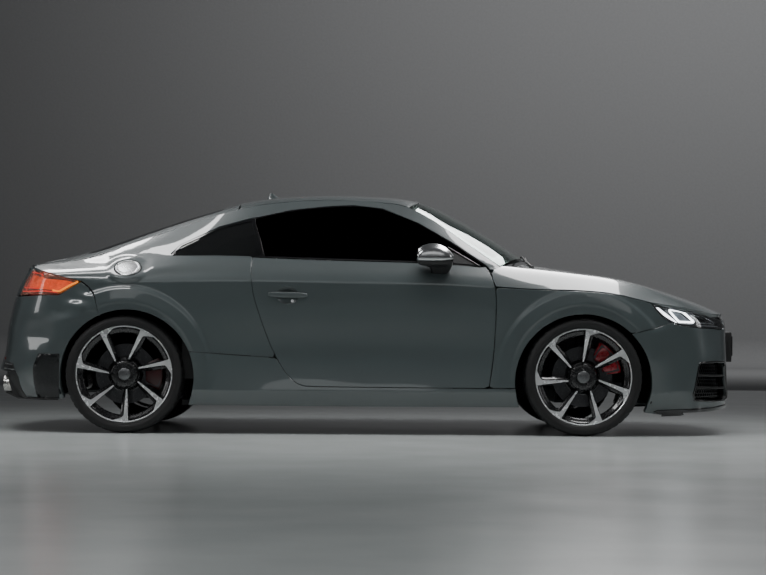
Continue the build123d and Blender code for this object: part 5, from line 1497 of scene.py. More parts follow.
def make_wheel(tag, x, yc, s, first):
    at = (x, yc, WHEEL_Z)
    obs = []
    mats = ("dark_alloy", "cut_alloy", "hub_cap", "bolt")
    # rim, from the outer lip round the barrel to the inner lip, closed on itself
    prof = [(262.8, 103), (265.2, 106), (265.0, 109.5), (262.8, 111.6), (259.5, 111.8), (257.8, 110.6),
            (256.4, 107), (253, 99), (249.5, 93.5), (243, 89), (232, 82), (226.5, 78), (223.5, 72), (223, 60), (226, 50), (236, 40), (239, 20), (239, -60), (243, -84), (252, -100), (258, -108),
            (263.5, -112.5), (265, -110), (265, -105), (257, -100), (252, -86), (248, -60), (247, 40), (250, 70), (255, 92), (258, 100), (262.8, 103)]
    rm = [0, 0, 1, 1, 1, 1] + [0] * (len(prof) - 7)
    obs.append(revolve(f"rim_ring_{tag}", prof, at, s, 112, mats, rm, sharp=28))
    # hub with a domed blank cap
    hub = [(0, 99.6), (10, 99.4), (20, 98.5), (28, 96.8), (32.5, 94.6), (33.6, 92.4), (34.4, 90.2), (36.5, 90.0), (38, 92.0), (44, 92.4), (62, 91.8), (69, 89.4), (74.5, 84), (77, 74), (76, 60), (74.5, 52.4), (40, 52.4), (0, 52.4)]
    hm = [2] * 5 + [0] * (len(hub) - 6)
    obs.append(revolve(f"hub_{tag}", hub, at, s, 56, mats, hm, sharp=40))
    # seven spokes
    rows_ = spoke_rows()
    for k in range(7):
        phi = math.radians(first + 360.0 / 7 * k)
        rings = []
        for r, t2, t1 in rows_:
            d = face_depth(r)
            back = 57.0 if r < 200 else 57.0 + (r - 200) * 0.35
            fl = min(17.0, 6 + (r - 60) * 0.16) if r < 224 else max(3.0, 17 - (r - 224) * 0.9)
            low = d - 15 if r < 224 else d - 15 + (r - 224) * 0.30
            pts = [(t2, d), ((t1 + t2) / 2, d + 0.15), (t1, d), (t1 - 1.4, d - 1.6), (t1 - fl * 0.55, low + 5), (t1 - fl, low), (t1 - fl - 2.2, low - 3.5), (t1 - fl + 1.5, back), (t2 + 1.0, back), (t2 + 2.6, d - 4.0), (t2 + 1.3, d - 1.2)]
            ring = []
            for t, dd in pts:
                a = phi + t / r
                ring.append((x + r * math.cos(a) * 1.0, yc + s * dd, WHEEL_Z + r * math.sin(a)))
            rings.append(ring)
        n = len(rings[0])
        verts = [p for r_ in rings for p in r_]
        faces, fm = [], []
        for a in range(len(rings) - 1):
            for i in range(n):
                j = (i + 1) % n
                faces.append((a * n + i, a * n + j, (a + 1) * n + j, (a + 1) * n + i))
                fm.append(1 if (i < 2 and a >= 1) else 0)
        faces.append(tuple(range(n))); fm.append(0)
        faces.append(tuple(range((len(rings) - 1) * n, len(rings) * n))); fm.append(0)
        o = obj_from(f"spoke_{tag}_{k}", verts, faces, None, mats, fm)
        fix_normals(o); sharpen(o, 24)
        obs.append(o)
    # five bolts in their pockets
    for k in range(5):
        a = math.radians(90 + 72 * k)
        cx, cz = x + 54 * math.cos(a), WHEEL_Z + 54 * math.sin(a)
        obs.append(revolve(f"pocket_{tag}_{k}", [(13.6, 90.5), (13.4, 93.2), (12.4, 93.8), (11.4, 93.0), (11.0, 86.0), (0, 85.6)], (cx, yc, cz), s, 20, mats, None, sharp=40))
        obs.append(revolve(f"bolt_{tag}_{k}", [(0, 92.2), (4.2, 92.2), (4.6, 91.0), (8.2, 91.0), (9.0, 90.0), (9.0, 85.0)], (cx, yc, cz), s, 6, mats, [3] * 5, sharp=30))
    w = join_plain(f"wheel_{tag}", obs)
    return w


def join_plain(name, obs):
    """Joins meshes that carry only sharp edges, in one bmesh."""
    mats, bm = [], bmesh.new()
    for o in obs:
        idx = []
        for m in o.data.materials:
            if m not in mats:
                mats.append(m)
            idx.append(mats.index(m))
        n0 = len(bm.faces)
        bm.from_mesh(o.data)
        bm.faces.ensure_lookup_table()
        for f in bm.faces[n0:]:
            f.material_index = idx[f.material_index] if idx else 0
    me = bpy.data.meshes.new(name)
    bm.to_mesh(me); bm.free()
    for m in mats:
        me.materials.append(m)
    for o in obs:
        d = o.data
        bpy.data.objects.remove(o)
        bpy.data.meshes.remove(d)
    q = bpy.data.objects.new(name, me)
    bpy.context.scene.collection.objects.link(q)
    return q


def make_tyre(tag, x, yc, s):
    side_p = [(256.5, 103), (262, 107.5), (266.5, 113.5), (270, 117.8), (274.5, 120.2), (276, 119.2), (277.5, 120.6), (283, 123.2), (289, 124.6), (290.2, 123.8), (291.4, 124.7), (297, 124.2), (303, 122.2),
              (304.2, 121.2), (305.6, 121.4), (310.5, 117.8), (314.5, 113.4), (317.6, 108.4), (319.6, 103)]
    n = 240
    tread = []
    for d in (96, 84, 78.5, 77.5, 69.5, 68.5, 50, 30, 28.5, 20.5, 19, 0):
        g = d in (77.5, 69.5, 28.5, 20.5)
        tread.append((322.4 - abs(d) ** 2 / 3600 - (7.0 if g else 0), d))
    half = side_p + tread
    prof = half + [(r, -d) for r, d in half[::-1][1:]]
    # inside of the tyre
    prof += [(257, -100), (290, -112), (310, -98), (313, 0), (310, 98), (290, 112), (257, 100), (256.5, 103)]
    K = len(half)
    shoulder = {k for k, (r, d) in enumerate(prof[:2 * K - 1]) if 76 < abs(d) < 116 and r > 312}
    block = {k for k, (r, d) in enumerate(prof[:2 * K - 1]) if 29 < abs(d) < 69 and r > 316}

    def radial(k, j, r, d):
        if k in shoulder and j % 5 in (0,):
            return r - 3.6, d
        if k in block and (j + (3 if d > 0 else 0)) % 8 == 0:
            return r - 3.6, d
        return r, d
    return revolve(f"tyre_skin_{tag}", prof, (x, yc, WHEEL_Z), s, n, ("tyre",), None, radial, sharp=32)


def plate2d(name, outer, holes, to3, thick, mats, hole_mat=0, sharp=30):
    """A flat plate with holes: outlines in its own two coordinates, to3(u, v, d) places a point."""
    loops = [V(outer, float)] + [V(h, float) for h in holes]
    pts = np.concatenate(loops)
    edges, st = [], 0
    for l in loops:
        n = len(l)
        edges += [(st + i, st + (i + 1) % n) for i in range(n)]
        st += n
    vo, eo, fo, _, _, _ = delaunay_2d_cdt([Vector(p) for p in pts], edges, [], 0, 1e-5)
    P = V([tuple(p) for p in vo])
    T = V([tuple(f) for f in fo if len(f) == 3], int)
    c = P[T].mean(1)
    ok = inside(loops[0], c)
    for h in loops[1:]:
        ok &= ~inside(h, c)
    T = T[ok]
    n = len(P)
    verts = [to3(u, v, 0) for u, v in P] + [to3(u, v, -thick) for u, v in P]
    faces = [tuple(t) for t in T] + [tuple(int(i) + n for i in t[::-1]) for t in T]
    cnt = {}
    for t in T:
        for i in range(3):
            e = (int(t[i]), int(t[(i + 1) % 3]))
            cnt[e] = 1
    fm = [0] * len(faces)
    for a, b in cnt:
        if (b, a) not in cnt:
            faces.append((b, a, a + n, b + n)); fm.append(hole_mat)
    o = obj_from(name, verts, faces, None, mats, fm)
    fix_normals(o); sharpen(o, sharp)
    return o


def make_disc(tag, x, yc, s):
    obs = []
    circ = [(165 * math.cos(2 * math.pi * i / 96), 165 * math.sin(2 * math.pi * i / 96)) for i in range(96)]
    inner = [(100 * math.cos(2 * math.pi * i / 64), 100 * math.sin(2 * math.pi * i / 64)) for i in range(64)]
    holes = [inner]
    for k in range(24):
        for m, r in enumerate((112, 130, 148)):
            a = 2 * math.pi * (k + m * 0.32) / 24
            cx, cy = r * math.cos(a), r * math.sin(a)
            holes.append([(cx + 3.4 * math.cos(2 * math.pi * i / 8), cy + 3.4 * math.sin(2 * math.pi * i / 8)) for i in range(8)])
    for d in (17.5, 1.0):
        obs.append(plate2d(f"disc_face_{tag}_{d}", circ, holes, lambda u, v, w, d=d: (x + u, yc + s * (d + w), WHEEL_Z + v), 7.0, ("disc", "steel_dark")))
    obs.append(revolve(f"disc_core_{tag}", [(104, 10.5), (158, 10.5), (158, 1.0), (104, 1.0), (104, 10.5)], (x, yc, WHEEL_Z), s, 72, ("steel_dark",)))
    obs.append(revolve(f"disc_bell_{tag}", [(28, 51.5), (70, 51.5), (79, 49), (84, 42), (88, 24), (94, 17.8), (101, 17), (101, 10), (92, 9), (84, 12), (76, 38), (66, 44), (28, 44), (28, 51.5)], (x, yc, WHEEL_Z), s, 64, ("dark_alloy",)))
    return join_plain(f"disc_{tag}", obs)


def make_caliper(tag, x, yc, s, a0, a1, r_in, r_out, d_in, d_out, mat, lobes=2):
    """A fixed caliper: an outer and an inner half, swept round the disc, joined by bridges."""
    obs = []
    n = 26

    def half(nm, da, db, face):
        rings = []
        for i in range(n + 1):
            t = i / n
            a = math.radians(a0 + (a1 - a0) * t)
            e = min(1.0, 0.55 + 2.6 * min(t, 1 - t))
            e2 = min(1.0, 0.30 + 5.0 * min(t, 1 - t))
            bulge = abs(math.sin(math.pi * lobes * t)) ** 0.8
            ri = r_in + (1 - e) * 30 + 7 * (1 - bulge)
            ro = r_out - (1 - e) * 10
            out = db - face * (5.0 * (1 - bulge) + 6 * (1 - e2))
            c, c2 = 5.0, 9.0
            sec = [(ri, da), (ri, out - face * c2), (ri + c, out - face * 2.5), (ri + 2 * c, out), (ri + (ro - ri) * 0.45, out + face * 0.8), (ro - 22, out), (ro - 14, out - face * 3), (ro - 4, out - face * 4.5), (ro, out - face * 9), (ro, da)]
            rings.append([(x + r * math.cos(a), yc + s * d, WHEEL_Z + r * math.sin(a)) for r, d in sec])
        return loft(nm, rings, (mat,), sharp=38)
    obs.append(half(f"cal_out_{tag}", 20.5, d_out, 1))
    obs.append(half(f"cal_in_{tag}", -9.5, d_in, -1))
    span = a1 - a0
    for k, (u, v) in enumerate(((0.04, 0.22), (0.42, 0.58), (0.78, 0.96))):
        rings = []
        for d in (-20, -6, 8, 24, 30):
            ring = []
            for i in range(9):
                a = math.radians(a0 + span * (u + (v - u) * i / 8))
                ring.append((r_out - 1.0, a))
            for i in range(8, -1, -1):
                a = math.radians(a0 + span * (u + (v - u) * i / 8))
                ring.append((r_out - 24.0, a))
            rings.append([(x + r * math.cos(a), yc + s * d, WHEEL_Z + r * math.sin(a)) for r, a in ring])
        obs.append(loft(f"cal_bridge_{tag}_{k}", rings, (mat,), sharp=38))
    # fluid pipe on the inner half
    am = math.radians((a0 + a1) / 2)
    obs.append(tube(f"cal_pipe_{tag}", [(x + (r_out - 12) * math.cos(math.radians(a)), yc + s * (d_in - 3), WHEEL_Z + (r_out - 12) * math.sin(math.radians(a))) for a in np.linspace(a0 + 8, a1 - 8, 9)], 2.4, ("steel_dark",), 8))
    return join_plain(f"caliper_{tag}", obs)


for tag, x, y, first, lead in (("front_left", AXLE_F, 783.0, 97.0, 1), ("front_right", AXLE_F, -783.0, 83.0, 1),
                               ("rear_left", AXLE_R, 773.0, 269.0, 0), ("rear_right", AXLE_R, -773.0, 271.0, 0)):
    s_ = 1 if y > 0 else -1
    # built as the right wheel, then mirrored for the left
    base = -89.0 if not lead else 83.0
    w = make_wheel(tag, x, -abs(y), -1, base)
    t_ = make_tyre(tag, x, -abs(y), -1)
    d_ = make_disc(tag, x, -abs(y), -1)
    if lead:
        c_ = make_caliper(tag, x, -abs(y), -1, 6.5, 63.5, 113, 214.5, -46, 52, "caliper_red")
    else:
        c_ = make_caliper(tag, x, -abs(y), -1, -26, 26, 109, 206, -47, 51, "caliper_dark_red", 1)
    parts_ = [w, t_, d_, c_]
    if s_ > 0:
        new = []
        for o in parts_:
            nm = o.name
            q_ = mirrored(o, nm + "_m")
            me = o.data
            bpy.data.objects.remove(o); bpy.data.meshes.remove(me)
            q_.name = nm; q_.data.name = nm
            new.append(q_)
        parts_ = new
    w, t_, d_, c_ = parts_
    put(w, f"wheel_{tag}", f"rim_{tag}", slot="rim_alloy")
    put(t_, f"wheel_{tag}", f"tyre_{tag}", slot="tyre")
    put(d_, f"wheel_{tag}", f"brake_disc_{tag}", slot="disc_iron")
    if lead:
        put(c_, "knuckle_left" if s_ > 0 else "knuckle_right")
    else:
        put(c_, "body")

# ---- wheel-arch liners -------------------------------------------------------------------
def liner(tag, cx, cz, r, y_in, y_out, a0, a1, s):
    n = 40
    ribs = []
    prof = [(r + 4, y_out), (r, y_out - 3), (r - 1, y_out - 40), (r - 4, y_out - 44), (r - 4, y_out - 80), (r - 1, y_out - 84), (r, y_in + 80), (r - 3, y_in + 60), (r - 30, y_in + 10), (r - 120, y_in), (r - 124, y_in - 6), (r - 30, y_in + 2), (r + 3, y_in + 52), (r + 6, y_out - 2)]
    verts, faces = [], []
    for i in range(n + 1):
        a = math.radians(a0 + (a1 - a0) * i / n)
        for rr, yy in prof:
            verts.append((cx + rr * math.cos(a), s * yy, cz + rr * math.sin(a)))
    K = len(prof)
    for i in range(n):
        for k in range(K):
            l = (k + 1) % K
            faces.append((i * K + k, i * K + l, (i + 1) * K + l, (i + 1) * K + k))
    faces.append(tuple(range(K))); faces.append(tuple(range(n * K, n * K + K)))
    o = obj_from(f"liner_{tag}", verts, faces, None, ("liner",))
    fix_normals(o); sharpen(o, 40)
    return o


for s_, t_ in ((1, "left"), (-1, "right")):
    put(liner(f"front_{t_}", 1211, 300, 388, 512, 846, -18, 198, s_), "body", "wheel_arch_liners", slot="black_trim")
    put(liner(f"rear_{t_}", -1284, 314, 372, 606, 852, -16, 196, s_), "body", "wheel_arch_liners", slot="black_trim")

# =====================================================================
# Outside details
# =====================================================================
def xform(o, M):
    o.data.transform(M)
    o.data.update()
    return o


def frame_matrix(at, z_dir, x_dir=(1, 0, 0)):
    z = Vector(z_dir).normalized()
    x = Vector(x_dir)
    x = (x - z * x.dot(z)).normalized()
    y = z.cross(x)
    M = Matrix((x, y, z)).transposed().to_4x4()
    return Matrix.Translation(Vector(at) / 1000) @ M


def turned(name, prof, at, z_dir, n=48, mats=("satin_metal",), rows_mat=None, sharp=30, radial=None):
    """A turned piece about any axis. prof is (r, height along the axis)."""
    o = revolve(name, [(r, d) for r, d in prof], (0, 0, 0), 1, n, mats, rows_mat, radial, sharp)
    # revolve spins about Y: turn Y to Z
    M = frame_matrix(at, z_dir) @ Matrix.Rotation(math.radians(90), 4, "X")
    return xform(o, M)


def smooth_loop(pts, n):
    """A closed smooth curve through points, n samples."""
    p = V(pts, float)
    m = len(p)
    q = np.concatenate([p[-3:], p, p[:3]])
    d = np.concatenate([[0], np.cumsum(np.linalg.norm(np.diff(q, axis=0), axis=1))])
    s = Spl(d, q)
    t = np.linspace(d[3], d[3 + m], n + 1)[:-1]
    return s(t)


# ---- fuel filler lid ----------------------------------------------------------------
zc = (0, -math.sin(CAP_TILT), math.cos(CAP_TILT))
c0 = V([CAP_C[0], -CAP_C[1], CAP_C[2]])
lid = [turned("lid", [(0, 4.6), (20, 4.4), (40, 3.8), (51, 3.0), (52.5, 1.6), (54.5, 1.6), (56, 3.2), (60, 4.4), (66, 4.0), (70, 1.6), (71.2, -2), (71.2, -7), (60, -9), (0, -9)], c0, zc, 72, ("satin_metal",), sharp=24)]
for k in range(8):
    a = math.radians(22.5 + 45 * k)
    M = frame_matrix(c0, zc)
    pnt = (M @ Vector((0.0625 * math.cos(a), 0.0625 * math.sin(a), 0.0042))) * 1000
    lid.append(turned(f"lid_screw_{k}", [(0, 0.4), (1.4, 0.4), (1.8, 1.3), (3.0, 1.2), (3.4, 0.2), (3.4, -1.5)], pnt, zc, 12, ("bolt",)))
put(join_plain("fuel_lid", lid), "fuel_flap", "fuel_flap", slot="satin_metal")
put(turned("filler_bowl", [(75.2, 1.5), (75.2, -3), (72.8, -20), (66, -36), (30, -38), (29, -30), (24, -29), (22, -34), (0, -34), (0, -40), (68, -40), (76.5, -22), (77, -2), (76.8, 1.5), (75.2, 1.5)], c0, zc, 64, ("black_trim",)), "body", "body_sides", slot="black_trim")

# ---- door handles ------------------------------------------------------------------------
def bowl_f(x, z):
    x = np.asarray(x, float); z = np.asarray(z, float)
    r2 = ((x + 407) / 62.0) ** 2 + ((z - 757) / 49.0) ** 2
    return np.stack([x, side_y(x, z) - 24 * np.sqrt(np.clip(1 - r2, 0, 1)) - 0.4, z], -1)


hb = panel("handle_bowl_l", bowl_f, inset_loop(handle_hole, -1.5), flip=-1, step=8, edge=7, hem=0.6, depth=3, nh=0.5, mats=("paint",))
hs = []
for t in np.linspace(-1, 1, 25):
    xx = -405 + 108 * t
    e = (1 - abs(t) ** 5)
    zz, hh = 760 - 2 * t, 7.5 + 8.0 * e
    yo = float(side_y(V([xx]), V([zz]))[0])
    out, inn = yo + 3.0 + 8.5 * e, yo - 3 + 4.0 * (1 - abs(t) ** 3)
    ring = []
    for k in range(20):
        a = 2 * math.pi * k / 20
        c, s2 = math.cos(a), math.sin(a)
        sx = abs(c) ** 0.7 * (1 if c > 0 else -1); sz = abs(s2) ** 0.6 * (1 if s2 > 0 else -1)
        ring.append((xx, (out + inn) / 2 + (out - inn) / 2 * sx * (1 - 0.25 * max(0, -sz)), zz + hh * sz))
    hs.append(ring)
grip = loft("handle_grip_l", hs, ("paint",), sharp=60)
inl = tube("handle_inlay", [(-405 + 104 * t, float(side_y(V([-405 + 104 * t]), V([771.0]))[0]) + 4.0 + 5.6 * (1 - abs(t) ** 5), 773 - 2 * t - 6 * abs(t) ** 5) for t in np.linspace(-1, 1, 19)], 1.9, ("satin_metal",), 8)
posts = []
for dx in (-92, 92):
    yo = float(side_y(V([-405.0 + dx]), V([759.0]))[0])
    posts.append(box(f"handle_post_{dx}", (-405 + dx, yo - 1, 759), (22, 12, 18), 4, ("black_trim",)))
lock = turned("handle_lock", [(0, 1.4), (7, 1.2), (8.4, 0), (8.4, -14)], (-380, float(side_y(V([-380.0]), V([726.0]))[0]) - 9, 727), (0, 1, 0.2), 24, ("satin_metal",))
hl = join_plain("door_handle_l", [grip, inl] + posts + [lock])
hr = mirrored(hl, "door_handle_r")
hbr = mirrored(hb, "handle_bowl_r")
put(hl, "door_left", "door_handle_left", slot="paint")
put(hr, "door_right", "door_handle_right", slot="paint")
put(hb, "door_left", "door_left", slot="paint")
put(hbr, "door_right", "door_right", slot="paint")

# ---- door mirrors -----------------------------------------------------------------------------
def mirror_ring(x, yc, zc_, ry, rz, n=40, p=2.7, droop=0.0, up=None, dn=None):
    ring = []
    for k in range(n):
        a = 2 * math.pi * k / n
        c, s2 = math.cos(a), math.sin(a)
        pp = p if s2 >= 0 or dn is None else 5.0
        y = yc + ry * abs(c) ** (2 / p) * (1 if c > 0 else -1)
        rr = rz if up is None else (up if s2 >= 0 else dn)
        z = zc_ + rr * abs(s2) ** (2 / pp) * (1 if s2 > 0 else -1)
        ring.append((x, y, z - droop * (y - yc) / ry))
    return ring


mr = []
MZ = 968.0
for x, zt, zb, y0, y1 in ((299, 1001, 956, 853, 957), (301.5, 1011, 950, 846, 965), (308, 1021, 946, 841, 971), (328, 1035, 944, 838.5, 975), (358, 1043.5, 943, 838, 976), (390, 1046, 943, 838, 976),
                          (420, 1041, 944, 839, 975), (450, 1028, 946, 843, 970), (474, 1009, 951, 851, 961), (489, 991, 957, 862, 950), (497, 977, 963, 880, 932)):
    mr.append(mirror_ring(x, (y0 + y1) / 2, MZ, (y1 - y0) / 2, 0, p=2.5, up=zt - MZ, dn=MZ - zb))
n_ = len(mr[0])
verts = [p for r in mr for p in r]
faces, fm = [], []
for a in range(len(mr) - 1):
    for i in range(n_):
        j = (i + 1) % n_
        faces.append((a * n_ + i, a * n_ + j, (a + 1) * n_ + j, (a + 1) * n_ + i))
        fm.append(0)
faces.append(tuple(range(n_ - 1, -1, -1))); fm.append(1)
faces.append(tuple(range((len(mr) - 1) * n_, len(mr) * n_))); fm.append(0)
shell = obj_from("mirror_shell", verts, faces, None, ("mirror_cap", "black_trim"), fm)
fix_normals(shell); sharpen(shell, 50)
grv = tube("mirror_groove", [(r[0][0], r[0][1] + 0.3, MZ + 2) for r in mr[:-1]] + [(499, 906, MZ + 2)] + [(r[n_ // 2][0], r[n_ // 2][1] - 0.3, MZ + 2) for r in mr[:-1][::-1]], 1.7, ("gloss_black",), 8)
lower = []
for z, x0, x1, y0, y1 in ((950, 301, 495, 846, 968), (941, 302, 494, 847, 967), (931, 305, 492, 846, 962), (926, 322, 491, 845, 950), (922, 350, 489, 842, 936), (914, 368, 486, 838, 916), (902, 374, 480, 835, 896), (889, 375, 471, 830, 876), (878, 377, 458, 826, 860)):
    lower.append([((x0 + x1) / 2 + (x1 - x0) / 2 * abs(math.cos(a)) ** 0.6 * (1 if math.cos(a) > 0 else -1), (y0 + y1) / 2 + (y1 - y0) / 2 * abs(math.sin(a)) ** 0.6 * (1 if math.sin(a) > 0 else -1), z) for a in np.linspace(0, 2 * math.pi, 37)[:-1]])
stalk = loft("mirror_stalk", lower, ("black_trim",), sharp=50)
mg = panel("mirror_glass_l", lambda u, v: np.stack([0 * V(u, float) + 297.6, V(u, float), V(v, float)], -1),
           [(905 + 48 * abs(math.cos(t)) ** 0.75 * (1 if math.cos(t) > 0 else -1), 976 + (21 if math.sin(t) < 0 else 22) * abs(math.sin(t)) ** 0.75 * (1 if math.sin(t) > 0 else -1)) for t in np.linspace(0, 2 * math.pi, 41)[:-1]], flip=-1, step=20, edge=8, depth=3, hem=0.8, mats=("chrome",))
ml = join_plain("mirror_l", [shell, grv, stalk, mg])
mrr = mirrored(ml, "mirror_r")
put(ml, "door_left", "mirror_left", slot="satin_metal")
put(mrr, "door_right", "mirror_right", slot="satin_metal")

# ---- aerial fin -----------------------------------------------------------------------------------
fin = []
for z, xa, xb, w in ((1310, -576, -468, 16), (1320, -574, -472, 15), (1328, -570, -480, 12), (1338, -565, -494, 9), (1348, -560, -508, 6.5), (1357, -556, -520, 4.6), (1364, -553, -530, 3.2), (1370, -550, -538, 1.8)):
    ring = []
    for k in range(28):
        a = 2 * math.pi * k / 28
        cx, L = (xa + xb) / 2, (xb - xa) / 2
        c = math.cos(a)
        ring.append((cx + L * c, w * math.sin(a) * (1 - 0.55 * max(0, c)), z))
    fin.append(ring)
put(loft("aerial_fin", fin, ("paint",), sharp=45), "body", "antenna", slot="paint")
put(loft("aerial_foot", [[(-522 + 60 * math.cos(2 * math.pi * k / 32), 19 * math.sin(2 * math.pi * k / 32), z) for k in range(32)] for z in (1306, 1316)], ("rubber_seal",), sharp=40), "body", "antenna", slot="paint")

# ---- scuttle grille and wipers ----------------------------------------------------------------------
def screen_pt(x, y, h=0.0):
    p = screen_f(V([float(x)]), V([float(y)]))
    n = surf_normal(screen_f, V([float(x)]), V([float(y)]), 1)
    return (p + n * h)[0]


cw_half = [(936, 0), (930, 150), (912, 300), (880, 450), (836, 600), (806, 690), (838, 706), (856, 620), (900, 470), (936, 310), (956, 150), (962, 0)]
cw = panel("scuttle", lambda u, v: bonnet_f(u, v) - V([0, 0, 14.0]),
           [(x, y) for x, y in cw_half[:6]][::-1] + [(x, -y) for x, y in cw_half[1:6]] + [(x, -y) for x, y in cw_half[6:]] + [(x, y) for x, y in cw_half[6:][::-1][1:]],
           step=26, depth=12, mats=("black_trim",))
put(cw, "body", "cowl", slot="black_trim")
wp = []
for k, (rx, ry, tx, ty) in enumerate(((974, 60, 926, 520), (950, -480, 950, 20))):
    # arm lies just above the foot of the screen, blade beside it
    n_a = 12
    arm = []
    for i in range(n_a + 1):
        t = i / n_a
        x = rx + (tx - rx) * t - 34 * math.sin(math.pi * t) * 0.4
        y = ry + (ty - ry) * t
        z0_ = float(bonnet_f(V([float(rx)]), V([float(ry)]))[0, 2]) + 2
        z1_ = float(screen_f(V([float(tx - 26)]), V([float(ty)]))[0, 2]) + 8
        arm.append((x, y, z0_ + (z1_ - z0_) * t + 6 * math.sin(math.pi * t)))
    wp.append(tube(f"wiper_arm_{k}", arm, [7.5 - 3.8 * i / n_a for i in range(n_a + 1)], ("black_trim",), 10))
    blade = []
    for i in range(n_a + 1):
        t = i / n_a
        y = ry + (ty - ry) * (0.10 + 0.98 * t)
        x = rx + (tx - rx) * (0.10 + 0.98 * t) - 26 - 10 * math.sin(math.pi * t)
        z = float(screen_f(V([x]), V([y]))[0, 2])
        blade.append((x, y, z + 6.5))
    wp.append(tube(f"wiper_blade_{k}", blade, 4.6, ("rubber_seal",), 8))
    wp.append(turned(f"wiper_pivot_{k}", [(0, 12), (9, 11), (13, 6), (13.5, 0), (13.5, -16)], (rx, ry, arm[0][2]), (0.25, 0, 1), 20, ("black_trim",)))
put(join_plain("wiper_set", wp), "body", "wipers", slot="black_trim")

# ---- tailgate: rising spoiler, brake light, badge-free trim ---------------------------------------------
sp_half = [(-1676, 0), (-1676, 436), (-1681, 441), (-1793, 441), (-1799, 436), (-1801, 0)]
sp = panel("spoiler_blade", gate_f, inset_loop(sym(sp_half), 2.0), step=26, hem=2.2, depth=9, lift=0.5)
put(sp, "spoiler", "spoiler", slot="paint")
pk = duct("spoiler_well", gate_f, inset_loop(sym(pocket_half), -0.5), 16, flip=1, shrink=0.02, mats=("black_trim",), start=12)
put(pk, "tailgate", "tailgate", slot="paint")
for y_ in (-300, 300):
    zc_ = float(gate_f(V([-1738.0]), V([float(y_)]))[0, 2])
    put(box(f"spoiler_leg_{y_}", (-1738, y_, zc_ - 17), (46, 14, 14), 3, ("steel_dark",)), "spoiler", "spoiler", slot="paint")
put(strip("brake_light_high", gate_f, [(-726, -150), (-724, 0), (-726, 150)], 9, 4, lift=-1.5, mats=("reflector_red",)), "tailgate", "tailgate", slot="tail_lens")
lip_u = [(-u, v) for u, v in TAIL_F.path([("y", 590, 900), ("y", 450, 903), ("y", 300, 905), ("y", 150, 906), ("y", 0, 906)])] + [(u, v) for u, v in TAIL_F.path([("y", 0, 906), ("y", 150, 906), ("y", 300, 905), ("y", 450, 903), ("y", 590, 900)])][1:]
put(strip("tail_edge", TAIL_F, lip_u, 16, 6, lift=-1, flip=-1, mats=("paint",)), "tailgate", "tailgate", slot="paint")

# ---- diffuser, exhaust, reflectors -----------------------------------------------------------------------
sweep_in = lambda y: float(np.interp(abs(y), (0, 150, 300, 450, 600, 636), (0, 5, 24, 56, 104, 122)))
dsec = []
for y in (-636, -600, -480, -300, -150, 0, 150, 300, 480, 600, 636):
    d = sweep_in(y)
    pts = [(-2052 + d, 330), (-2040 + d, 334), (-2012 + d, 300), (-1962 + 0.7 * d, 226), (-1800, 190), (-1798, 172), (-1972 + 0.7 * d, 186), (-2020 + d, 214), (-2046 + d, 262), (-2056 + d, 300)]
    dsec.append([(x, y, z) for x, z in pts])
n_ = len(dsec[0])
dif = loft("diffuser", dsec, ("black_trim",), sharp=28)
put(dif, "body", "rear_diffuser", slot="black_trim")
for y in (-330, -200, -68, 68, 200, 330):
    fins = loft(f"diffuser_fin_{y}", [[(x + sweep_in(y), y + dy, z) for x, z in ((-2056, 250), (-2060, 200), (-1990, 168), (-1830, 160), (-1830, 178), (-1978, 196), (-2022, 226))] for dy in (-4.5, 4.5)], ("gloss_black",), sharp=30)
    put(bevel(fins, 1.5, 2, 40), "body", "rear_diffuser", slot="black_trim")
for s_, t_ in ((1, "left"), (-1, "right")):
    rings = []
    oval = lambda ry, rz, x, yc=560, zc_=262: [(x, s_ * yc + ry * math.cos(2 * math.pi * k / 48), zc_ + rz * math.sin(2 * math.pi * k / 48)) for k in range(48)]
    for ry, rz, x in ((57, 43, -1899), (57.5, 43.5, -1970), (58, 44, -1992), (57, 43, -1996.5), (54, 40, -1997), (52.5, 38.5, -1994), (51.5, 37.5, -1979), (50.5, 37, -1905)):
        rings.append(oval(ry, rz, x))
    put(loft(f"exhaust_tip_{t_}", rings, ("steel",), cap=True, sharp=40), "body", "exhaust_system", slot="steel")
    put(loft(f"exhaust_inner_{t_}", [oval(44, 31, -1955), oval(44, 31, -1855), oval(40, 28, -1855), oval(40, 28, -1955), oval(44, 31, -1955)][:4], ("steel_dark",), sharp=40), "body", "exhaust_system", slot="steel")
    put(strip(f"rear_reflector_{t_}", TAIL_F, [(s_ * TAIL_F.find("y", 380, 398)[0], 398), (s_ * TAIL_F.find("y", 520, 400)[0], 400)], 13, 4, lift=-1, flip=-1, mats=("reflector_red",)), "body", "rear_bumper", slot="tail_lens")
    end_ = [[(x, s_ * y, z) for x, z in ((-1966, 336), (-1958, 268), (-1938, 206), (-1910, 184), (-1860, 180), (-1860, 236), (-1880, 300), (-1900, 336))] for y in (642, 646, 652, 655)]
    put(bevel(loft(f"diffuser_end_{t_}", end_, ("dark_plastic",), sharp=28), 3, 2, 40), "body", "rear_diffuser", slot="black_trim")
# silencer with rolled ends and its pipe
sil = []
for y in (-352, -346, -330, -300, 0, 300, 330, 346, 352):
    e = 1 - max(0, (abs(y) - 300) / 52) ** 2 * 0.5
    sil.append([(-1710 + 92 * e * abs(math.cos(a)) ** 0.6 * (1 if math.cos(a) > 0 else -1), y, 262 + 58 * e * abs(math.sin(a)) ** 0.6 * (1 if math.sin(a) > 0 else -1)) for a in np.linspace(0, 2 * math.pi, 33)[:-1]])
put(loft("silencer", sil, ("steel",), sharp=45), "body", "exhaust_system", slot="steel")
for s_ in (1, -1):
    put(tube(f"tail_pipe_{s_}", [(-1730, s_ * 330, 262), (-1790, s_ * 380, 262), (-1840, s_ * 450, 262), (-1870, s_ * 524, 262), (-1912, s_ * 558, 262)], 27, ("steel",), 18), "body", "exhaust_system", slot="steel")
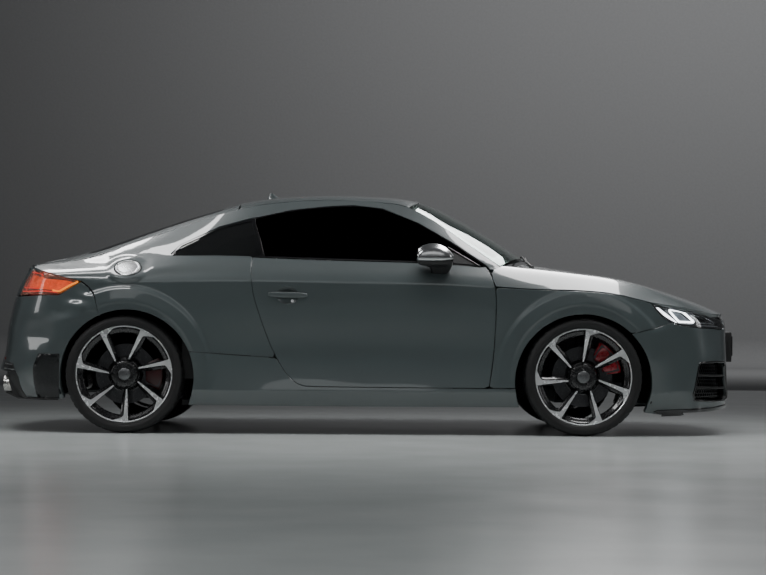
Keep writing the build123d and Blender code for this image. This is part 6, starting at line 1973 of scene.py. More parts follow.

# ---- closing pieces behind the skins: door posts, sill boxes, hinges, strikers ----------------------------
for s_, t_ in ((1, "left"), (-1, "right")):
    sb = []
    for x in (-900, -600, -300, 0, 300, 600, 840):
        yo = float(side_y(V([float(x)]), V([240.0]))[0])
        sb.append([(x, s_ * y, z) for y, z in ((706, 154), (yo - 74, 154), (yo - 26, 226), (yo - 26, 244), (yo - 40, 254), (712, 254), (706, 246))])
    put(loft(f"sill_box_{t_}", sb, ("paint",), sharp=30), "body", "body_sides", slot="paint")
    post = [[(x, s_ * y, z) for x, y in ((752, 712), (752, 846), (774, 852), (800, 836), (800, 712))] for z in (256, 500, 700, 780)]
    put(bevel(loft(f"hinge_post_{t_}", post, ("paint",), sharp=30), 5, 2, 40), "body", "body_sides", slot="paint")
    for z in (360, 620):
        put(box(f"door_hinge_{t_}_{z}", (740, s_ * 850, z), (26, 22, 58), 5, ("steel_dark",)), "body", "body_sides", slot="paint")
    bp = []
    for z, xa, xb in ((256, -470, -350), (330, -540, -440), (442, -620, -520), (640, -700, -600), (800, -730, -640), (955, -730, -640)):
        yo = float(side_y(V([float(xb)]), V([float(z)]))[0])
        bp.append([(x, s_ * y, z) for x, y in ((xa, yo - 110), (xa, yo - 27), (xb - 8, yo - 27), (xb - 2, yo - 36), (xb - 14, yo - 110))])
    put(loft(f"lock_post_{t_}", bp, ("paint",), sharp=30), "body", "body_sides", slot="paint")
    put(box(f"striker_{t_}", (-610, s_ * 838, 640), (10, 26, 46), 3, ("steel",)), "body", "body_sides", slot="paint")

# =====================================================================
# Cabin: padded pieces
# =====================================================================
def pad_local(W, L, T, pull=5, p=4.0, voxel=10, cap=9, channels=(), edge_seam=True, crown=1.0, frames=20):
    """A stuffed pad lying flat at the origin: length on x, width on y, height on z. Returns coordinates and faces."""
    nu, nv = 22, 22
    u = np.linspace(-1, 1, nu + 1); v = np.linspace(-1, 1, nv + 1)
    verts, faces = [], []
    for side_ in (1, -1):
        for a in u:
            for b in v:
                # square to rounded outline
                r = max(abs(a), abs(b), 1e-9)
                e = (abs(a / r) ** p + abs(b / r) ** p) ** (1 / p) if r > 1e-6 else 1
                sa, sb = a / e, b / e
                x = sa * (L / 2 - pull * (1 - abs(sb)) ** 1.0 * abs(sa) ** 4)
                y = sb * (W / 2 - pull * (1 - abs(sa)) ** 1.0 * abs(sb) ** 4)
                h = (max(0, 1 - abs(a) ** 5) ** 0.45) * (max(0, 1 - abs(b) ** 5) ** 0.45)
                z = T * 0.5 + (T * 0.5 * h * crown if side_ > 0 else -T * 0.5 * h)
                verts.append((x / 1000, y / 1000, z / 1000))
    n1 = (nu + 1) * (nv + 1)
    for k in (0, 1):
        for i in range(nu):
            for j in range(nv):
                f = [k * n1 + i * (nv + 1) + j, k * n1 + (i + 1) * (nv + 1) + j, k * n1 + (i + 1) * (nv + 1) + j + 1, k * n1 + i * (nv + 1) + j + 1]
                faces.append(f if k == 0 else f[::-1])
    me = bpy.data.meshes.new("pad_tmp")
    me.from_pydata(verts, [], faces)
    bm = bmesh.new(); bm.from_mesh(me)
    bmesh.ops.remove_doubles(bm, verts=bm.verts, dist=1e-5)
    bmesh.ops.recalc_face_normals(bm, faces=bm.faces)
    bm.to_mesh(me); bm.free()
    o = bpy.data.objects.new("pad_tmp", me)
    bpy.context.scene.collection.objects.link(o)
    m = o.modifiers.new("Remesh", "REMESH"); m.mode = "VOXEL"; m.voxel_size = voxel / 1000
    dg = bpy.context.evaluated_depsgraph_get()
    me2 = bpy.data.meshes.new_from_object(o.evaluated_get(dg))
    o.modifiers.clear(); o.data = me2
    n = len(me2.vertices)
    c0 = np.empty(n * 3); me2.vertices.foreach_get("co", c0); c0 = c0.reshape(-1, 3)
    cl = o.modifiers.new("Cloth", "CLOTH")
    st = cl.settings
    st.quality = 4
    st.mass = 0.3
    st.tension_stiffness = 18; st.compression_stiffness = 18; st.shear_stiffness = 8; st.bending_stiffness = 2.0
    st.use_pressure = True; st.uniform_pressure_force = 4
    st.effector_weights.gravity = 0
    cl.collision_settings.use_collision = False
    cl.collision_settings.use_self_collision = False
    cl.point_cache.frame_start = 1; cl.point_cache.frame_end = frames
    sc = bpy.context.scene
    for f in range(1, frames + 1):
        sc.frame_set(f)
    dg = bpy.context.evaluated_depsgraph_get()
    ev = o.evaluated_get(dg)
    c1 = np.empty(n * 3); ev.data.vertices.foreach_get("co", c1); c1 = c1.reshape(-1, 3)
    o.modifiers.clear()
    sc.frame_set(1)
    d = c1 - c0
    L_ = np.linalg.norm(d, axis=1, keepdims=True)
    lim = cap / 1000 * (0.35 + 0.65 * np.clip(c0[:, 2:3] / (T / 1000), 0, 1))
    c0 = c0 + d * np.minimum(1, lim / np.maximum(L_, 1e-9))
    me2.vertices.foreach_set("co", c0.ravel())
    me2.update()
    ss = o.modifiers.new("Subdiv", "SUBSURF"); ss.levels = 1; ss.render_levels = 1
    dg = bpy.context.evaluated_depsgraph_get()
    me3 = bpy.data.meshes.new_from_object(o.evaluated_get(dg))
    o.modifiers.clear()
    n = len(me3.vertices)
    c = np.empty(n * 3); me3.vertices.foreach_get("co", c); c = c.reshape(-1, 3) * 1000
    nn = np.empty(n * 3); me3.vertices.foreach_get("normal", nn); nn = nn.reshape(-1, 3)
    # sewn channels: lines of x (across) or y (along), pressed in on the top
    dep = np.zeros(n)
    for ax, at, lo, hi in channels:
        k, q = (0, 1) if ax == "x" else (1, 0)
        w = np.exp(-((c[:, k] - at) / 4.6) ** 2) * smooth((c[:, q] - lo + 10) / 14) * smooth((hi + 10 - c[:, q]) / 14)
        dep = np.maximum(dep, w)
    top = smooth((nn[:, 2] - 0.15) / 0.4)
    c = c - nn * (dep * top * 6.0)[:, None]
    if edge_seam:
        # the pinch at the welt round the pad's edge
        mid = T * 0.5
        w = np.exp(-((c[:, 2] - mid) / 4.0) ** 2) * (1 - np.abs(nn[:, 2])) ** 1
        c = c - nn * (w * 2.5)[:, None]
    fs = [tuple(p_.vertices) for p_ in me3.polygons]
    for d_ in (me, me2, me3):
        pass
    bpy.data.objects.remove(o)
    for d_ in (me, me2, me3):
        bpy.data.meshes.remove(d_)
    return c, fs


def pad_put(name, local, place, mats=("leather",)):
    c, fs = local
    P = place(c[:, 0], c[:, 1], c[:, 2])
    me = bpy.data.meshes.new(name)
    me.from_pydata((P / 1000).tolist(), [], fs)
    bm = bmesh.new(); bm.from_mesh(me)
    bmesh.ops.recalc_face_normals(bm, faces=bm.faces)
    for f in bm.faces:
        f.smooth = True
    bm.to_mesh(me); bm.free()
    for m in mats:
        me.materials.append(MAT[m])
    o = bpy.data.objects.new(name, me)
    bpy.context.scene.collection.objects.link(o)
    return o


def line_frame(pts):
    """A side-view curve: distance along to (x, z) and its normal, for wrapping pads on."""
    q = V(pts, float)
    d = np.concatenate([[0], np.cumsum(np.linalg.norm(np.diff(q, axis=0), axis=1))])
    s = Spl(d, q)

    def f(t, off):
        P = s(t)
        e = (s(t + 1) - s(t - 1))
        e /= np.linalg.norm(e, axis=-1, keepdims=True)
        nrm = np.stack([-e[..., 1], e[..., 0]], -1)
        return P + nrm * np.asarray(off)[..., None]
    return f, d[-1]


print("pads start")
PADS = {
    "cushion": pad_local(292, 395, 62, channels=[("x", v, -118, 118) for v in (-110, -55, 0, 55, 110)] + [("y", -112, -150, 150), ("y", 112, -150, 150)]),
    "thigh": pad_local(98, 430, 92, pull=3, voxel=12, cap=7, channels=[("y", 0, -190, 190)]),
    "back": pad_local(286, 500, 62, channels=[("x", v, -108, 108) for v in (-180, -120, -60, 0, 60, 120)] + [("y", -104, -200, 200), ("y", 104, -200, 200)]),
    "side": pad_local(92, 480, 96, pull=3, voxel=12, cap=7, channels=[("y", 0, -215, 215)]),
    "head": pad_local(252, 176, 74, pull=4, cap=7, channels=[("x", -52, -92, 92)]),
    "rear_cushion": pad_local(440, 330, 66, voxel=15, channels=[("x", v, -150, 150) for v in (-80, -20, 40)] + [("y", -150, -110, 110), ("y", 150, -110, 110)]),
    "rear_back": pad_local(430, 430, 58, voxel=15, channels=[("x", v, -140, 140) for v in (-120, -40, 40, 120)] + [("y", -140, -160, 160), ("y", 140, -160, 160)]),
}
print("pads end")

seat_line, seat_len = line_frame([(258, 392), (180, 388), (60, 372), (-40, 362), (-95, 362)])
back_line, back_len = line_frame([(-88, 425), (-104, 520), (-146, 660), (-186, 800), (-212, 930)])
for s_, t_ in ((1, "left"), (-1, "right")):
    yc = s_ * 382
    def on_seat(dy, dz=0, tilt=0.0, shift=0.0, sy=1):
        def place(x, y, z):
            P = seat_line(seat_len / 2 - x + shift, 0 * x)
            Z = (z + dz)
            yy = yc + sy * dy + y
            # normal of the seat line points down or up: keep it up
            P = seat_line(seat_len / 2 - x + shift, -(Z - 40 + tilt * y * sy))
            return np.stack([P[:, 0], yy, P[:, 1]], -1)
        return place

    def on_back(dy, dz=0, tilt=0.0, shift=0.0, sy=1, narrow=0.0):
        def place(x, y, z):
            tt = back_len / 2 + x + shift
            P = back_line(tt, -(z + dz - 40 + tilt * y * sy))
            k = 1 - narrow * smooth((tt - back_len * 0.55) / (back_len * 0.5))
            return np.stack([P[:, 0], yc + (sy * dy + y) * k, P[:, 1]], -1)
        return place
    obs = []
    o = pad_put(f"seat_cushion_{t_}", PADS["cushion"], on_seat(0, -12)); obs.append(o)
    for q in (1, -1):
        o = pad_put(f"seat_thigh_{t_}_{'a' if q > 0 else 'b'}", PADS["thigh"], on_seat(190, -22, tilt=0.16, sy=q)); obs.append(o)
        o = pad_put(f"seat_side_{t_}_{'a' if q > 0 else 'b'}", PADS["side"], on_back(180, -22, tilt=0.22, sy=q, narrow=0.16, shift=-8)); obs.append(o)
    o = pad_put(f"seat_back_{t_}", PADS["back"], on_back(0, -14, narrow=0.12)); obs.append(o)
    head_line, head_len = line_frame([(-232, 912), (-252, 985), (-276, 1072)])
    def on_head(x, y, z):
        P = head_line(head_len / 2 + x, -(z - 26))
        return np.stack([P[:, 0], yc + y * (1 - 0.1 * smooth((x + 20) / 100)), P[:, 1]], -1)
    o = pad_put(f"seat_head_{t_}", PADS["head"], on_head); obs.append(o)
    for o in obs:
        put(o, "body", "front_seats", slot="seat_leather")
    # hard back shell, base, rails, belt clip
    shell = []
    for z, xb, w, d in ((300, -222, 178, 62), (330, -232, 212, 74), (440, -262, 226, 84), (600, -300, 224, 86), (760, -332, 212, 82), (880, -350, 182, 74), (960, -358, 146, 66), (1020, -358, 124, 60), (1058, -350, 112, 44)):
        ring = []
        for k in range(36):
            a = 2 * math.pi * k / 36
            c, sn = math.cos(a), math.sin(a)
            ring.append((xb + d / 2 + d / 2 * abs(c) ** 0.7 * (1 if c > 0 else -1), yc + w * abs(sn) ** 0.55 * (1 if sn > 0 else -1), z))
        shell.append(ring)
    put(loft(f"seat_shell_{t_}", shell, ("dark_plastic",), sharp=45), "body", "front_seats", slot="seat_leather")
    base = []
    for z, x0, x1, w in ((212, -190, 236, 186), (226, -200, 250, 205), (292, -204, 266, 232), (318, -200, 272, 236), (330, -190, 270, 230)):
        base.append([((x0 + x1) / 2 + (x1 - x0) / 2 * abs(math.cos(a)) ** 0.45 * (1 if math.cos(a) > 0 else -1), yc + w * abs(math.sin(a)) ** 0.45 * (1 if math.sin(a) > 0 else -1), z + (18 * max(0, math.cos(a)) if z > 300 else 0)) for a in np.linspace(0, 2 * math.pi, 41)[:-1]])
    put(loft(f"seat_base_{t_}", base, ("dark_plastic",), sharp=35), "body", "front_seats", slot="seat_leather")
    for q in (-150, 150):
        put(bevel(loft(f"seat_rail_{t_}_{q}", [[(x, yc + q + a, b) for a, b in ((-18, 186), (-18, 206), (-9, 213), (9, 213), (18, 206), (18, 186))] for x in (-215, 0, 262)], ("steel_dark",), sharp=30), 2, 2, 40), "body", "front_seats", slot="seat_leather")
    put(tube(f"seat_piping_{t_}", [(float(back_line(V([t]), V([-34.0]))[0, 0]), yc + y, float(back_line(V([t]), V([-34.0]))[0, 1])) for t, y in [(470, -112), (485, -70), (490, 0), (485, 70), (470, 112)]], 3.2, ("stitch",), 8), "body", "front_seats", slot="seat_leather")
    clip = box(f"belt_clip_{t_}", (-150, yc - s_ * 236, 388), (30, 16, 70), 5, ("dark_plastic",))
    put(clip, "body", "front_seats", slot="seat_leather")

rear_line, rear_len = line_frame([(-486, 392), (-600, 392), (-700, 378), (-795, 366)])
rback_line, rback_len = line_frame([(-806, 400), (-846, 520), (-890, 660), (-930, 812)])
for s_, t_ in ((1, "left"), (-1, "right")):
    yc = s_ * 272
    o = pad_put(f"rear_cushion_{t_}", PADS["rear_cushion"], lambda x, y, z: (lambda P: np.stack([P[:, 0], yc + y, P[:, 1]], -1))(rear_line(rear_len / 2 - x, (z - 40))))
    put(o, "body", "rear_seats", slot="seat_leather")
    o = pad_put(f"rear_back_{t_}", PADS["rear_back"], lambda x, y, z: (lambda P: np.stack([P[:, 0], yc + y * (1 - 0.06 * smooth(x / 200)), P[:, 1]], -1))(rback_line(rback_len / 2 + x, -(z - 36))))
    put(o, "body", "rear_seats", slot="seat_leather")
put(bevel(loft("rear_seat_base", [[(x, y, z) for x, z in ((-492, 190), (-488, 340), (-520, 372), (-780, 348), (-860, 520), (-930, 780), (-962, 800), (-964, 190))] for y in (-552, -270, 0, 270, 552)], ("dark_plastic",), sharp=25), 8, 2, 30), "body", "rear_seats", slot="seat_leather")
put(loft("rear_tunnel_tray", [[(x, y, z) for x, z in ((-500, 380), (-520, 416), (-780, 396), (-800, 420), (-800, 372), (-520, 372))] for y in (-36, -30, 30, 36)], ("dark_plastic",), sharp=30), "body", "rear_seats", slot="seat_leather")

# =====================================================================
# Cabin: floor, roof lining, dash, console, wheel, door trims
# =====================================================================
def carpet_f(x, y):
    x = np.asarray(x, float); y = np.asarray(y, float)
    z = 186 + 190 * smooth((x - 600) / 230) + 104 * (1 - smooth((np.abs(y) - 92) / 34)) * (1 - smooth((x - 800) / 60)) * smooth((x + 480) / 60)
    return np.stack([x, y, z], -1)


put(panel("cabin_carpet", carpet_f, [(832, -600), (832, 600), (560, 696), (-900, 690), (-900, -690), (560, -696)], step=34, edge=20, depth=4, mats=("carpet",)), "body", slot="underbody")
fw = lambda u, v: np.stack([838 - 26 * smooth((np.asarray(v, float) - 420) / 300), np.asarray(u, float), np.asarray(v, float)], -1)
put(panel("firewall_lining", fw, [(-640, 372), (640, 372), (690, 560), (700, 800), (560, 850), (-560, 850), (-700, 800), (-690, 560)], flip=-1, step=40, edge=22, depth=6, mats=("carpet",)), "body", slot="underbody")
for s_, t_ in ((1, "left"), (-1, "right")):
    mat_ = panel(f"floor_mat_{t_}", lambda u, v: carpet_f(u, v) + V([0, 0, 4.0]), round_loop([(300, s_ * 390 - 205), (640, s_ * 390 - 190), (640, s_ * 390 + 190), (300, s_ * 390 + 205)], 30), step=34, edge=16, depth=5, hem=2.5, mats=("carpet",))
    put(mat_, "body", slot="underbody")
# boot: carpeted floor and side linings, load lip trim
bf = lambda u, v: np.stack([np.asarray(u, float), np.asarray(v, float), 402 + 0 * np.asarray(u, float)], -1)
put(panel("boot_carpet", bf, round_loop([(-985, -560), (-1840, -540), (-1840, 540), (-985, 560)], 40), flip=-1 if False else 1, step=40, edge=20, depth=5, hem=2.5, mats=("carpet",)), "body", slot="underbody")
for s_, t_ in ((1, "left"), (-1, "right")):
    def bs(u, v, s_=s_):
        u = np.asarray(u, float); v = np.asarray(v, float)
        y = 560 + 60 * smooth((v - 560) / 200) - 40 * smooth((-1500 - u) / 300) - 60 * np.exp(-((u + 1254) / 260) ** 2) * (1 - smooth((v - 620) / 120))
        return np.stack([u, s_ * y, v], -1)
    put(panel(f"boot_side_{t_}", bs, [(-985, 404), (-1850, 404), (-1850, 740), (-1700, 800), (-1500, 850), (-1280, 900), (-1100, 925), (-985, 940)], flip=s_, step=36, edge=18, depth=6, hem=2, mats=("carpet",)), "body", slot="underbody")
    def rs(u, v, s_=s_):
        u = np.asarray(u, float); v = np.asarray(v, float)
        y = side_y(np.minimum(u, -300), v) - 62 - 40 * (1 - smooth((v - 500) / 200))
        return np.stack([u, s_ * y, v], -1)
    put(panel(f"cabin_side_{t_}", rs, [(-585, 300), (-985, 300), (-985, 900), (-800, 925), (-690, 925), (-640, 840)], flip=s_, step=34, edge=18, depth=6, hem=2, mats=("dark_plastic",)), "body", slot="underbody")
put(bevel(loft("boot_lip", [[(x, y, z) for x, z in ((-1848, 396), (-1842, 700), (-1850, 716), (-1898, 742), (-1904, 728), (-1884, 700), (-1886, 400))] for y in (-540, -300, 0, 300, 540)], ("dark_plastic",), sharp=30), 3, 2, 35), "body", slot="underbody")
# roof lining
rh = [(330, 0), (322, 300), (300, 470), (235, 560), (0, 556), (-300, 545), (-560, 520), (-640, 500), (-655, 250), (-655, 0)]
put(panel("headliner", roof_f, sym(rh), step=44, edge=24, lift=-26, depth=5, hem=2, mats=("headliner",)), "body", "roof_panel", slot="paint")
for s_ in (1, -1):
    pv = roof_f(V([262.0]), V([s_ * 330.0]))[0]
    put(bevel(loft(f"sun_visor_{s_}", [[(x, s_ * y, float(roof_f(V([float(x)]), V([float(y)]))[0, 2]) - dz) for x, y in ((318, 120), (300, 500), (180, 520), (170, 130))] for dz in (36, 50)], ("headliner",), sharp=30), 5, 2, 40), "body", "roof_panel", slot="paint")
put(turned("mirror_inner_stem", [(0, 0), (10, 0), (9, 24), (6, 40), (6, 62), (0, 62)], (330, 0, 1222), (0.35, 0, 1), 16, ("dark_plastic",)), "body", "windscreen", slot="black_trim")
put(loft("mirror_inner", [mirror_ring(300 + dx, 0, 1212, ry, rz, p=3.4) for dx, ry, rz in ((0, 108, 27), (3, 114, 32), (12, 112, 31), (22, 92, 24), (27, 60, 14))], ("dark_plastic",), sharp=40), "body", "windscreen", slot="black_trim")
put(panel("mirror_inner_glass", lambda u, v: np.stack([0 * np.asarray(u, float) + 299.0, np.asarray(u, float), np.asarray(v, float)], -1), [(106 * abs(math.cos(t)) ** 0.6 * (1 if math.cos(t) > 0 else -1), 1212 + 25 * abs(math.sin(t)) ** 0.6 * (1 if math.sin(t) > 0 else -1)) for t in np.linspace(0, 2 * math.pi, 41)[:-1]], flip=-1, step=20, edge=9, depth=2, hem=0.6, mats=("chrome",)), "body", "windscreen", slot="black_trim")

# dash
ds = []
for y in (-692, -688, -660, -560, -400, -250, -120, 0, 110, 200, 250, 300, 385, 470, 520, 570, 640, 688, 692):
    hood = 26 * (smooth((y - 205) / 60) * (1 - smooth((y - 505) / 60)))
    e = 6 if abs(y) > 690 else 0
    curve = 34 * (y / 690.0) ** 2
    pts = [(600, 590 + e), (568, 640), (560, 690), (572, 728), (560, 744), (551, 770), (549, 800), (566, 836), (590, 858 + hood * 0.6), (616, 872 + hood), (660, 884 + hood), (705, 890 + hood * 0.5), (770, 890), (850, 884), (880, 876), (868, 862), (740, 800), (735, 590 + e)]
    ds.append([(x + (curve * 0.5 if x < 620 else 0) - (40 * smooth((abs(y) - 500) / 190) if x > 780 else 0), y, z - e) for x, z in pts])
put(loft("dash_top", ds, ("dark_plastic",), sharp=48), "body", "dashboard", slot="dark_plastic")
band_ = []
for y in (-676, -600, -400, -200, -60, 60, 150, 205):
    cv = 17 * (y / 690.0) ** 2
    band_.append([(x + cv, y, z) for x, z in ((556, 736), (545, 744), (541, 768), (541, 790), (548, 800), (560, 800), (566, 736))])
put(bevel(loft("dash_trim", band_, ("satin_metal",), sharp=30), 2, 2, 30), "body", "dashboard", slot="dark_plastic")
put(bevel(loft("dash_kick", [[(x, y, z) for x, z in ((592, 470), (570, 600), (600, 606), (700, 600), (760, 470))] for y in (-640, -300, -112)], ("dark_plastic",), sharp=30), 10, 3, 30), "body", "dashboard", slot="dark_plastic")
put(bevel(loft("dash_knee", [[(x, y, z) for x, z in ((620, 480), (588, 596), (600, 606), (700, 600), (760, 480))] for y in (112, 300, 640)], ("dark_plastic",), sharp=30), 10, 3, 30), "body", "dashboard", slot="dark_plastic")
for k, y in enumerate((-598, -92, 0, 92, 598)):
    cx = 545 + 17 * (y / 690.0) ** 2
    pv = (cx, y, 770)
    parts = [turned("vent_ring", [(31, -4), (31, 3), (34, 9), (39, 10), (42, 6), (43, -2), (43, -14), (31, -14), (31, -4)], pv, (-1, 0, 0.05), 48, ("satin_metal",)),
             turned("vent_core", [(0, 4), (11, 3.5), (13, 1), (13.5, -10), (31, -12), (31, -16), (0, -16)], pv, (-1, 0, 0.05), 40, ("gloss_black",))]
    for a in range(0, 180, 20):
        ca, sa = math.cos(math.radians(a)), math.sin(math.radians(a))
        for q in (1, -1):
            parts.append(tube(f"vane_{a}_{q}", [(cx - 3, y + q * 12 * ca, 770 + q * 12 * sa), (cx - 3, y + q * 31.5 * ca, 770 + q * 31.5 * sa)], 1.3, ("dark_plastic",), 6))
    put(join_plain(f"dash_vent_{k}", parts), "body", "dashboard", slot="dark_plastic")
put(loft("instrument_hood", [[(x, y + 385, z) for x, z in ((560, 838), (548, 870), (556, 902), (600, 912), (670, 898), (690, 840))] for y in (-176, -150, -60, 60, 150, 176)], ("dark_plastic",), sharp=35), "body", "dashboard", slot="dark_plastic")
scr_ = panel("instrument_screen", lambda u, v: np.stack([545 + (np.asarray(v, float) - 870) * 0.06, np.asarray(u, float), np.asarray(v, float)], -1), round_loop([(385 - 140, 846), (385 + 140, 846), (385 + 132, 896), (385 - 132, 896)], 8), flip=-1, step=26, edge=12, depth=4, hem=1, mats=("gloss_black",))
put(scr_, "body", "dashboard", slot="dark_plastic")
put(tube("glovebox_gap", [(563, -600, 700), (560, -350, 700), (560, -150, 700), (563, -140, 640), (571, -150, 602), (571, -350, 602), (574, -600, 602), (570, -612, 650)], 1.6, ("gloss_black",), 6, closed=True), "body", "dashboard", slot="dark_plastic")

# console
cs_ = []
top = Spl(V([-470., -300, -200, 0, 150, 300, 430, 520, 585]), V([[440.], [462], [470], [474], [477], [482], [535], [568], [600]]))
for x in (-470, -462, -400, -300, -200, -80, 40, 160, 260, 340, 420, 500, 560, 584):
    zt = float(top(V([float(x)]))[0, 0])
    w = 100 + 14 * smooth((x - 300) / 250)
    e = 8 if x < -465 else 0
    cs_.append([(x, y, z) for y, z in ((-w + e, 286), (-w + e, zt - 52), (-w + 6, zt - 18), (-w + 20 + e, zt - 3 - e), (-w + 34, zt - e), (0, zt + 1 - e), (w - 34, zt - e), (w - 20 - e, zt - 3 - e), (w - 6, zt - 18), (w - e, zt - 52), (w - e, 286))])
put(loft("console_body", cs_, ("dark_plastic",), sharp=40), "body", "centre_console", slot="dark_plastic")
tp = lambda u, v: np.stack([np.asarray(u, float), np.asarray(v, float), top(np.ravel(np.asarray(u, float)))[:, 0].reshape(np.shape(u)) + 1.5], -1)
put(panel("console_plate", tp, round_loop([(-40, -62), (260, -66), (520, -84), (520, 84), (260, 66), (-40, 62)], 14), step=30, edge=14, depth=4, hem=1.2, mats=("gloss_black",)), "body", "centre_console", slot="dark_plastic")
put(strip("console_rim", tp, round_loop([(-44, -66), (260, -70), (524, -88), (524, 88), (260, 70), (-44, 66)], 16), 5, 3.2, lift=0.5, mats=("satin_metal",), closed=True), "body", "centre_console", slot="dark_plastic")
arm_pad = pad_put("armrest_pad", PADS["side"], lambda x, y, z: np.stack([-260 + x * 0.62, y * 1.35, 462 + z * 0.36], -1))
put(arm_pad, "body", "centre_console", slot="seat_leather")
gl_ = [turned("gear_boot", [(0, 44), (12, 43), (16, 38), (22, 26), (30, 14), (40, 6), (48, 2), (52, 0), (52, -6)], (195, 0, 479), (-0.08, 0, 1), 40, ("leather",), radial=lambda k, j, r, d: (r * (1 + 0.035 * math.sin(j * 2 * math.pi * 6 / 40) * (1 if 10 < r < 50 else 0)), d)),
       turned("gear_stem", [(6, 0), (6, 60), (0, 60)], (192, 0, 515), (-0.08, 0, 1), 16, ("satin_metal",)),
       turned("gear_knob", [(0, 74), (14, 73), (22, 68), (26, 58), (27, 44), (24, 28), (18, 12), (14, 2), (10, 0), (0, 0)], (189, 0, 545), (-0.08, 0, 1), 32, ("leather",)),
       turned("gear_collar", [(14.5, 0), (19, 2), (19.5, 8), (17, 12), (14, 12)], (189, 0, 546), (-0.08, 0, 1), 32, ("satin_metal",))]
put(join_plain("gear_lever", gl_), "body", "centre_console", slot="dark_plastic")
dial = turned("control_dial", [(0, 16), (14, 16), (20, 15), (23, 12), (24, 4), (26, 1), (30, 0), (30, -4)], (70, 0, 476), (0, 0, 1), 48, ("satin_metal",), rows_mat=None, radial=lambda k, j, r, d: (r * (1 + (0.02 if (j % 2 and 22 < r < 25) else 0)), d))
put(dial, "body", "centre_console", slot="dark_plastic")
cup = turned("cup_holder", [(36, 0), (41, 2.5), (43, 0), (43, -8), (38, -60), (0, -62), (0, -58), (34, -56), (36, -8), (36, 0)], (340, 22, 502), (-0.28, 0, 1), 40, ("satin_metal",), rows_mat=[0, 0, 0] + [0] * 6)
put(cup, "body", "centre_console", slot="dark_plastic")
for k in range(6):
    zt = float(top(V([470.0]))[0, 0])
    put(box(f"console_switch_{k}", (452, -62 + 25 * k, float(top(V([452.0]))[0, 0]) + 4), (26, 20, 8), 2.5, ("dark_plastic",), rot=None), "body", "centre_console", slot="dark_plastic")

# steering wheel
WC, WT = V([400.0, 385.0, 812.0]), math.radians(24)
wx, wy, wn = V([0, 1.0, 0]), V([math.sin(WT), 0, math.cos(WT)]), V([-math.cos(WT), 0, math.sin(WT)])


def on_wheel(a, b, c=0.0):
    """a to the car's left, b up the wheel, c towards the driver."""
    return tuple(WC + wx * a + wy * b + wn * c)


rim = []
for k in range(96):
    t = 2 * math.pi * k / 96
    a, b = 169 * math.cos(t), 169 * math.sin(t)
    if b < -118:
        f_ = smooth((-118 - b) / 40)
        b = b * (1 - f_) + (-118 - (-118 - b) * 0.35) * f_
    rim.append(V(on_wheel(a, b)))
rings = []
for k in range(96):
    t = rim[(k + 1) % 96] - rim[k - 1]; t /= np.linalg.norm(t)
    o_ = np.cross(t, wn); o_ /= np.linalg.norm(o_)
    ang = 2 * math.pi * k / 96
    fat = 1 + 0.14 * (math.exp(-((ang - math.radians(35)) / 0.18) ** 2) + math.exp(-((ang - math.radians(145)) / 0.18) ** 2))
    rings.append([rim[k] + o_ * 13.2 * fat * math.cos(q) + wn * 15.2 * fat * math.sin(q) for q in np.linspace(0, 2 * math.pi, 19)[:-1]])
rings.append(rings[0])
sw = [loft("wheel_rim", rings, ("leather",), cap=False, sharp=60)]
hubs = []
for c, w, h, p_ in ((-16, 50, 46, 3.2), (-8, 60, 56, 3.2), (4, 64, 60, 3.0), (14, 62, 57, 2.8), (21, 52, 47, 2.6), (25, 36, 32, 2.4), (26, 16, 14, 2.2)):
    hubs.append([on_wheel(w * abs(math.cos(q)) ** (2 / p_) * (1 if math.cos(q) > 0 else -1), h * abs(math.sin(q)) ** (2 / p_) * (1 if math.sin(q) > 0 else -1) - 2, c) for q in np.linspace(0, 2 * math.pi, 49)[:-1]])
sw.append(loft("wheel_hub", hubs, ("leather",), sharp=50))
for a0 in (0, 180, 270):
    ca, sa = math.cos(math.radians(a0)), math.sin(math.radians(a0))
    sec = []
    for r, w, th, cc in ((48, 22, 9, 2), (80, 20, 8, 3), (115, 17, 7, 1), (140, 16, 7, -1), (160 if a0 != 270 else 128, 18, 8, -1)):
        ring = []
        for q in np.linspace(0, 2 * math.pi, 21)[:-1]:
            u_ = w * abs(math.cos(q)) ** 0.6 * (1 if math.cos(q) > 0 else -1)
            v_ = th * abs(math.sin(q)) ** 0.6 * (1 if math.sin(q) > 0 else -1)
            ring.append(on_wheel(r * ca - u_ * sa, r * sa + u_ * ca, cc + v_))
        sec.append(ring)
    sw.append(loft(f"wheel_spoke_{a0}", sec, ("dark_plastic",), sharp=50))
    if a0 != 270:
        sec = []
        for r, w, th, cc in ((62, 15, 2.4, 10.5), (90, 14, 2.4, 10.5), (118, 11, 2.2, 8.4), (146, 9, 2, 6.4)):
            sec.append([on_wheel(r * ca - w * x * sa, r * sa + w * x * ca, cc + th * y) for x, y in ((-1, -1), (-1, 0.4), (-0.85, 1), (0.85, 1), (1, 0.4), (1, -1))])
        sw.append(loft(f"wheel_inlay_{a0}", sec, ("satin_metal",), sharp=35))
        for kk in range(3):
            q = V(on_wheel((76 + 16 * kk) * ca, 1, 13.5))
            sw.append(turned(f"wheel_key_{a0}_{kk}", [(0, 2.2), (4.6, 2.0), (5.4, 0.8), (5.4, -2)], q, tuple(wn), 20, ("gloss_black",)))
for q in (1, -1):
    sec = []
    for b, w, t_ in ((-34, 5, 2.5), (-20, 12, 3), (10, 15, 3), (38, 12, 3), (54, 5, 2.5)):
        sec.append([on_wheel(q * (104 + w * x), b, -24 + t_ * y) for x, y in ((-1, -1), (-1, 1), (1, 1), (1, -1))])
    sw.append(bevel(loft(f"wheel_paddle_{q}", sec, ("satin_metal",), sharp=30), 1, 2, 40))
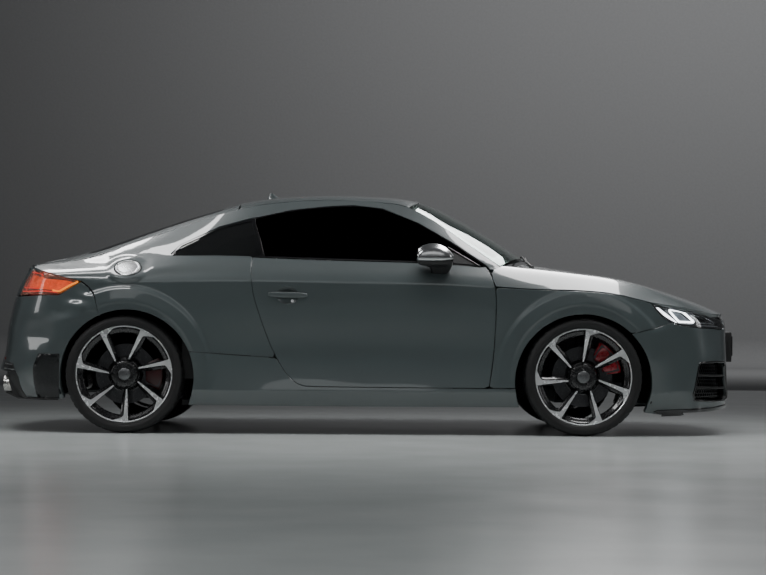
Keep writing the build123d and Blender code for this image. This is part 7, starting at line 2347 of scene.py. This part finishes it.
sw.append(loft("wheel_column", [[on_wheel(r * math.cos(q) * 1.0, r * math.sin(q), c) for q in np.linspace(0, 2 * math.pi, 33)[:-1]] for c, r in ((-10, 44), (-18, 40), (-30, 30), (-60, 28), (-126, 28))], ("dark_plastic",), sharp=40))
put(join_plain("steering_wheel_trim", sw), "steering_wheel", "steering_wheel", slot="wheel_leather")
shroud = []
for c, w, h in ((-44, 44, 40), (-52, 52, 46), (-100, 56, 50), (-140, 58, 52), (-170, 58, 52)):
    shroud.append([on_wheel(w * abs(math.cos(q)) ** 0.7 * (1 if math.cos(q) > 0 else -1), h * abs(math.sin(q)) ** 0.7 * (1 if math.sin(q) > 0 else -1) - 4, c) for q in np.linspace(0, 2 * math.pi, 37)[:-1]])
inner_s = [[V(p) * 1.0 for p in r] for r in shroud]
put(loft("column_shroud", shroud, ("dark_plastic",), sharp=45), "body", "dashboard", slot="dark_plastic")
for q in (1, -1):
    put(tube(f"column_stalk_{q}", [on_wheel(q * 40, 12, -78), on_wheel(q * 90, 14, -70), on_wheel(q * 128, 15, -64), on_wheel(q * 150, 15, -62)], [6, 5.5, 7.5, 6], ("dark_plastic",), 14), "body", "dashboard", slot="dark_plastic")
# pedals
for k, (y, w, z) in enumerate(((300, 60, 330), (392, 74, 345))):
    put(bevel(loft(f"pedal_{k}", [[(x, y + dy, zz) for x, zz in ((716, z - 56), (700, z + 40), (706, z + 46), (726, z - 52))] for dy in (-w / 2, w / 2)], ("satin_metal",), sharp=30), 2, 2, 40), "body", "dashboard", slot="dark_plastic")
    put(tube(f"pedal_arm_{k}", [(716, y, z), (760, y, z + 90), (790, y, z + 200)], 8, ("steel_dark",), 10), "body", "dashboard", slot="dark_plastic")

# door trims
def trim_f(u, v):
    u = np.asarray(u, float); v = np.asarray(v, float)
    y = side_y(u, v) - 50
    arm = 46 * smooth((v - 470) / 90) * (1 - smooth((v - 590) / 34)) * smooth((u + 470) / 120) * (1 - smooth((u - 420) / 140))
    low = 26 * (1 - smooth((v - 380) / 90)) * smooth((u + 380) / 160)
    top_ = 12 * smooth((v - 800) / 40)
    return np.stack([u, y - arm - low - top_, v], -1)


door_trim_loop = inset_loop(door_in, 16)
door_trim_loop = [(x, min(z, 884 + 0.03 * x)) for x, z in door_trim_loop]
tl, tr = panel("door_trim_left", trim_f, door_trim_loop, flip=1, step=27, edge=15, depth=-4 if False else 5, hem=2, mats=("leather",), mirror="door_trim_right", lift=0)
for o, t_ in ((tl, "left"), (tr, "right")):
    put(o, f"door_{t_}", f"door_{t_}", slot="seat_leather")
side_in = lambda h: (lambda u, v: trim_f(u, v) + V([0, -h, 0]))
ub, ub2 = panel("door_upper_left", side_in(7), [(-520, 700), (-380, 690), (500, 700), (660, 730), (672, 800), (640, 870), (200, 878), (-560, 862), (-566, 800)], flip=1, step=30, edge=15, depth=6, hem=3, mats=("dark_plastic",), mirror="door_upper_right")
sp_, sp2 = panel("door_speaker_left", side_in(5), [(470 + 84 * math.cos(t), 372 + 84 * math.sin(t)) for t in np.linspace(0, 2 * math.pi, 41)[:-1]], flip=1, step=22, edge=12, depth=5, hem=2, mats=("dark_plastic",), mirror="door_speaker_right")
pk_, pk2 = panel("door_pocket_left", side_in(14), round_loop([(-250, 300), (330, 290), (330, 392), (-260, 410)], 20), flip=1, step=26, edge=14, depth=12, hem=4, mats=("dark_plastic",), mirror="door_pocket_right")
hd_, hd2 = panel("door_pull_left", side_in(9), round_loop([(150, 612), (300, 616), (318, 650), (140, 650)], 12), flip=1, step=20, edge=10, depth=8, hem=3, mats=("satin_metal",), mirror="door_pull_right")
for a_, b_ in ((ub, ub2), (sp_, sp2), (pk_, pk2), (hd_, hd2)):
    put(a_, "door_left", "door_left", slot="dark_plastic"); put(b_, "door_right", "door_right", slot="dark_plastic")
# tailgate lining
gin = [(-712, 0), (-712, 470), (-790, 500), (-1180, 520), (-1500, 545), (-1640, 560), (-1800, 560), (-1880, 520), (-1884, 0)]
put(panel("tailgate_lining", gate_f, inset_loop(sym(gin), 0), [inset_loop(sym(win_half), 22)], step=36, edge=18, lift=-26, depth=5, hem=2, mats=("dark_plastic",)), "tailgate", "tailgate", slot="paint")

# =====================================================================
# Engine bay
# =====================================================================
cover = [bevel(loft("engine_cover_slab", [[(x, y * w, z) for y, z in ((-270, 786), (-286, 798), (-262, 818), (-120, 824 + h), (120, 824 + h), (262, 818), (286, 798), (270, 786))]
                                          for x, w, h in ((1012, 0.90, -4), (1034, 0.98, 2), (1240, 1.0, 8), (1440, 0.98, 2), (1468, 0.90, -6))], ("dark_plastic",), sharp=30), 5, 2, 32)]
for y in (-200, -120, 120, 200):
    cover.append(box(f"cover_rib_{y}", (1240, y, 829), (340, 14, 8), 3, ("gloss_black",)))
cover.append(box("cover_band", (1240, 0, 833), (300, 120, 6), 2.6, ("satin_metal",)))
cover.append(turned("oil_cap", [(0, 20), (24, 19), (29, 14), (29, 0)], (1360, -196, 820), (0, 0, 1), 28, ("gloss_black",)))
for x, y in ((1040, -240), (1040, 240), (1440, -240), (1440, 240)):
    cover.append(turned(f"cover_screw_{x}_{y}", [(0, 5), (8, 5), (10, 2), (10, -3)], (x, y, 816), (0, 0, 1), 18, ("steel",)))
put(join_plain("engine_cover", cover), "body", slot="black_trim")
bat = [box("battery_case", (1020, 470, 740), (230, 170, 150), 8, ("dark_plastic",)), box("battery_lid", (1020, 470, 822), (236, 176, 18), 5, ("gloss_black",)),
       box("battery_grip", (1020, 470, 838), (120, 16, 12), 4, ("dark_plastic",))]
for x in (940, 1100):
    bat.append(turned(f"battery_post_{x}", [(0, 16), (8, 16), (9.5, 0), (12, -4)], (x, 520, 832), (0, 0, 1), 18, ("steel",)))
put(join_plain("battery", bat), "body", slot="black_trim")
tank = [bevel(loft("coolant_tank", [[(1000 + r * 84 * math.cos(a), -470 + r * 66 * math.sin(a), z) for a in np.linspace(0, 2 * math.pi, 33)[:-1]] for z, r in ((700, 0.9), (716, 1), (800, 1), (824, 0.84), (832, 0.5))], ("headliner",), sharp=50), 2, 1, 60),
        turned("coolant_cap", [(0, 24), (22, 23), (26, 18), (26, 0)], (1000, -470, 828), (0, 0, 1), 26, ("gloss_black",))]
put(join_plain("coolant_bottle", tank), "body", slot="black_trim")
for s_, t_ in ((1, "left"), (-1, "right")):
    put(turned(f"strut_tower_{t_}", [(0, 58), (26, 57), (30, 48), (62, 44), (78, 36), (92, 10), (100, -30)], (1262, s_ * 566, 752), (0, 0, 1), 36, ("paint",)), "body", slot="paint")
    rail_ = [[(x, s_ * y, z) for y, z in ((594, z0 - 60), (594, z0), (604, z0 + 12), (640, z0 + 12), (650, z0), (650, z0 - 60))] for x, z0 in ((800, 770), (1000, 768), (1200, 752), (1400, 736), (1560, 700))]
    put(bevel(loft(f"bay_rail_{t_}", rail_, ("paint",), sharp=30), 3, 2, 40), "body", slot="paint")
slam = [bevel(loft("slam_panel", [[(x, y, z) for x, z in ((1850, 604), (1850, 634), (1858, 642), (1934, 634), (1942, 626), (1942, 600))] for y in (-470, -300, -120, 0, 120, 300, 470)], ("dark_plastic",), sharp=30), 3, 2, 40)]
slam.append(box("bonnet_catch", (1900, 0, 646), (46, 70, 16), 4, ("steel",)))
for y in (-360, -180, 180, 360):
    slam.append(turned(f"slam_clip_{y}", [(0, 6), (9, 5.6), (12, 2), (12, -2)], (1896, y, 640), (0, 0, 1), 18, ("gloss_black",)))
put(join_plain("front_panel", slam), "body", slot="black_trim")

# =====================================================================
# Finishes for the CAD nodes that show
# =====================================================================
CAD_MATS = {"floor_pan": "underbody", "engine_block": "cast", "front_suspension": "steel_dark", "rear_suspension": "steel_dark",
            "knuckle_front_left": "steel_dark", "knuckle_front_right": "steel_dark"}
for name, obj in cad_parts.items():
    m = MAT[CAD_MATS.get(name, "black_trim")]
    if obj.type == "MESH":
        obj.data.materials.clear() if False else None
        for slot in obj.material_slots:
            slot.material = m
